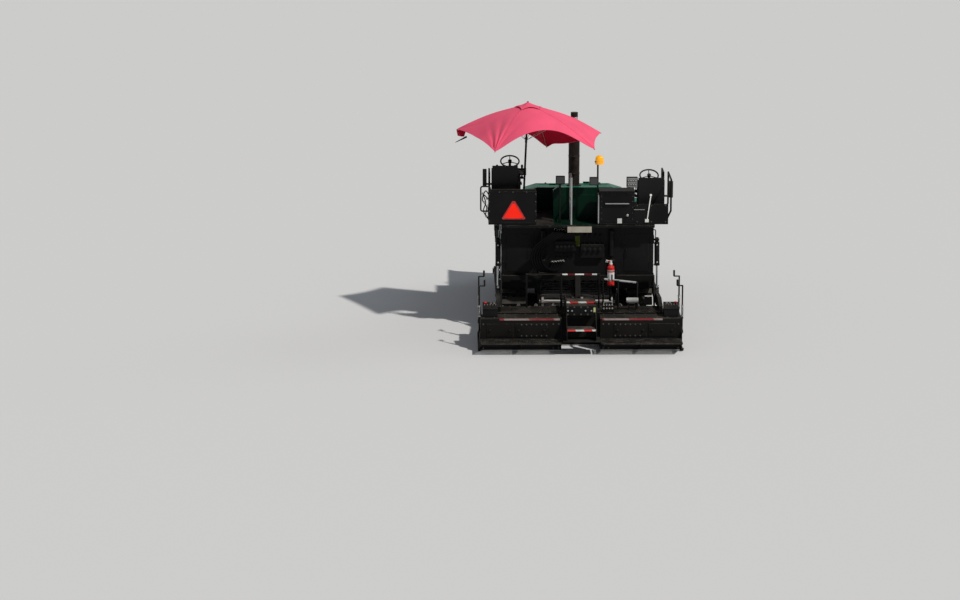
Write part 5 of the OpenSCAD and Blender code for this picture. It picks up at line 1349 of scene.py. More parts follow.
    def _shell(self, side: Side, x: float, top: float, home: Home) -> None:
        """Makes the moulded shell, the armrests (the outer one folded up) and the slide rails of a seat."""
        y = self.rear_y
        shell = Shape()
        shell.prism(Axis.ACROSS, (x - 0.235, x + 0.235), [(y + 0.03, top - 0.69), (y + 0.5, top - 0.69),
                                                          (y + 0.5, top - 0.672), (y + 0.08, top - 0.672),
                                                          (y + 0.035, top - 0.6), (y + 0.028, top - 0.02),
                                                          (y + 0.014, top - 0.02),
                                                          (y + 0.008, top - 0.62)])
        for s in (-1, 1):
            shell.prism(Axis.ACROSS, (x + s * 0.243 - 0.008, x + s * 0.243 + 0.008), [
                (y + 0.02, top - 0.69), (y + 0.48, top - 0.69), (y + 0.5, top - 0.63), (y + 0.12, top - 0.63),
                (y + 0.07, top - 0.35), (y + 0.06, top - 0.1), (y + 0.02, top - 0.06)])
        make(f"seat_shell_{side.word}", shell, Shop.PLASTIC, home, bevel=0.004)
        arms = Shape()
        s = side.value
        a = x - s * 0.285
        arms.prism(Axis.ACROSS, (a - 0.028, a + 0.028), [(y + 0.1, top - 0.4), (y + 0.4, top - 0.41),
                                                         (y + 0.41, top - 0.385), (y + 0.1, top - 0.355)])
        arms.rod((x - s * 0.235, y + 0.12, top - 0.39), (a, y + 0.12, top - 0.39), 0.016, 14)
        a = x + s * 0.375
        arms.prism(Axis.ACROSS, (a - 0.037, a + 0.037), [(y + 0.09, top - 0.41), (y + 0.16, top - 0.41),
                                                         (y + 0.15, top - 0.1), (y + 0.08, top - 0.1)])
        arms.rod((x + s * 0.235, y + 0.12, top - 0.38), (a, y + 0.12, top - 0.38), 0.018, 14)
        make(f"seat_armrests_{side.word}", arms, Shop.VINYL, home, bevel=0.009)
        rails = Shape()
        for s in (-1, 1):
            rails.box((x + s * 0.13 - 0.016, x + s * 0.13 + 0.016), (y + 0.06, y + 0.49),
                      (top - 0.7, top - 0.69))
        make(f"seat_slides_{side.word}", rails, Shop.ZINC, home, bevel=0.002)


HOSE_ROUTE = ((-0.31, 2.03, 1.9), (-0.31, 1.96, 1.9), (-0.328, 1.88, 1.893), (-0.37, 1.8, 1.868),
              (-0.44, 1.74, 1.825), (-0.53, 1.705, 1.765), (-0.61, 1.69, 1.695), (-0.67, 1.685, 1.615),
              (-0.705, 1.685, 1.525), (-0.712, 1.685, 1.43), (-0.695, 1.69, 1.34), (-0.65, 1.7, 1.262),
              (-0.585, 1.718, 1.21), (-0.51, 1.745, 1.188), (-0.44, 1.785, 1.2), (-0.39, 1.84, 1.243),
              (-0.366, 1.9, 1.285), (-0.36, 1.955, 1.302), (-0.36, 2.03, 1.302))
# Columns: name, how much the hose swells sideways, shift of its ports
HOSE_ROWS = (("middle", 1.145, 0.0), ("outer", 1.132, -0.05), ("outmost", 1.119, -0.1),
             ("inner", 1.157, 0.05), ("inmost", 1.169, 0.1))


@dataclass
class Hoses(Assembly):
    """Bundle of five hydraulic hoses that bulges out behind the bulkhead, with their crimped ends."""

    radius: float = 0.019

    def path(self, row: int) -> list[Vector]:
        """The centre line of hose number row."""
        _, sway, port = HOSE_ROWS[row]
        last = len(HOSE_ROUTE) - 1
        return smooth_path([(HOSE_ROUTE[0][0] + (p[0] - HOSE_ROUTE[0][0]) * sway + port, p[1],
                             p[2] - port * (0.1 if i / last < 0.5 else -0.1))
                            for i, p in enumerate(HOSE_ROUTE)], 4)

    def build(self) -> None:
        """Makes the hoses with their fittings."""
        for row, (word, _, _) in enumerate(HOSE_ROWS):
            path = self.path(row)
            home = Home("tractor", "hose_rubber", ("hydraulic_hoses",) if row == 0 else ())
            hose = make(f"hydraulic_hose_{word}", Shape().sweep(path, self.radius, 18), Shop.HOSE, home,
                        smooth=True)
            ends = Shape()
            for a, b in ((path[0], path[1]), (path[-1], path[-2])):
                way = (b - a).normalized()
                ends.lathe(tuple(a), tuple(way), [(0, 0.027), (0.018, 0.027), (0.019, 0.02), (0.024, 0.0225),
                                                  (0.055, 0.0225), (0.058, 0.0205)], 6 * 4)
            ends = make(f"hose_ends_{word}", ends, Shop.ZINC, Home("tractor", "worn_steel"), smooth=True)
            places = [tuple(p + DATUM) for p in path]
            length = sum((b - a).length for a, b in zip(path, path[1:]))
            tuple(places[0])


@dataclass
class Screed(Assembly):
    """Dress of the screed: taped treads, rails, lids, crank, cylinder, extinguisher and bolts."""

    half: float = 1.525
    rear_y: float = 0.8
    front_y: float = 1.44
    box_z: float = 0.62
    tread_rows: tuple[tuple[float, float], ...] = ((0.06, 0.48), (0.62, 0.87))
    tread_d: float = 0.25
    tread_half: float = 0.265
    post_xs: tuple[float, ...] = (-0.96, -0.33, 0.36)
    rail_bar: Span = (1.2, 1.24)
    bottle: Point = (0.575, 1.2287, 1.04)
    home: Home = Home("screed", "black_steel")

    def build(self) -> None:
        """Makes the screed's small gear."""
        self._treads()
        self._tail_box()
        self._bar()
        self._plates()
        self._controls()
        self._extinguisher()

    def _treads(self) -> None:
        """Tapes the stair's noses and lays grip strips on the treads."""
        tape, grip, rivets = Shape(), Shape(), []
        h = self.tread_half
        for y, z in self.tread_rows:
            tape.box((-h + 0.012, h - 0.012), (y - 0.0035, y - 0.0005), (z - 0.034, z - 0.002))
            for k in range(3):
                grip.box((-h + 0.02, h - 0.02), (y + 0.02 + k * 0.078, y + 0.07 + k * 0.078), (z, z + 0.0025))
            rivets += [(x, y + 0.01 + d, z) for x in (-h + 0.012, h - 0.012)
                       for d in (0.0, self.tread_d - 0.02)]
        make("tread_nose_tape", tape, Shop.TAPE, Home("screed", "warning_red"))
        make("tread_grip_strips", grip, Shop.TRACK, Home("screed", "track_rubber"), bevel=0.001)
        self.recipes.bolt("tread_bolts", rivets, (0, 0, 1), self.home, radius=0.008, height=0.006)

    def _tail_box(self) -> None:
        """Fits the dark box between the treads with bolts, sockets and a pale plate."""
        y = 0.42
        self.recipes.bolt("tail_box_bolts", [(x, y, z) for x in (-0.24, -0.12, 0.0, 0.12)
                                             for z in (0.672, 0.805)], (0, -1, 0), self.home,
                          radius=0.012, height=0.009)
        socket = Shape()
        for x in (-0.235, -0.162, 0.081, 0.186):
            socket.lathe((x, y, 0.745), (0, -1, 0), [(-0.002, 0.01), (0.01, 0.01), (0.011, 0.015),
                                                     (0.024, 0.014), (0.026, 0.01)], 20)
        make("tail_sockets", socket, Shop.BRIGHT, Home("screed", "worn_steel"), smooth=True)
        plate = Shape().box((0.225, 0.262), (y - 0.0035, y - 0.0003), (0.715, 0.8))
        make("tail_box_pale_plate", plate, Shop.PALE_PLATE, self.home, bevel=0.001)

    def _bar(self) -> None:
        """Tapes and clamps the cross bar, and adds the bent guard pipe and the feet's bolts."""
        y, z = self.rail_bar
        home = Home("screed", "warning_red")
        for name, spans, finish in (("rail_bar_white_tape", ((-0.309, -0.216), (-0.079, 0.085),
                                                             (0.231, 0.322)), Shop.WHITE),
                                    ("rail_bar_red_tape", ((-0.216, -0.079), (0.085, 0.231)),
                                     Shop.DEEP_RED)):
            wraps = Shape()
            for x0, x1 in spans:
                wraps.lathe((x0, y, z), (1, 0, 0), [(0, 0.0147), (x1 - x0, 0.0147)], 24)
            make(name, wraps, finish, home, smooth=True)
        clamps = Shape()
        for x in self.post_xs:
            clamps.lathe((x - 0.018, y, z), (1, 0, 0), [(0, 0.018), (0.003, 0.021), (0.033, 0.021),
                                                        (0.036, 0.018)], 20)
            clamps.box((x - 0.045, x + 0.045), (y - 0.045, y + 0.045), (self.box_z, self.box_z + 0.008))
        make("rail_clamps", clamps, Shop.BLACK, self.home, bevel=0.0015)
        self.recipes.tube("bent_guard_pipe", [(0.43, 1.09, 0.621), (0.43, 1.09, 1.18), (1.05, 1.09, 1.11),
                                              (1.05, 1.09, 0.621)], 0.0175, 0.0, Shop.BLACK, self.home,
                          18)
        self.recipes.tube("guard_pipe_sleeve", [(0.45, 1.09, 1.1777), (1.03, 1.09, 1.1123)], 0.0183, 0.0,
                          Shop.GREY, Home("screed", "rail_grey"), 18)
        feet = [(x + a * 0.034, y + b * 0.034, self.box_z + 0.008) for x in self.post_xs for a in (-1, 1)
                for b in (-1, 1)]
        self.recipes.bolt("rail_foot_bolts", feet, (0, 0, 1), self.home, radius=0.009, height=0.007)

    def _plates(self) -> None:
        """Adds bolt rows, the bright sole edge, the lids and a small valve block to the main box."""
        xs = [-1.44 + 0.18 * i for i in range(17)]
        rows = [(x, y, self.box_z) for x in xs for y in (self.rear_y + 0.03, self.front_y - 0.13)
                if abs(x) > 0.31]
        self.recipes.bolt("screed_top_bolts", rows, (0, 0, 1), self.home, radius=0.012, height=0.009)
        self.recipes.bolt("screed_front_bolts", [(x + 0.06, self.front_y, 0.25) for x in xs], (0, 1, 0),
                          self.home, radius=0.012, height=0.009)
        sole = Shape().box((-self.half + 0.002, self.half - 0.002), (self.rear_y - 0.0015, self.rear_y),
                           (0.003, 0.022))
        make("sole_plate_edge", sole, Shop.BRIGHT, Home("screed", "worn_steel"))
        lids, pulls = Shape(), Shape()
        for s in (-1, 1):
            for x0, x1 in ((0.38, 0.86), (0.92, 1.46)):
                a, b = sorted((s * x0, s * x1))
                lids.box((a, b), (self.rear_y + 0.08, self.front_y - 0.2), (self.box_z, self.box_z + 0.006))
                m = (a + b) / 2
                pulls.sweep(smooth_path([(m - 0.05, 1.0, self.box_z + 0.005),
                                         (m - 0.045, 1.0, self.box_z + 0.035),
                                         (m + 0.045, 1.0, self.box_z + 0.035),
                                         (m + 0.05, 1.0, self.box_z + 0.005)], 5), 0.006, 10)
        make("screed_lids", lids, Shop.SCREED, self.home, bevel=0.002)
        block, ports = Shape(), Shape()
        block.box((0.4, 0.62), (self.rear_y + 0.018, self.rear_y + 0.074), (self.box_z, self.box_z + 0.12))
        for k in range(4):
            x = 0.43 + 0.052 * k
            ports.lathe((x, self.rear_y + 0.046, self.box_z + 0.119), (0, 0, 1),
                        [(0, 0.016), (0.012, 0.016), (0.013, 0.01), (0.03, 0.01), (0.032, 0.006)], 6)
            ports.lathe((x, self.rear_y + 0.019, self.box_z + 0.07), (0, -1, 0),
                        [(0, 0.018), (0.008, 0.018), (0.01, 0.012)], 6)
        make("screed_valve_block", block, Shop.SCREED, self.home, bevel=0.002)
        make("screed_valve_ports", ports, Shop.ZINC, Home("screed", "worn_steel"), bevel=0.0008)
        self.recipes.tube("screed_valve_pipe", [(0.43, self.rear_y + 0.046, self.box_z + 0.15),
                                                (0.43, self.rear_y + 0.046, 0.81),
                                                (0.586, self.rear_y + 0.046, 0.81),
                                                (0.586, self.rear_y + 0.046, self.box_z + 0.15)], 0.008,
                          0.03, Shop.GREY, Home("screed", "rail_grey"), 14)
        make("screed_lid_pulls", pulls, Shop.BLACK, self.home, smooth=True)

    def _controls(self) -> None:
        """Adds the crown crank and the grey cylinder's ends and shell."""
        crank = Shape()
        crank.rod((0.7, 1.02, 0.62), (0.7, 1.02, 1.16), 0.014, 16)
        crank.rod((0.58, 1.02, 1.16), (0.72, 1.02, 1.16), 0.009, 12, 0.003)
        crank.lathe((0.585, 1.02, 1.16), (0, 0, 1), [(0, 0.009), (0.02, 0.013), (0.1, 0.015),
                                                     (0.115, 0.01)], 18)
        make("crown_crank", crank, Shop.BLACK, self.home, smooth=True)
        ends = Shape()
        for x in (0.85, 1.048):
            ends.lathe((x, 1.0, 0.8), (1, 0, 0), [(-0.004, 0.05), (0, 0.054), (0.014, 0.054),
                                                  (0.018, 0.05)], 28)
        make("crown_cylinder_ends", ends, Shop.ZINC, Home("screed", "worn_steel"), smooth=True)
        shell = Shape().lathe((0.864, 1.0, 0.8), (1, 0, 0), [(0, 0.0506), (0.182, 0.0506)], 32)
        make("crown_cylinder_shell", shell, Shop.GREY, Home("screed", "worn_steel"), smooth=True)

    def _extinguisher(self) -> None:
        """Adds neck, gauge, hose, band and grip to the extinguisher."""
        x, y, z = self.bottle
        band = Shape()
        for h in (0.08, 0.26):
            band.lathe((x, y, z + h), (0, 0, 1), [(0, 0.0655), (0.0, 0.068), (0.025, 0.068),
                                                  (0.025, 0.0655)], 36)
        make("extinguisher_bands", band, Shop.ZINC, Home("screed", "worn_steel"), smooth=True)
        label = Shape().lathe((x, y, z + 0.11), (0, 0, 1), [(0, 0.0654), (0.13, 0.0654)], 36)
        make("extinguisher_bare_label", label, Shop.WHITE, Home("screed", "extinguisher_red"), smooth=True)
        head = Shape()
        head.lathe((x, y, z + 0.372), (0, 0, 1), [(0, 0.026), (0.01, 0.03), (0.03, 0.03), (0.034, 0.022),
                                                  (0.08, 0.022)], 20)
        head.prism(Axis.ALONG, (y - 0.014, y + 0.014), [(x - 0.09, z + 0.452), (x + 0.02, z + 0.43),
                                                        (x + 0.02, z + 0.442), (x - 0.09, z + 0.466)])
        head.prism(Axis.ALONG, (y - 0.012, y + 0.012), [(x - 0.1, z + 0.425), (x + 0.02, z + 0.418),
                                                        (x + 0.02, z + 0.427), (x - 0.1, z + 0.435)])
        make("extinguisher_head", head, Shop.WHITE, Home("screed", "extinguisher_red"), bevel=0.0015,
             smooth=True)
        hose = smooth_path([(x + 0.018, y, z + 0.42), (x + 0.05, y - 0.01, z + 0.425),
                            (x + 0.079, y - 0.014, z + 0.38), (x + 0.082, y - 0.014, z + 0.26),
                            (x + 0.08, y - 0.012, z + 0.12)], 6)
        line = Shape().sweep(hose, 0.008, 14)
        line.lathe(tuple(hose[-1]), (0, 0, -1), [(-0.03, 0.0095), (0, 0.011), (0.06, 0.013),
                                                 (0.062, 0.009)], 16)
        make("extinguisher_hose", line, Shop.HOSE, Home("screed", "hose_rubber"), smooth=True)


@dataclass
class Extender(Assembly):
    """Dress of the two sliding extenders: grating, tape, doors, control boxes and the gates' gear."""

    inner_x: float = 0.35
    outer_x: float = 1.792
    end_x: float = 1.812
    rear_y: float = 0.4
    top_z: float = 0.61
    walk_z: float = 0.24
    walk_d: float = 0.35
    crank_x: float = 1.8323
    crank_ys: Span = (0.52, 1.32)

    def build(self) -> None:
        """Dresses both extenders and their gates."""
        for side in Side:
            self._grating(side)
            self._panels(side)
            self._gate(side)

    def _grating(self, side: Side) -> None:
        """Adds the cross bars of the walkway's grating and its edge strip."""
        home = Home(f"extender_{side.word}", "black_steel")
        count = 56
        x0 = (self.inner_x + 0.02) * side.value
        step = (self.end_x - self.inner_x - 0.04) / (count - 1) * side.value
        self.recipes.bars(f"walkway_cross_bars_{side.word}", count,
                          (x0, self.walk_d / 2, self.walk_z - 0.008), (step, 0, 0),
                          (0.004, self.walk_d - 0.006, 0.012), Shop.GRATE, home)
        tape = Shape().box((self.inner_x + 0.03, self.end_x - 0.02), (-0.003, -0.0002),
                           (self.walk_z - 0.024, self.walk_z - 0.001))
        make(f"walkway_edge_{side.word}", tape.flip_to(side), Shop.GRATE, home)

    def _panels(self, side: Side) -> None:
        """Adds the tape line, doors, bolts, sole edge and control box of the extender."""
        body = f"extender_{side.word}"
        home = Home(body, "black_steel")
        tape = Shape().box((0.38, 1.47), (self.rear_y - 0.0035, self.rear_y - 0.0005), (0.57, 0.604))
        make(f"extender_tape_{side.word}", tape.flip_to(side), Shop.DIRTY_TAPE, Home(body, "warning_red"))
        panel = Shape()
        for x0, x1 in ((0.6, 1.18), (1.22, 1.7)):
            panel.box((x0, x1), (self.rear_y - 0.012, self.rear_y - 0.0005), (0.27, 0.51))
        make(f"extender_doors_{side.word}", panel.flip_to(side), Shop.SCREED, home, bevel=0.003)
        knobs = Shape()
        for x in (0.66, 1.12, 1.28, 1.64):
            knobs.lathe((x, self.rear_y - 0.012, 0.39), (0, -1, 0), [(0, 0.012), (0.008, 0.012), (0.01, 0.02),
                                                                      (0.024, 0.02), (0.027, 0.014)], 18)
        make(f"extender_door_knobs_{side.word}", knobs.flip_to(side), Shop.PLASTIC, home, smooth=True)
        s = side.value
        spots = [(s * x, self.rear_y - 0.001, z) for x in (0.4, 0.5, 1.76) for z in (0.06, 0.2, 0.5)]
        spots += [(s * (0.62 + 0.09 * i), self.rear_y - 0.012, z) for i in range(6) for z in (0.285, 0.495)]
        self.recipes.bolt(f"extender_rear_bolts_{side.word}", spots, (0, -1, 0), home, radius=0.011)
        tops = [(s * (0.42 + 0.19 * i), y, self.top_z) for i in range(8) for y in (self.rear_y + 0.04, 0.7)]
        self.recipes.bolt(f"extender_top_bolts_{side.word}", tops, (0, 0, 1), home, radius=0.011)
        sole = Shape().box((self.inner_x + 0.002, self.outer_x - 0.002),
                           (self.rear_y - 0.002, self.rear_y - 0.0002), (0.003, 0.024))
        make(f"extender_sole_edge_{side.word}", sole.flip_to(side), Shop.BRIGHT, Home(body, "worn_steel"))
        box = Shape()
        box.box((1.5, 1.77), (self.rear_y + 0.08, self.rear_y + 0.3), (self.top_z, self.top_z + 0.15))
        box.prism(Axis.ACROSS, (1.5, 1.77), [(self.rear_y + 0.06, 0.762), (self.rear_y + 0.32, 0.762),
                                             (self.rear_y + 0.32, 0.84), (self.rear_y + 0.12, 0.8)])
        make(f"screed_control_box_{side.word}", box.flip_to(side), Shop.BLACK_CLEAN, home, bevel=0.006)
        self._box_gear(side, home)

    def _box_gear(self, side: Side, home: Home) -> None:
        """Adds the switches, the screen and the lead of a screed control box."""
        y = self.rear_y + 0.2
        gear = Shape()
        for k in range(5):
            gear.rod((1.535 + 0.05 * k, y - 0.03, 0.8), (1.535 + 0.05 * k, y - 0.045, 0.835), 0.007, 12,
                     0.002)
        gear.lathe((1.56, y + 0.07, 0.82), (0, -0.2, 1), [(0, 0.02), (0.012, 0.02), (0.014, 0.016)], 20)
        gear.lathe((1.62, y + 0.07, 0.82), (0, -0.2, 1), [(0, 0.02), (0.012, 0.02), (0.014, 0.016)], 20)
        make(f"screed_box_switches_{side.word}", gear.flip_to(side), Shop.ZINC, home, smooth=True)
        red = Shape().lathe((1.72, y + 0.06, 0.815), (0, -0.2, 1),
                            [(0, 0.014), (0.02, 0.014), (0.021, 0.026), (0.034, 0.026), (0.038, 0.02)],
                            24)
        make(f"screed_box_stop_{side.word}", red.flip_to(side), Shop.RED,
             Home(home.body, "extinguisher_red"), smooth=True)

    def _gate(self, side: Side) -> None:
        """Adds springs, collars and grips to a gate's height cranks."""
        body = f"gate_{side.word}"
        home = Home(body, "black_steel")
        x = self.crank_x
        springs, grips = Shape(), Shape()
        for y in self.crank_ys:
            turns, z0, z1 = 9, 0.62, 0.8
            coil = [(x + 0.022 * math.cos(math.tau * turns * i / 216),
                     y + 0.022 * math.sin(math.tau * turns * i / 216), z0 + (z1 - z0) * i / 216)
                    for i in range(217)]
            springs.sweep(coil, 0.0035, 8)
            grips.lathe((x - 0.095, y, 1.18), (0, 0, 1), [(0.0, 0.0135), (0.01, 0.017), (0.1, 0.018),
                                                          (0.113, 0.012)], 20)
        make(f"gate_springs_{side.word}", springs.flip_to(side), Shop.BRIGHT, Home(body, "worn_steel"),
             smooth=True)
        make(f"gate_crank_grips_{side.word}", grips.flip_to(side), Shop.PLASTIC, home, smooth=True)
        collars = Shape()
        for y in self.crank_ys:
            for z in (0.612, 0.805):
                collars.lathe((x, y, z), (0, 0, 1), [(0, 0.02), (0.002, 0.026), (0.014, 0.026),
                                                     (0.016, 0.02)], 20)
        make(f"gate_collars_{side.word}", collars.flip_to(side), Shop.ZINC, Home(body, "worn_steel"),
             smooth=True)
        s = side.value
        edge = [(s * (self.end_x + 0.0123), y, 0.33) for y in (0.4, 0.62, 0.84, 1.06, 1.28, 1.46)]
        self.recipes.bolt(f"gate_bolts_{side.word}", edge, (s, 0, 0), home, radius=0.012)


@dataclass
class Station(Assembly):
    """Dress of the operator stations: consoles, panel gear, wheels, tool box, lamps and beacon."""

    front_y: float = 3.15
    wheel_y: float = 2.7
    pan_z: float = 2.0623
    panel_y: float = 1.79
    box_y: float = 1.8
    wheel_lean: float = 27.0
    beacon: Point = (0.36, 1.99, 3.18)
    # Side, middle of the column, height of the console's top rear edge
    rows: tuple[tuple[Side, float, float], ...] = ((Side.LEFT, 1.24, 2.87), (Side.RIGHT, 1.35, 2.60))

    def build(self) -> None:
        """Dresses both stations."""
        for side, col, top in self.rows:
            self._console(side, col, top)
            self._wheel(side)
            self._floor(side, col)
        self._left_panel()
        self._side_consoles()
        self._left_gear()
        self._right_gear()
        self._tool_box()
        self._lamps()
        self._beacon()

    def _console(self, side: Side, col: float, top: float) -> None:
        """Fits a console with its panel, knobs, gauges, levers and bare plates."""
        home = Home(f"station_{side.word}", "black_steel")
        y0, y1 = self.wheel_y + 0.06, self.wheel_y + 0.3
        slope = Vector((0, y1 - y0, 0.11)).normalized()
        out = Vector((0, -slope.z, slope.y))

        def on_panel(x: float, share: float, rise: float = 0.0) -> Vector:
            """A place on the console's sloped face."""
            return Vector((x, y0 + (y1 - y0) * share, top - 0.11 + 0.11 * share)) + out * rise

        face, dials, glass, knobs = Shape(), Shape(), Shape(), Shape()
        a, b = on_panel(0, 0.06), on_panel(0, 0.94)
        face.prism(Axis.ACROSS, (col - 0.18, col + 0.18),
                   [(a.y, a.z), (b.y, b.z), (b.y + out.y * 0.006, b.z + out.z * 0.006),
                    (a.y + out.y * 0.006, a.z + out.z * 0.006)])
        make(f"console_panel_{side.word}", face.flip_to(side), Shop.GREY, Home(home.body, "rail_grey"),
             bevel=0.0015)
        for x in (-0.1, 0.0, 0.1):
            dials.lathe(tuple(on_panel(col + x, 0.72, 0.006)), tuple(out),
                        [(0, 0.034), (0.01, 0.034), (0.012, 0.03)], 28)
            glass.lathe(tuple(on_panel(col + x, 0.72, 0.017)), tuple(out), [(0, 0.029), (0.002, 0.028)], 28)
        for row, share in enumerate((0.2, 0.42)):
            for k in range(6):
                spot = on_panel(col - 0.14 + 0.056 * k, share, 0.006)
                if (k + row) % 2:
                    knobs.rod(tuple(spot), tuple(spot + out * 0.028), 0.006, 12, 0.002)
                    knobs.lathe(tuple(spot), tuple(out), [(0, 0.011), (0.006, 0.011), (0.008, 0.007)], 16)
                else:
                    knobs.lathe(tuple(spot), tuple(out), [(0, 0.016), (0.016, 0.015), (0.02, 0.011)], 18)
        make(f"console_dials_{side.word}", dials.flip_to(side), Shop.PLASTIC, home, smooth=True)
        make(f"console_dial_glass_{side.word}", glass.flip_to(side), Shop.CLEAR, home, smooth=True)
        make(f"console_knobs_{side.word}", knobs.flip_to(side), Shop.PLASTIC, home, smooth=True)
        plates = Shape()
        for x, z in ((-0.12, 0.2), (0.08, 0.24)):
            plates.box((col + x - 0.035, col + x + 0.035), (self.wheel_y + 0.112, self.wheel_y + 0.1195),
                       (top - 0.3 - z * 0.2, top - 0.24 - z * 0.2))
        make(f"console_bare_plates_{side.word}", plates.flip_to(side), Shop.WHITE, home, bevel=0.001)
        lever = Shape()
        for x in (-0.23, 0.235):
            foot = Vector((col + x, self.wheel_y + 0.22, top - 0.16))
            tip = foot + Vector((0, -0.02, 0.2))
            lever.rod(tuple(foot), tuple(tip), 0.008, 12)
            lever.lathe(tuple(tip), (0, 0, 1), [(-0.02, 0.012), (0.02, 0.024), (0.05, 0.02),
                                                (0.06, 0.008)], 18)
            lever.lathe(tuple(foot), (0, 0, 1), [(-0.01, 0.035), (0.01, 0.032), (0.03, 0.02),
                                                 (0.05, 0.012)], 18)
        make(f"console_levers_{side.word}", lever.flip_to(side), Shop.PLASTIC, home, smooth=True)
        boot = Shape().box((col - 0.205, col + 0.205), (self.wheel_y + 0.17, self.wheel_y + 0.27),
                           (top - 0.2, top - 0.172))
        make(f"console_lever_shelf_{side.word}", boot.flip_to(side), Shop.PLASTIC, home, bevel=0.006)

    def _wheel(self, side: Side) -> None:
        """Adds a hub cap and finger grips to a steering wheel."""
        low, high = (Vector(c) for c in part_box(f"steering_wheel_{side.word}"))
        middle = (low + high) / 2 - DATUM
        lean = math.radians(self.wheel_lean)
        up = Vector((0, -math.sin(lean), math.cos(lean)))
        home = Home(f"wheel_{side.word}", "wheel_plastic")
        cap = Shape().lathe(tuple(middle + up * 0.008), tuple(up),
                            [(0, 0.03), (0.002, 0.036), (0.012, 0.033), (0.018, 0.02)], 28)
        make(f"steering_hub_cap_{side.word}", cap, Shop.PLASTIC, home, smooth=True)
        turn = up.to_track_quat("Z", "Y").to_matrix()
        grips = Shape()
        for k in range(36):
            a = math.tau * k / 36
            spot = middle + turn @ Vector((0.17 * math.cos(a), 0.17 * math.sin(a), -0.004))
            grips.lathe(tuple(spot), tuple(turn @ Vector((-math.sin(a), math.cos(a), 0))),
                        [(-0.005, 0.0132), (-0.002, 0.0145), (0.002, 0.0145), (0.005, 0.0132)], 12)
        make(f"steering_grips_{side.word}", grips, Shop.PLASTIC, home, smooth=True)

    def _floor(self, side: Side, col: float) -> None:
        """Lays the rubber mat and bolts the station's floor."""
        home = Home(f"station_{side.word}", "track_rubber")
        self.recipes.bars(f"footwell_mat_ribs_{side.word}", 12,
                          (side.value * col, 2.655, self.pan_z + 0.004), (0, 0.014, 0),
                          (0.36, 0.007, 0.008), Shop.TRACK, home)
        s = side.value
        spots = [(s * x, y, self.pan_z) for x in (1.1, 1.5) for y in (1.9, 2.05, 3.05)]
        self.recipes.bolt(f"station_floor_bolts_{side.word}", spots, (0, 0, 1),
                          Home(home.body, "black_steel"), radius=0.011)

    def _left_panel(self) -> None:
        """Adds frame strips, bolts and the triangle's border to the left rear panel."""
        home = Home("station_left", "black_steel")
        y = self.panel_y
        strips = Shape()
        for x in (-1.635, -0.785):
            strips.box((x - 0.012, x + 0.012), (y - 0.006, y), (2.07, 2.67))
        strips.box((-1.635, -0.785), (y - 0.0055, y), (2.645, 2.67))
        strips.box((-1.635, -0.785), (y - 0.0055, y), (2.07, 2.095))
        make("rear_panel_frame", strips, Shop.BLACK, home, bevel=0.0015)
        spots = [(x, y - 0.006, z) for x in (-1.635, -0.785) for z in (2.12, 2.3, 2.48, 2.62)]
        spots += [(x, y - 0.0055, 2.6575) for x in (-1.45, -1.2, -0.95)]
        self.recipes.bolt("rear_panel_bolts", spots, (0, -1, 0), home, radius=0.009, height=0.006)
        w, h, cut, x0, z0 = 0.435, 0.435 * 0.78, 0.036, -1.188, 2.15
        rim = [(x0 - w / 2, z0 + cut * 0.5), (x0 - w / 2 + cut * 0.6, z0), (x0 + w / 2 - cut * 0.6, z0),
               (x0 + w / 2, z0 + cut * 0.5), (x0 + cut * 0.7, z0 + h), (x0 - cut * 0.7, z0 + h)]
        middle = Vector((x0, z0 + h * 0.37))
        inner = [tuple(middle + (Vector(p) - middle) * 0.8) for p in rim]
        border = Shape()
        for i in range(6):
            k = (i + 1) % 6
            border.prism(Axis.ALONG, (y - 0.0085, y - 0.006), [rim[i], rim[k], inner[k], inner[i]])
        make("warning_triangle_border", border, Shop.FILM_EDGE, Home("station_left", "warning_red"))
        self.recipes.bolt("warning_triangle_rivets", [(x0 - 0.15, y - 0.0085, z0 + 0.025),
                                                      (x0 + 0.15, y - 0.0085, z0 + 0.025),
                                                      (x0, y - 0.0085, z0 + h - 0.03)], (0, -1, 0), home,
                          radius=0.007, height=0.004, sides=12)

    def _side_consoles(self) -> None:
        """Sets a control box at the inboard side of each seat: the right one's dial panel faces the rear."""
        box = Shape()
        box.prism(Axis.ACROSS, (-1.165, -0.945), [(2.335, 2.87), (2.5, 2.87), (2.5, 2.96), (2.36, 3.0),
                                                  (2.335, 2.99)])
        box.rod((-1.068, 2.07, self.pan_z), (-1.068, 2.07, 2.9), 0.015, 14)
        box.rod((-1.068, 2.07, 2.9), (-1.068, 2.36, 2.9), 0.014, 14)
        make("side_console_left", box, Shop.BLACK_CLEAN, Home("station_left", "black_steel"), bevel=0.004)
        lines = Shape()
        for z in (2.9, 2.925, 2.95):
            lines.box((-1.15, -0.96), (2.332, 2.3352), (z, z + 0.007))
        make("side_console_vents_left", lines, Shop.STEEL, Home("station_left", "worn_steel"))
        home = Home("station_right", "black_steel")
        box = Shape()
        box.box((0.925, 1.13), (2.52, 2.62), (2.6, 2.79))
        box.box((0.95, 0.99), (2.55, 2.59), (self.pan_z, 2.6))
        make("side_console_right", box, Shop.BLACK_CLEAN, home, bevel=0.006)
        face, dials, hands = Shape(), Shape(), Shape()
        face.box((0.935, 1.12), (2.513, 2.5202), (2.61, 2.78))
        for k in range(4):
            for z in (2.66, 2.735):
                dials.lathe((0.96 + 0.045 * k, 2.5135, z), (0, -1, 0),
                            [(0, 0.019), (0.008, 0.019), (0.01, 0.015), (0.006, 0.014)], 24)
                hands.lathe((0.96 + 0.045 * k, 2.5075, z), (0, -1, 0), [(0, 0.0135), (0.0005, 0.0135)], 20)
        make("side_console_face", face, Shop.GREY, Home("station_right", "rail_grey"), bevel=0.001)
        make("side_console_dials", dials, Shop.PLASTIC, home, smooth=True)
        make("side_console_dial_faces", hands, Shop.WHITE, home)
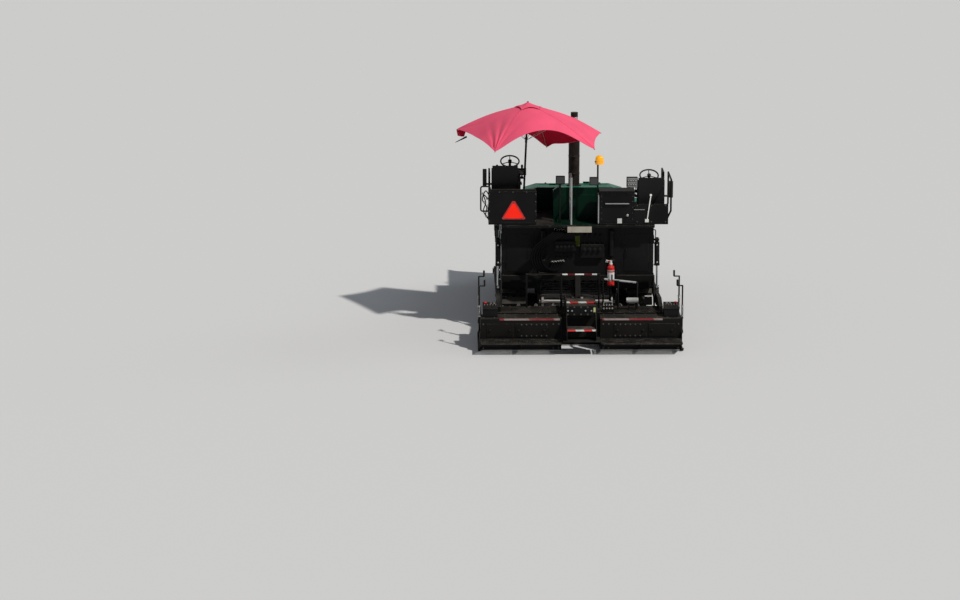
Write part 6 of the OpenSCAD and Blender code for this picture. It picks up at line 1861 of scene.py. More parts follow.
        knob = Shape().rod((1.19, 2.62, 2.44), (1.19, 2.62, 2.66), 0.012, 14)
        knob.lathe((1.19, 2.62, 2.65), (0, 0, 1), [(0, 0.015), (0.02, 0.034), (0.055, 0.036),
                                                   (0.075, 0.02)], 24)
        knob.rod((1.13, 2.6, 2.62), (1.19, 2.62, 2.62), 0.01, 12)
        make("side_console_grip", knob, Shop.WHITE, Home("station_right", "rail_grey"), smooth=True)

    def _left_gear(self) -> None:
        """Hangs the bent guard, two leads and their plugs outboard of the left rear panel."""
        home = Home("station_left", "black_steel")
        y = 1.86
        guard = [(-1.61, 1.81, 2.62), (-1.61, y, 2.62), (-1.62, y, 2.75), (-1.79, y, 2.75),
                 (-1.79, y, 2.29), (-1.61, y, 2.29), (-1.61, 1.81, 2.29)]
        self.recipes.tube("left_side_guard", guard, 0.014, 0.035, Shop.BLACK, home, 16)
        for k, lead in enumerate(([(-1.62, 1.81, 2.5), (-1.66, 1.83, 2.53), (-1.74, 1.835, 2.6),
                                   (-1.7, 1.835, 2.45), (-1.74, 1.835, 2.3), (-1.66, 1.83, 2.16),
                                   (-1.62, 1.81, 2.14)], [(-1.62, 1.81, 2.56), (-1.7, 1.9, 2.66),
                                                          (-1.76, 1.9, 2.5), (-1.68, 1.9, 2.36),
                                                          (-1.7, 1.9, 2.2), (-1.62, 1.81, 2.18)])):
            make(f"left_side_lead_{k}", Shape().sweep(smooth_path(lead, 6), 0.01, 10), Shop.HOSE,
                 Home("station_left", "hose_rubber"), smooth=True)
        plugs = Shape()
        for x, py, z, way in ((-1.675, 1.835, 2.53, (0.6, 0, 1)), (-1.721, 1.835, 2.46, (-0.3, 0, 1)),
                              (-1.69, 1.835, 2.2, (1, 0, 0.8)), (-1.752, 1.9, 2.61, (0.5, 0, 1))):
            plugs.lathe((x, py, z), way, [(-0.02, 0.012), (-0.018, 0.017), (0.018, 0.017), (0.02, 0.012)], 12)
        make("left_side_plugs", plugs, Shop.ZINC, Home("station_left", "worn_steel"), smooth=True)

    def _right_gear(self) -> None:
        """Fits the pale rod with its foot block and the thin strips of the right rear panel."""
        rod = Shape().rod((1.325, 1.772, 2.6), (1.262, 1.772, 2.14), 0.011, 16, 0.003)
        rod.box((1.222, 1.292), (1.757, 1.79), (2.095, 2.15))
        rod.box((1.305, 1.345), (1.765, 1.79), (2.585, 2.615))
        make("right_panel_rod", rod, Shop.WHITE, Home("station_right", "rail_grey"), smooth=True)
        strips = Shape().box((1.02, 1.22), (1.784, 1.7902), (2.32, 2.332))
        make("right_panel_strip", strips, Shop.STEEL, Home("station_right", "worn_steel"))

    def _tool_box(self) -> None:
        """Adds the tool box's frame, sleeve, bare plate, lock and catches, and the slim rail beside it."""
        home = Home("station_right", "black_steel")
        y = self.box_y
        seams = Shape()
        seams.box((0.41, 1.01), (y - 0.004, y), (2.595, 2.62))
        seams.box((0.41, 1.01), (y - 0.004, y), (2.09, 2.115))
        seams.box((0.41, 0.435), (y - 0.004, y), (2.115, 2.595))
        seams.box((0.985, 1.01), (y - 0.004, y), (2.115, 2.595))
        make("tool_box_frame", seams, Shop.BLACK_CLEAN, home, bevel=0.001)
        sleeve = Shape().rod((0.492, y - 0.034, 2.44), (0.928, y - 0.034, 2.44), 0.0115, 18, 0.002)
        make("tool_box_handle_sleeve", sleeve, Shop.GREY, Home("station_right", "rail_grey"), smooth=True)
        plate = Shape().box((0.716, 0.8), (y - 0.007, y - 0.0035), (2.068, 2.16))
        make("tool_box_bare_plate", plate, Shop.WHITE, home, bevel=0.001)
        lock = Shape()
        lock.lathe((0.9, y - 0.016, 2.22), (0, -1, 0), [(0, 0.024), (0.006, 0.024), (0.009, 0.02),
                                                        (0.009, 0.012), (0.005, 0.011)], 28)
        lock.box((0.885, 0.915), (y - 0.032, y - 0.02), (2.214, 2.226))
        make("tool_box_lock", lock, Shop.ZINC, Home("station_right", "worn_steel"), smooth=True)
        catches = Shape()
        for x in (0.52, 0.9):
            catches.box((x - 0.02, x + 0.02), (y - 0.013, y - 0.006), (2.6, 2.668))
            catches.rod((x - 0.024, y - 0.012, 2.645), (x + 0.024, y - 0.012, 2.645), 0.006, 12)
        make("tool_box_catches", catches, Shop.BLACK_CLEAN, Home("tool_box_lid", "black_steel"), bevel=0.001)
        self.recipes.bolt("tool_box_rivets", [(x, y - 0.004, z) for x in (0.4225, 0.9975)
                                              for z in (2.15, 2.26, 2.37, 2.48, 2.57)], (0, -1, 0), home,
                          radius=0.006, height=0.004, sides=12)
        self.recipes.bolt("right_panel_bolts", [(x, 1.79, z) for x in (1.08, 1.34, 1.6)
                                                for z in (2.1, 2.4)], (0, -1, 0), home, radius=0.009,
                          height=0.006)
        rail = self.recipes.tube("slim_grab_rail", [(0.37, 1.815, 2.066), (0.37, 1.815, 2.6),
                                                    (0.37, 1.972, 2.6)], 0.012, 0.05, Shop.GREY,
                                 Home("station_right", "rail_grey"), 16)
        log.info("%s stands beside the tool box", rail.name)

    def _lamps(self) -> None:
        """Fits the two work lamps with lens, rim, fins and lead."""
        for word, body, x, y, z in (("left", "tractor", -0.33, 1.99, 2.79),
                                    ("right", "station_right", 0.285, 1.92, 2.78)):
            home = Home(body, "black_steel")
            lens = Shape().box((x - 0.07, x + 0.07), (y - 0.0765, y - 0.072), (z + 0.002, z + 0.128))
            make(f"work_lamp_lens_{word}", lens, Shop.DARK_GLASS, home, bevel=0.0015)
            rim = Shape()
            rim.box((x - 0.084, x + 0.084), (y - 0.081, y - 0.072), (z - 0.009, z + 0.003))
            rim.box((x - 0.084, x + 0.084), (y - 0.081, y - 0.072), (z + 0.127, z + 0.139))
            for s in (-1, 1):
                a, b = sorted((x + s * 0.07, x + s * 0.084))
                rim.box((a, b), (y - 0.081, y - 0.072), (z + 0.003, z + 0.127))
            make(f"work_lamp_rim_{word}", rim, Shop.PLASTIC, home, bevel=0.002)
            self.recipes.bars(f"work_lamp_fins_{word}", 9, (x - 0.06, y + 0.034, z + 0.065), (0.015, 0, 0),
                              (0.004, 0.022, 0.11), Shop.PLASTIC, home)
        lead = [(-0.33, 2.03, 2.83), (-0.352, 2.035, 2.78), (-0.349, 2.0, 2.6), (-0.347, 2.0, 2.3),
                (-0.348, 1.998, 2.06)]
        self.recipes.tube("work_lamp_wire", lead, 0.0045, 0.03, Shop.HOSE, Home("tractor", "hose_rubber"), 8)

    def _beacon(self) -> None:
        """Adds the beacon's foot and its ribbed outer dome."""
        x, y, z = self.beacon
        foot = Shape().lathe((x, y, z), (0, 0, 1), [(-0.03, 0.02), (-0.022, 0.034), (-0.004, 0.059),
                                                    (0.012, 0.0595), (0.016, 0.052)], 32)
        make("beacon_foot", foot, Shop.PLASTIC, Home("station_right", "black_steel"), smooth=True)
        dome = Shape().lathe((x + 0.03, y, 3.135), (0, 0, 1), [(0, 0.06), (0.004, 0.082), (0.02, 0.082),
                                                               (0.022, 0.076), (0.04, 0.077),
                                                               (0.042, 0.081), (0.05, 0.081),
                                                               (0.052, 0.076), (0.07, 0.077),
                                                               (0.072, 0.08), (0.08, 0.08),
                                                               (0.082, 0.074), (0.12, 0.07),
                                                               (0.15, 0.052), (0.166, 0.024),
                                                               (0.17, 0.004)], 40)
        make("beacon_dome", dome, Shop.AMBER, Home("station_right", "amber_lens"), smooth=True)


@dataclass
class Rear(Assembly):
    """Dress of the tractor's rear: cover sheets, a deck sheet of painted shade, valve gear and its pipes."""

    face_y: float = 2.05
    deck_y: float = 1.78
    deck_z: float = 2.04
    spool_xs: tuple[float, ...] = tuple(-0.38 + 0.072 * i for i in range(5))
    block_xs: tuple[float, ...] = tuple(0.12 + 0.095 * i for i in range(4))
    home: Home = Home("tractor", "black_steel")

    def build(self) -> None:
        """Dresses the rear face and the deck."""
        self._sheets()
        self._deck()
        self._valves()

    def _sheets(self) -> None:
        """Covers the side bodies' rear faces with black sheets that carry a hinged hatch each."""
        y = self.face_y
        sheets, hatches, pulls, spots = Shape(), Shape(), Shape(), []
        for s in (-1, 1):
            a, b = sorted((s * 0.792, s * 1.392))
            sheets.box((a, b), (y - 0.003, y - 0.0002), (0.794, 1.984))
            a, b = sorted((s * 0.86, s * 1.31))
            hatches.box((a, b), (y - 0.011, y - 0.003), (1.12, 1.82))
            for z in (1.24, 1.7):
                pulls.rod((s * 1.322, y - 0.01, z - 0.05), (s * 1.322, y - 0.01, z + 0.05), 0.007, 12, 0.001)
            pulls.sweep(smooth_path([(s * 0.9, y - 0.008, 1.4), (s * 0.9, y - 0.045, 1.41),
                                     (s * 0.9, y - 0.045, 1.53), (s * 0.9, y - 0.008, 1.54)], 5), 0.006,
                        10)
            spots += [(s * x, y - 0.003, z) for x in (0.815, 1.37) for z in (0.83, 1.05, 1.3, 1.6, 1.94)]
        make("rear_sheets", sheets, Shop.BLACK, self.home, bevel=0.001)
        make("rear_hatches", hatches, Shop.BLACK, self.home, bevel=0.004)
        make("rear_hatch_gear", pulls, Shop.BLACK_CLEAN, self.home, smooth=True)
        self.recipes.bolt("rear_sheet_bolts", spots, (0, -1, 0), self.home, finish=Shop.BLACK)

    def _deck(self) -> None:
        """Lays a very dark green sheet between the stations as painted shade on the deck, and fits the rear
        edge's board and strip.
        """
        # The sheet is painted shade: its very dark green stands for the deck in shadow.
        sheet = Shape().box((-0.44, 0.39), (self.deck_y + 0.004, 2.344),
                            (self.deck_z + 0.0002, self.deck_z + 0.003))
        make("deck_shade_sheet", sheet, Shop.DECK_SHADE, Home("tractor", "green_steel"), bevel=0.001)
        board = Shape().box((-0.2, 0.245), (self.deck_y - 0.024, self.deck_y - 0.004), (1.905, 2.014))
        make("deck_edge_board", board, Shop.PLANK, Home("tractor", "deck_steel"), bevel=0.003)
        spots = [(x, y, self.deck_z + 0.003) for x in (-0.4, 0.36) for y in (1.81, 2.06, 2.31)]
        self.recipes.bolt("deck_sheet_bolts", spots, (0, 0, 1), Home("tractor", "green_steel"),
                          radius=0.008, height=0.003, finish=Shop.BLACK, sides=12)
        edge = Shape().box((-1.395, 1.395), (self.deck_y - 0.004, self.deck_y - 0.0002), (1.994, 2.034))
        make("deck_edge_strip", edge, Shop.BLACK, self.home, bevel=0.001)
        self.recipes.bolt("deck_edge_bolts", [(-1.3 + 0.26 * i, self.deck_y - 0.004, 2.014)
                                              for i in range(11)], (0, -1, 0), self.home, radius=0.008,
                          height=0.005, finish=Shop.BLACK)

    def _valves(self) -> None:
        """Adds coils and nuts to the valve spools, bands to the filters, a flask and the hard pipes."""
        coils, nuts, bands = Shape(), Shape(), Shape()
        rows = [(x, 1.9, 1.61, 0.022) for x in self.spool_xs]
        rows += [(x, 1.88, 1.56, 0.026) for x in self.block_xs]
        for x, y, z, r in rows:
            coils.lathe((x, y + 0.02, z), (0, -1, 0), [(0, r), (0.001, r + 0.005), (0.032, r + 0.005),
                                                       (0.034, r - 0.004)], 24)
            nuts.lathe((x, y - 0.014, z), (0, -1, 0), [(0, r * 0.6), (0.012, r * 0.6), (0.015, r * 0.4)], 6)
        for x in (-0.64, 0.62):
            for z in (1.44, 1.62, 1.87):
                bands.lathe((x, 1.98, z), (0, 0, 1), [(-0.012, 0.0452), (-0.011, 0.048), (0.011, 0.048),
                                                      (0.012, 0.0452)], 32)
            bands.lathe((x, 1.98, 1.4), (0, 0, 1), [(-0.012, 0.02), (0.0, 0.035), (0.03, 0.0455)], 32)
        make("valve_coils", coils, Shop.PLASTIC, self.home, smooth=True)
        flask = Shape().box((-0.055, 0.045), (2.0, self.face_y - 0.0002), (1.59, 1.8))
        make("olive_flask", flask, Shop.OLIVE, self.home, bevel=0.012)
        make("valve_nuts", nuts, Shop.BLACK_CLEAN, self.home, bevel=0.0008)
        make("filter_bands", bands, Shop.BLACK_CLEAN, self.home, smooth=True)
        for i, x in enumerate(self.spool_xs):
            self.recipes.tube(f"valve_pipe_{i}", [(x, 1.975, 1.525), (x, 1.975, 1.42),
                                                  (x - 0.02, 2.034, 1.38)], 0.008, 0.03, Shop.BLACK_CLEAN,
                              self.home, 12)
        for i, x in enumerate(self.block_xs):
            self.recipes.tube(f"block_pipe_{i}", [(x, 1.975, 1.635), (x, 1.975, 1.8),
                                                  (x + 0.03, 2.034, 1.84)], 0.009, 0.035,
                              Shop.BLACK_CLEAN, self.home, 12)


@dataclass
class Hood(Assembly):
    """Dress of the hood: stack gear, door ribs and latches, louvre fins, grille, tail panel and rivets."""

    rear_y: float = 3.3
    top_z: float = 2.46
    slope: float = math.atan2(0.18, 1.4)
    half: float = 0.95
    front_y: float = 4.7
    home: Home = Home("tractor", "green_steel")
    door: Home = Home("hood_door", "green_steel")

    def on(self, x: float, run: float, up: float = 0.0) -> Point:
        """A place run metres down the sloped top and up metres off it."""
        c, s = math.cos(self.slope), math.sin(self.slope)
        return x, self.rear_y + run * c + up * s, self.top_z - run * s + up * c

    def slab(self, shape: Shape, x: Span, run: Span, up: Span) -> None:
        """Adds a block that lies on the sloped top."""
        shape.prism(Axis.ACROSS, x, [self.on(0, r, u)[1:] for r, u in ((run[0], up[0]), (run[1], up[0]),
                                                                     (run[1], up[1]), (run[0], up[1]))])

    def build(self) -> None:
        """Dresses the hood from its door to its grille."""
        self._door()
        self._stack()
        self._sides()
        self._tail()

    def _door(self) -> None:
        """Ribs the hood door and gives it latches and hinge bolts."""
        ribs, latch = Shape(), Shape()
        for x in (-0.42, 0.0, 0.42):
            self.slab(ribs, (x - 0.022, x + 0.022), (0.87, 1.12), (0.006, 0.018))
        make("hood_door_ribs", ribs, Shop.GREEN, self.door, bevel=0.004)
        way = Vector((0, math.sin(self.slope), math.cos(self.slope)))
        for x in (-0.52, 0.52):
            latch.lathe(self.on(x, 1.17, 0.005), tuple(way), [(0, 0.024), (0.005, 0.024), (0.007, 0.018),
                                                              (0.02, 0.014), (0.024, 0.01)], 24)
        make("hood_door_latches", latch, Shop.PLASTIC, Home("hood_door", "black_steel"), smooth=True)
        spots = [self.on(x + a, 0.86, 0.012) for x in (-0.4, 0.4) for a in (-0.035, 0.035)]
        self.recipes.bolt("hood_hinge_bolts", spots, tuple(way), Home("hood_door", "black_steel"),
                          radius=0.009, height=0.006)
        rim = Shape()
        self.slab(rim, (-0.668, -0.648), (0.8, 1.24), (0.0002, 0.005))
        self.slab(rim, (0.648, 0.668), (0.8, 1.24), (0.0002, 0.005))
        self.slab(rim, (-0.668, 0.668), (1.228, 1.245), (0.0002, 0.005))
        make("hood_door_rim", rim, Shop.GREEN, self.home, bevel=0.0015)

    def _stack(self) -> None:
        """Bands the stack, tips it with bright pipe and bolts its flange."""
        y = self.rear_y + 0.55
        bands = Shape()
        for z in (2.62, 2.95, 3.42):
            bands.lathe((0, y, z), (0, 0, 1), [(0, 0.1052), (0.001, 0.1085), (0.027, 0.1085),
                                               (0.028, 0.1052)], 40)
            bands.box((-0.012, 0.012), (y - 0.135, y - 0.105), (z + 0.002, z + 0.026))
            bands.rod((-0.024, y - 0.122, z + 0.014), (0.024, y - 0.122, z + 0.014), 0.005, 10)
        make("stack_bands", bands, Shop.STACK, Home("tractor", "stack_steel"), smooth=True)
        for name, z, long, finish in (("stack_tip", 3.655, 0.06, Shop.BRIGHT),
                                      ("stack_end", 3.715, 0.085, Shop.STACK)):
            ring = Shape().lathe((0, y, z), (0, 0, 1), [(0, 0.0652), (0.002, 0.068),
                                                        (long - 0.002, 0.068), (long, 0.066),
                                                        (long, 0.0655)], 40)
            make(name, ring, finish, Home("tractor", "stack_steel"), smooth=True)
        run = 0.55 / math.cos(self.slope)
        way = (0, math.sin(self.slope), math.cos(self.slope))
        ring = [self.on(0.124 * math.cos(a), run + 0.124 * math.sin(a), 0.014)
                for a in (math.tau * k / 8 for k in range(8))]
        self.recipes.bolt("stack_flange_bolts", ring, way, Home("tractor", "stack_steel"), radius=0.01)

    def _sides(self) -> None:
        """Fits the louvre fins, the grille bars, the rivets and the side grips of the hood."""
        for side in Side:
            s = side.value
            self.recipes.bars(f"hood_louvre_fins_{side.word}", 14,
                              (s * (self.half + 0.004), self.rear_y + 0.5325, 2.11), (0, 0.05, 0),
                              (0.01, 0.004, 0.124), Shop.GREEN, self.home)
            spots = [(s * (self.half + 0.0001), self.rear_y + 0.06 + 0.105 * i, 2.02) for i in range(13)]
            self.recipes.bolt(f"hood_side_rivets_{side.word}", spots, (s, 0, 0), self.home, radius=0.007,
                              height=0.004, finish=Shop.GREEN, sides=12)
            grip = [(s * self.half, 3.42, 2.2), (s * (self.half + 0.045), 3.42, 2.2),
                    (s * (self.half + 0.045), 3.68, 2.2), (s * self.half, 3.68, 2.2)]
            self.recipes.tube(f"hood_side_grip_{side.word}", grip, 0.008, 0.02, Shop.PLASTIC,
                              Home("tractor", "black_steel"))
        self.recipes.bars("radiator_grille_bars", 6, (0, self.front_y + 0.0025, 2.065), (0, 0, 0.026),
                          (1.28, 0.004, 0.006), Shop.BLACK, Home("tractor", "black_steel"))
        face = [(x, self.front_y + 0.0001, z) for x in (-0.9, -0.72, 0.72, 0.9) for z in (2.03, 2.15)]
        self.recipes.bolt("radiator_frame_bolts", face, (0, 1, 0), Home("tractor", "black_steel"),
                          radius=0.009)
        rear = [(s * x, self.rear_y - 0.0001, z) for s in (-1, 1) for x in (0.5, 0.68, 0.86)
                for z in (2.08, 2.34)]
        self.recipes.bolt("hood_rear_rivets", rear, (0, -1, 0), self.home, radius=0.007, height=0.004,
                          finish=Shop.GREEN, sides=12)

    def _tail(self) -> None:
        """Rivets the hood's tail and sets an access panel into its rear face."""
        y = 2.35
        panel = Shape().box((-0.33, 0.33), (y - 0.0035, y - 0.0002), (2.13, 2.5))
        make("tail_access_panel", panel, Shop.GREEN, self.home, bevel=0.0015)
        spots = [(s * 0.415, y, 2.1 + 0.1 * i) for s in (-1, 1) for i in range(5)]
        spots += [(-0.3 + 0.15 * i, y - 0.0035, z) for i in range(5) for z in (2.145, 2.485)]
        self.recipes.bolt("tail_rivets", spots, (0, -1, 0), self.home, radius=0.006, height=0.003,
                          finish=Shop.GREEN, sides=12)
        for side in Side:
            s = side.value
            self.recipes.bolt(f"tail_side_rivets_{side.word}",
                              [(s * 0.44, 2.42 + 0.14 * i, 2.12) for i in range(6)], (s, 0, 0), self.home,
                              radius=0.006, height=0.003, finish=Shop.GREEN, sides=12)


@dataclass
class Flanks(Assembly):
    """Dress of the two side bodies: latches, hinges, louvre slats, steps, grips and filler caps."""

    face_x: float = 1.405
    rear_y: float = 2.05
    low: float = 0.79
    top: float = 1.99
    # Start from the rear, length, louvre slots
    doors: tuple[tuple[float, float, int], ...] = ((0.06, 0.9, 0), (1.0, 0.76, 9), (1.8, 0.78, 9))

    def build(self) -> None:
        """Dresses both side bodies."""
        for side in Side:
            self._doors(side)
            self._steps(side)
            self._caps(side)

    def _doors(self, side: Side) -> None:
        """Adds latches, hinges, slats and bolts to the doors of one side body."""
        s, x = side.value, self.face_x
        home, dark = Home("tractor", "green_steel"), Home("tractor", "black_steel")
        latch, hinges, spots = Shape(), Shape(), []
        for start, long, slots in self.doors:
            y0, y1 = self.rear_y + start, self.rear_y + start + long
            m = y1 - 0.08
            latch.box((x, x + 0.004), (m - 0.045, m + 0.045), (1.42, 1.54))
            latch.box((x + 0.004, x + 0.014), (m - 0.03, m + 0.03), (1.435, 1.5))
            latch.rod((x + 0.004, m, 1.52), (x + 0.011, m, 1.52), 0.011, 16, 0.002)
            for z in (1.02, 1.72):
                hinges.rod((x + 0.006, y0 + 0.004, z - 0.05), (x + 0.006, y0 + 0.004, z + 0.05), 0.007,
                           12, 0.001)
                hinges.box((x, x + 0.003), (y0 + 0.006, y0 + 0.05), (z - 0.045, z + 0.045))
                spots += [(s * (x + 0.003), y0 + 0.035, z + d) for d in (-0.028, 0.028)]
            if slots:
                self.recipes.bars(f"door_slats_{side.word}_{round(start * 10)}", slots,
                                  (s * (x + 0.001), (y0 + y1) / 2, self.low + 0.208), (0, 0, 0.055),
                                  (0.014, long - 0.226, 0.005), Shop.GREEN, home)
        make(f"door_latches_{side.word}", latch.flip_to(side), Shop.PLASTIC, dark, bevel=0.002)
        make(f"door_hinges_{side.word}", hinges.flip_to(side), Shop.BLACK_CLEAN, dark, bevel=0.0008)
        self.recipes.bolt(f"door_hinge_bolts_{side.word}", spots, (s, 0, 0), dark, radius=0.007, height=0.005)
        rim = [(s * (x + 0.0001), self.rear_y + 0.03 + 0.147 * i, z) for i in range(18)
               for z in (self.low + 0.025, self.top - 0.05)]
        self.recipes.bolt(f"side_body_rivets_{side.word}", rim, (s, 0, 0), home, radius=0.006, height=0.003,
                          finish=Shop.GREEN, sides=12)

    def _steps(self, side: Side) -> None:
        """Lays tread plates into the two step niches and fits a hand grip above them."""
        x = self.face_x
        plates, tape = Shape(), Shape()
        for z in (1.15, 1.5):
            plates.box((x - 0.086, x + 0.004), (self.rear_y + 0.244, self.rear_y + 0.556),
                       (z + 0.0002, z + 0.007))
            tape.box((x + 0.0002, x + 0.0022), (self.rear_y + 0.25, self.rear_y + 0.55),
                     (z - 0.03, z - 0.002))
        make(f"side_step_treads_{side.word}", plates.flip_to(side), Shop.GRATE,
             Home("tractor", "deck_steel"), bevel=0.001)
        make(f"side_step_tape_{side.word}", tape.flip_to(side), Shop.TAPE, Home("tractor", "warning_red"))
        s = side.value
        grip = [(s * x, 2.23, 1.2), (s * (x + 0.05), 2.25, 1.2), (s * (x + 0.05), 2.25, 1.86),
                (s * x, 2.23, 1.86)]
        self.recipes.tube(f"side_step_grip_{side.word}", grip, 0.011, 0.03, Shop.GREY,
                          Home("tractor", "rail_grey"))

    def _caps(self, side: Side) -> None:
        """Fits the filler with its cap and tie-down loops on top of one side body."""
        home = Home("tractor", "black_steel")
        x, y, z = 1.2, 3.95, self.top
        cap = Shape().lathe((x, y, z - 0.001), (0, 0, 1), [(0, 0.062), (0.008, 0.062), (0.009, 0.046),
                                                           (0.03, 0.046), (0.031, 0.057), (0.058, 0.056),
                                                           (0.064, 0.046), (0.066, 0.012)], 36)
        for k in range(6):
            a = math.tau * k / 6
            rx, ry = x + 0.056 * math.cos(a), y + 0.056 * math.sin(a)
            cap.rod((rx, ry, z + 0.03), (rx, ry, z + 0.058), 0.007, 10)
        make(f"filler_cap_{side.word}", cap.flip_to(side), Shop.PLASTIC, home, smooth=True)
        loops = Shape()
        for py in (3.5, 4.5):
            loop = [(1.3, py + d, z + up) for d, up in ((-0.04, -0.002), (-0.036, 0.045), (0.036, 0.045),
                                                        (0.04, -0.002))]
            loops.sweep(smooth_path(loop, 6), 0.009, 12)
        make(f"tie_loops_{side.word}", loops.flip_to(side), Shop.BLACK, home, smooth=True)


@dataclass
class Crawlers(Assembly):
    """Dress of the tracks and undercarriages: link pins, shoe bolts, caps and bolt circles."""

    pitch: float = 0.17145
    links: int = 43
    teeth: int = 21
    top: float = 0.035
    shoe_out: float = 0.08
    centre_x: float = 1.17
    rear_y: float = 2.43

    def pin(self, number: float) -> tuple[Vector, float]:
        """Place of a pin along the track and the loop's radius there.

        Args:
            number: Number of the pin, counted from the bottom of the rear wheel forward.

        Returns:
            The place as (0, forward, up) and the radius of the pin circle.
        """
        angle = 4 * math.pi / self.teeth
        r = self.pitch / 2 / math.sin(angle / 2)
        straight, turn = (self.links - self.teeth / 2) / 2, self.teeth / 4
        z, front = r + self.shoe_out, self.rear_y + straight * self.pitch
        if number < straight:
            return Vector((0, self.rear_y + number * self.pitch, z - r)), r
        if number < straight + turn:
            a = (number - straight) * angle
            return Vector((0, front + r * math.sin(a), z - r * math.cos(a))), r
        if number < 2 * straight + turn:
            return Vector((0, front - (number - straight - turn) * self.pitch, z + r)), r
        a = (number - 2 * straight - turn) * angle
        return Vector((0, self.rear_y - r * math.sin(a), z + r * math.cos(a))), r

    def build(self) -> None:
        """Dresses both crawlers."""
        for side in Side:
            self._links(side)
            self._rollers(side)

    def _links(self, side: Side) -> None:
        """Puts pin ends through the link rails and bolts on the shoe plates."""
        s = side.value
        home = Home("tractor", "worn_steel")
        pins, ways, bolts, aims = [], [], [], []
        for i in range(self.links):
            a, b = self.pin(i)[0], self.pin((i + 1) % self.links)[0]
            along = (b - a).normalized()
            out = Vector((0, along.z, -along.y))
            for x in (-0.0905, 0.0905):
                pins.append((s * self.centre_x + x, a.y, a.z))
                ways.append((math.copysign(1.0, x), 0, 0))
            for x in (-0.14, -0.035, 0.035, 0.14):
                spot = (a + b) / 2 + out * (self.top - 0.0085) + along * 0.045
                bolts.append((s * self.centre_x + x, spot.y, spot.z))
                aims.append(tuple(-out))
        self.recipes.bolt(f"link_pin_ends_{side.word}", pins, ways, home, radius=0.02, height=0.007, sides=16)
        self.recipes.bolt(f"shoe_bolts_{side.word}", bolts, aims, home, radius=0.012, height=0.01)

    def _rollers(self, side: Side) -> None:
        """Caps the rollers, the idler and the final drive and bolts the guards."""
        s, x = side.value, self.centre_x
        dark, steel = Home("tractor", "black_steel"), Home("tractor", "worn_steel")
        front = self.rear_y + (self.links - self.teeth / 2) / 2 * self.pitch
        z = self.pin(0)[1] + self.shoe_out
        rail_z = self.shoe_out + 0.04
        first, last = self.rear_y + 0.47, front - 0.4
        caps = Shape()
        for i in range(6):
            y = first + i * (last - first) / 5
            caps.lathe((x + 0.132, y, rail_z + 0.0853), (1, 0, 0),
                       [(0, 0.03), (0.004, 0.03), (0.008, 0.018), (0.008, 0.008)], 24)
        caps.lathe((x + 0.136, front, z), (1, 0, 0), [(0, 0.052), (0.006, 0.052), (0.01, 0.04),
                                                      (0.01, 0.014)], 32)
        caps.lathe((x + 0.13, self.rear_y, z), (1, 0, 0), [(0, 0.06), (0.006, 0.06), (0.008, 0.05),
                                                           (0.008, 0.02), (0.014, 0.016)], 32)
        make(f"roller_caps_{side.word}", caps.flip_to(side), Shop.BLACK_CLEAN, dark, smooth=True)
        ring = [(s * (x + out), self.rear_y + r * math.cos(math.tau * k / n),
                 z + r * math.sin(math.tau * k / n))
                for out, r, n in ((0.13, 0.085, 12), (0.105, 0.13, 16)) for k in range(n)]
        self.recipes.bolt(f"final_drive_bolts_{side.word}", ring, (s, 0, 0), steel, radius=0.01)
        guards = [(s * (x + 0.1221), y, zz) for zz in (0.2, 0.33)
                  for y in (first + 0.07 + 0.255 * i for i in range(9)) if y < front - 0.25]
        self.recipes.bolt(f"guard_bolts_{side.word}", guards, (s, 0, 0), dark, radius=0.012)
        plate = Shape().box((x + 0.1221, x + 0.129), (front - 0.62, front - 0.4), (z - 0.06, z + 0.02))
        make(f"tensioner_cover_{side.word}", plate.flip_to(side), Shop.BLACK, dark, bevel=0.002)
        self.recipes.bolt(f"tensioner_cover_bolts_{side.word}",
                          [(s * (x + 0.129), y, zz) for y in (front - 0.6, front - 0.42)
                           for zz in (z - 0.045, z + 0.005)], (s, 0, 0), dark, radius=0.009)


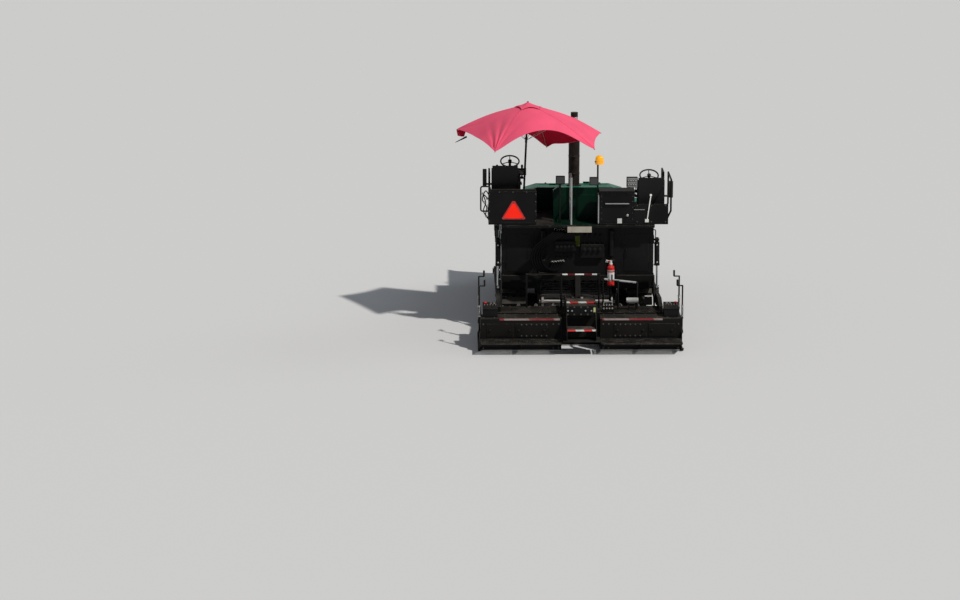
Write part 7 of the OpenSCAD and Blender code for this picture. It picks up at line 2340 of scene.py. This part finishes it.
@dataclass
class Hopper(Assembly):
    """Dress of the hopper: flashing, liners, wing bolts, chain plates and more slats."""

    front_y: float = 6.44
    rear_y: float = 4.7
    inner_x: float = 0.7

    def build(self) -> None:
        """Dresses the hopper, the wings and the conveyors."""
        self._wings()
        self._conveyors()
        self._wall()

    def _wings(self) -> None:
        """Adds rubber flashing, liner bolts and pin caps to both wings."""
        slope = math.radians(20)
        up = Vector((-math.sin(slope), 0, math.cos(slope)))
        for side in Side:
            s, body = side.value, f"wing_{side.word}"

            def floor_at(x: float, y: float, rise: float = 0.0) -> Point:
                """A place on the wing's sloped floor."""
                spot = Vector((x, y, 0.7 + (x - 0.77) * math.tan(slope))) + up * rise
                return s * spot.x, spot.y, spot.z
            liner = [floor_at(0.9 + 0.16 * i, 4.84 + 0.31 * j, 0.0) for i in range(4) for j in range(6)]
            self.recipes.bolt(f"wing_floor_bolts_{side.word}", liner,
                              (-s * math.sin(slope), 0, math.cos(slope)), Home(body, "worn_steel"),
                              radius=0.014, height=0.004, finish=Shop.STEEL, sides=16)
            flap = Shape().prism(Axis.ALONG, (6.472, 6.482), [(0.84, 0.735), (1.42, 0.945), (1.44, 1.26),
                                                              (1.31, 1.15), (0.86, 0.83)])
            make(f"wing_flashing_{side.word}", flap.flip_to(side), Shop.TRACK, Home(body, "track_rubber"),
                 bevel=0.002)
            clamp = [(s * (0.89 + 0.1 * i), 6.482, 0.775 + 0.036 * i) for i in range(6)]
            self.recipes.bolt(f"wing_flashing_bolts_{side.word}", clamp, (0, 1, 0),
                              Home(body, "hopper_steel"), radius=0.012)
            rail = [(s * 1.4902, 4.86 + 0.22 * i, 1.425) for i in range(8)]
            self.recipes.bolt(f"wing_rail_bolts_{side.word}", rail, (s, 0, 0), Home(body, "hopper_steel"),
                              radius=0.011)
            ends = Shape().lathe((0.77, 6.4402, 0.7), (0, 1, 0),
                                 [(0, 0.016), (0.001, 0.024), (0.008, 0.024), (0.01, 0.018)], 24)
            make(f"wing_pin_cap_{side.word}", ends.flip_to(side), Shop.ZINC,
                 Home("tractor", "worn_steel"), smooth=True)

    def _conveyors(self) -> None:
        """Adds the slats and chain plates between those of the frame."""
        steel = Home("tractor", "worn_steel")
        for side in Side:
            s = side.value
            for word, z in (("top", 0.6206), ("low", 0.4455)):
                self.recipes.bars(f"conveyor_slats_{word}_{side.word}", 9, (s * 0.365, 2.42, z), (0, 0.42, 0),
                                  (0.618, 0.055, 0.0245), Shop.STEEL, steel)
            for x in (0.09, 0.64):
                self.recipes.bars(f"chain_plates_{side.word}_{round(x * 100)}", 40, (s * x, 2.16, 0.6275),
                                  (0, 0.105, 0), (0.05, 0.075, 0.006), Shop.STEEL, steel)

    def _wall(self) -> None:
        """Bolts liners to the hopper's rear wall and hangs the rubber curtain over the tunnels."""
        dark = Home("tractor", "black_steel")
        y = self.rear_y
        liner = Shape()
        for s in (-1, 1):
            for x0, x1 in ((0.02, 0.7), (0.74, 1.38)):
                a, b = sorted((s * x0, s * x1))
                liner.box((a, b), (y, y + 0.008), (1.06, 1.9))
        make("hopper_wall_liners", liner, Shop.HOPPER, Home("tractor", "hopper_steel"), bevel=0.002)
        spots = [(s * x, y + 0.008, z) for s in (-1, 1) for x in (0.06, 0.36, 0.66, 0.78, 1.06, 1.34)
                 for z in (1.1, 1.48, 1.86)]
        self.recipes.bolt("hopper_liner_bolts", spots, (0, 1, 0), dark, radius=0.013, height=0.008)
        curtain = Shape()
        for s in (-1, 1):
            a, b = sorted((s * 0.05, s * 0.68))
            curtain.box((a, b), (y + 0.001, y + 0.009), (0.9, 1.04))
        make("tunnel_curtains", curtain, Shop.TRACK, Home("tractor", "track_rubber"), bevel=0.002)
        self.recipes.bolt("curtain_bolts", [(s * (0.1 + 0.13 * i), y + 0.009, 1.015) for s in (-1, 1)
                                            for i in range(5)], (0, 1, 0), dark, radius=0.011)


@dataclass
class Augers(Assembly):
    """Smooth auger flights wound by nodes, with their shafts, joints and bearing gear."""

    shaft_y: float = 1.7
    shaft_z: float = 0.38
    pitch: float = 0.32
    start: float = 0.057
    stop: float = 1.388
    thick: float = 0.014

    def build(self) -> None:
        """Winds both augers and dresses their bearings."""
        turns = (self.stop - self.start - self.thick) / self.pitch
        for side in Side:
            s, body = side.value, f"auger_{side.word}"
            home = Home(body, "worn_steel", (f"auger_{side.word}",))
            flight = self.recipes.flights.run(f"auger_flight_{side.word}", points_mesh([(0, 0, 0)]),
                                              Shop.STEEL, home, steps=150, turns=turns, inner=0.0445,
                                              outer=0.2, length=self.stop - self.start - self.thick,
                                              thickness=self.thick,
                                              first=(self.start, self.shaft_y, self.shaft_z))
            if side is Side.LEFT:
                mesh = flight.data
                mesh.transform(Matrix.Translation(-DATUM))
                mesh.transform(Matrix.Scale(-1, 4, (1, 0, 0)))
                mesh.flip_normals()
                mesh.transform(Matrix.Translation(DATUM))
            shaft = Shape().rod((0.002, self.shaft_y, self.shaft_z), (1.43, self.shaft_y, self.shaft_z),
                                0.045, 40, 0.002)
            make(f"auger_shaft_{side.word}", shaft.flip_to(side), Shop.STEEL, Home(body, "worn_steel"),
                 smooth=True)
            spots, aims = [], []
            for x in (0.42, 0.46, 0.78, 0.82, 1.1, 1.14):
                for k in range(4):
                    a = math.tau * k / 4 + 9 * x
                    way = (0, math.cos(a), math.sin(a))
                    spots.append((s * x, self.shaft_y + 0.0445 * way[1], self.shaft_z + 0.0445 * way[2]))
                    aims.append(way)
            self.recipes.bolt(f"auger_shaft_bolts_{side.word}", spots, aims, Home(body, "worn_steel"),
                              radius=0.009)
            cap = Shape().lathe((1.43, self.shaft_y, self.shaft_z), (1, 0, 0),
                                [(0, 0.03), (0.004, 0.03), (0.006, 0.022)], 28)
            make(f"auger_end_cap_{side.word}", cap.flip_to(side), Shop.ZINC, Home(body, "worn_steel"),
                 smooth=True)
        frame_home = Home("auger_frame", "black_steel")
        spots = [(s * x, 1.9548, z) for s in (-1, 1) for x in (0.2, 0.4, 0.9, 1.2) for z in (1.01, 1.05)]
        self.recipes.bolt("auger_beam_bolts", spots, (0, 1, 0), frame_home, radius=0.012)
        grease = Shape()
        for s in (-1, 1):
            grease.rod((s * 1.41, self.shaft_y, self.shaft_z + 0.12),
                       (s * 1.41, self.shaft_y, self.shaft_z + 0.14), 0.006, 12)
        case = [(0.0452 * s, self.shaft_y + 0.055 * a, self.shaft_z + 0.13 + 0.1 * b) for s in (-1, 1)
                for a in (-1, 1) for b in (0, 1)]
        self.recipes.bolt("chain_case_bolts", case, [(1 if c[0] > 0 else -1, 0, 0) for c in case],
                          frame_home, radius=0.011)
        make("bearing_grease_nipples", grease, Shop.ZINC, Home("auger_frame", "worn_steel"), smooth=True)


@dataclass
class Fore(Assembly):
    """Dress of the push bar and its rollers."""

    bar_y: Span = (6.57, 6.69)
    roller_y: float = 6.81
    roller_z: float = 0.52

    def build(self) -> None:
        """Bolts and pads the push bar, and caps and rims its rollers."""
        home = Home("push_bar", "black_steel")
        y0, y1 = self.bar_y
        self.recipes.bolt("push_bar_bolts", [(s * x, y1, z) for s in (-1, 1)
                                             for x in (0.04, 0.09, 1.12, 1.2) for z in (0.475, 0.565)],
                          (0, 1, 0), home, radius=0.014)
        caps = Shape()
        for x in (0.11, 1.09):
            caps.lathe((x, self.roller_y, self.roller_z), (-1 if x < 0.5 else 1, 0, 0),
                       [(-0.004, 0.034), (0.006, 0.034), (0.009, 0.028)], 28)
        pads = Shape()
        for x0, x1 in ((0.17, 0.4), (0.8, 1.04)):
            pads.box((x0, x1), (y0 - 0.008, y0), (0.475, 0.565))
        make("push_bar_pads", pads.both(), Shop.TRACK, Home("push_bar", "track_rubber"), bevel=0.003)
        make("push_roller_collars", caps.both(), Shop.ZINC, Home("push_bar", "worn_steel"), smooth=True)
        for side in Side:
            rings = Shape()
            for x in (0.151, 1.049):
                rings.lathe((x, self.roller_y, self.roller_z), (-1 if x < 0.5 else 1, 0, 0),
                            [(0, 0.07), (0.0, 0.078), (0.002, 0.078), (0.002, 0.07)], 36)
            make(f"push_roller_rims_{side.word}", rings.flip_to(side), Shop.ZINC,
                 Home(f"push_roller_{side.word}", "worn_steel"), smooth=True)


@dataclass
class TowGear(Assembly):
    """Dress of the tow arms and lift cylinders: pin caps, bolts, wear plates, glands and ports."""

    arm_x: Span = (1.435, 1.505)
    lift_top: Span = (2.11, 1.7)
    lift_eye: Span = (1.95, 0.83)

    def build(self) -> None:
        """Dresses the tow points and the lift cylinders."""
        x1 = self.arm_x[1]
        screed = Home("screed", "black_steel")
        pins = Shape()
        pins.lathe((x1 + 0.018, 4.67, 0.56), (1, 0, 0), [(0, 0.05), (0.006, 0.05), (0.008, 0.044)], 32)
        pins.lathe((x1 + 0.004, self.lift_top[0], self.lift_top[1]), (1, 0, 0),
                   [(0, 0.026), (0.006, 0.026), (0.008, 0.02)], 24)
        make("tow_pin_caps", pins.both(), Shop.ZINC, Home("tractor", "worn_steel"), smooth=True)
        spots = [(s * (x1 + 0.0001), y, z) for s in (-1, 1)
                 for y, z in ((0.9, 0.66), (1.0, 0.68), (1.1, 0.7), (1.3, 0.7), (1.42, 0.68))]
        spots += [(s * (x1 + 0.0001), y, 0.64) for s in (-1, 1) for y in (2.1, 2.2)]
        self.recipes.bolt("tow_arm_bolts", spots, [(1 if p[0] > 0 else -1, 0, 0) for p in spots], screed,
                          radius=0.016, height=0.012)
        wear = Shape()
        for y0, y1 in ((2.5, 2.9), (3.4, 3.8)):
            wear.box((x1, x1 + 0.005), (y0, y1), (0.6, 0.67))
        make("tow_arm_wear_plates", wear.both(), Shop.SCREED, screed, bevel=0.0015)
        top = Vector((0, *self.lift_top))
        way = (Vector((0, *self.lift_eye)) - top).normalized()
        x = sum(self.arm_x) / 2
        gland, ports = Shape(), Shape()
        for s in (-1, 1):
            at = top + Vector((s * x, 0, 0))
            gland.lathe(tuple(at + way * 0.44), tuple(way), [(0, 0.048), (0.001, 0.0515), (0.038, 0.0515),
                                                             (0.0405, 0.046), (0.044, 0.03),
                                                             (0.044, 0.0215)], 36)
            gland.lathe(tuple(at + way * 0.06), tuple(way), [(0, 0.048), (0.001, 0.0505), (0.02, 0.0505),
                                                             (0.021, 0.048)], 36)
            side_way = Vector((0, -way.z, way.y))
            for d in (0.1, 0.42):
                ports.lathe(tuple(at + way * d + side_way * -0.044), tuple(-side_way),
                            [(0, 0.015), (0.016, 0.015), (0.018, 0.011)], 16)
        make("lift_glands", gland, Shop.BLACK_CLEAN, Home("lift_barrels", "black_steel"), smooth=True)
        make("lift_ports", ports, Shop.ZINC, Home("lift_barrels", "worn_steel"), smooth=True)


ASSEMBLIES: tuple[type[Assembly], ...] = (Hoses, Umbrella, Seats, Screed, Extender, Station, Rear, Hood,
                                          Flanks, Crawlers, Hopper, Augers, Fore, TowGear)


# Finish of each node of the frame that stays in view
NODE_FINISH: dict[str, Finish] = {"main_frame": Shop.BLACK, "conveyor_floor": Shop.STEEL,
                                  "hopper_wall": Shop.BLACK, "undercarriage_left": Shop.BLACK,
                                  "undercarriage_right": Shop.BLACK, "track_left": Shop.TRACK,
                                  "track_right": Shop.TRACK, "conveyors": Shop.STEEL,
                                  "engine_block": Shop.ENGINE, "side_tank_left": Shop.GREEN,
                                  "side_tank_right": Shop.GREEN, "engine_hood": Shop.GREEN,
                                  "hood_door": Shop.GREEN, "exhaust_stack": Shop.STACK,
                                  "operator_deck": Shop.DECK, "deck_rails": Shop.GREY,
                                  "work_light": Shop.PLASTIC, "rear_bulkhead": Shop.BLACK,
                                  "tow_brackets": Shop.BLACK, "station_left": Shop.BLACK,
                                  "station_right": Shop.BLACK, "warning_triangle": Shop.FILM,
                                  "umbrella_pole": Shop.BLACK_CLEAN, "steering_wheel_left": Shop.PLASTIC,
                                  "steering_wheel_right": Shop.PLASTIC, "tool_box": Shop.BLACK_CLEAN,
                                  "tool_box_lid": Shop.BLACK_CLEAN, "mast": Shop.BLACK,
                                  "beacon_lens": Shop.AMBER, "hopper_wing_left": Shop.HOPPER,
                                  "hopper_wing_right": Shop.HOPPER, "push_bar": Shop.BLACK,
                                  "push_roller_left": Shop.STEEL, "push_roller_right": Shop.STEEL,
                                  "auger_frame": Shop.SCREED, "auger_left": Shop.STEEL,
                                  "auger_right": Shop.STEEL, "screed_main": Shop.SCREED,
                                  "screed_steps": Shop.BLACK, "screed_rails": Shop.BLACK,
                                  "fire_extinguisher": Shop.RED, "tow_arms": Shop.BLACK,
                                  "extender_left": Shop.SCREED, "extender_right": Shop.SCREED,
                                  "end_gate_left": Shop.SCREED, "end_gate_right": Shop.SCREED,
                                  "lift_barrels": Shop.BLACK_CLEAN, "lift_rods": Shop.CHROME,}


def dress_frame() -> None:
    """Gives every shown node of the frame its finish."""
    for name, finish in NODE_FINISH.items():
        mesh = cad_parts[name].data
        mesh.materials.clear()
        mesh.materials.append(finish.material())
        log.info("%s is finished in %s", name, finish.name)


def main() -> None:
    """Builds every sub-assembly in order."""
    logging.basicConfig(level=logging.INFO, format="%(name)s: %(message)s")
    Studio().build()
    recipes = Recipes()
    for kind in ASSEMBLIES:
        log.info("building %s", kind.__name__)
        kind(recipes).build()
    dress_frame()
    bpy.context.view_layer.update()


if __name__ == "__main__":
    main()
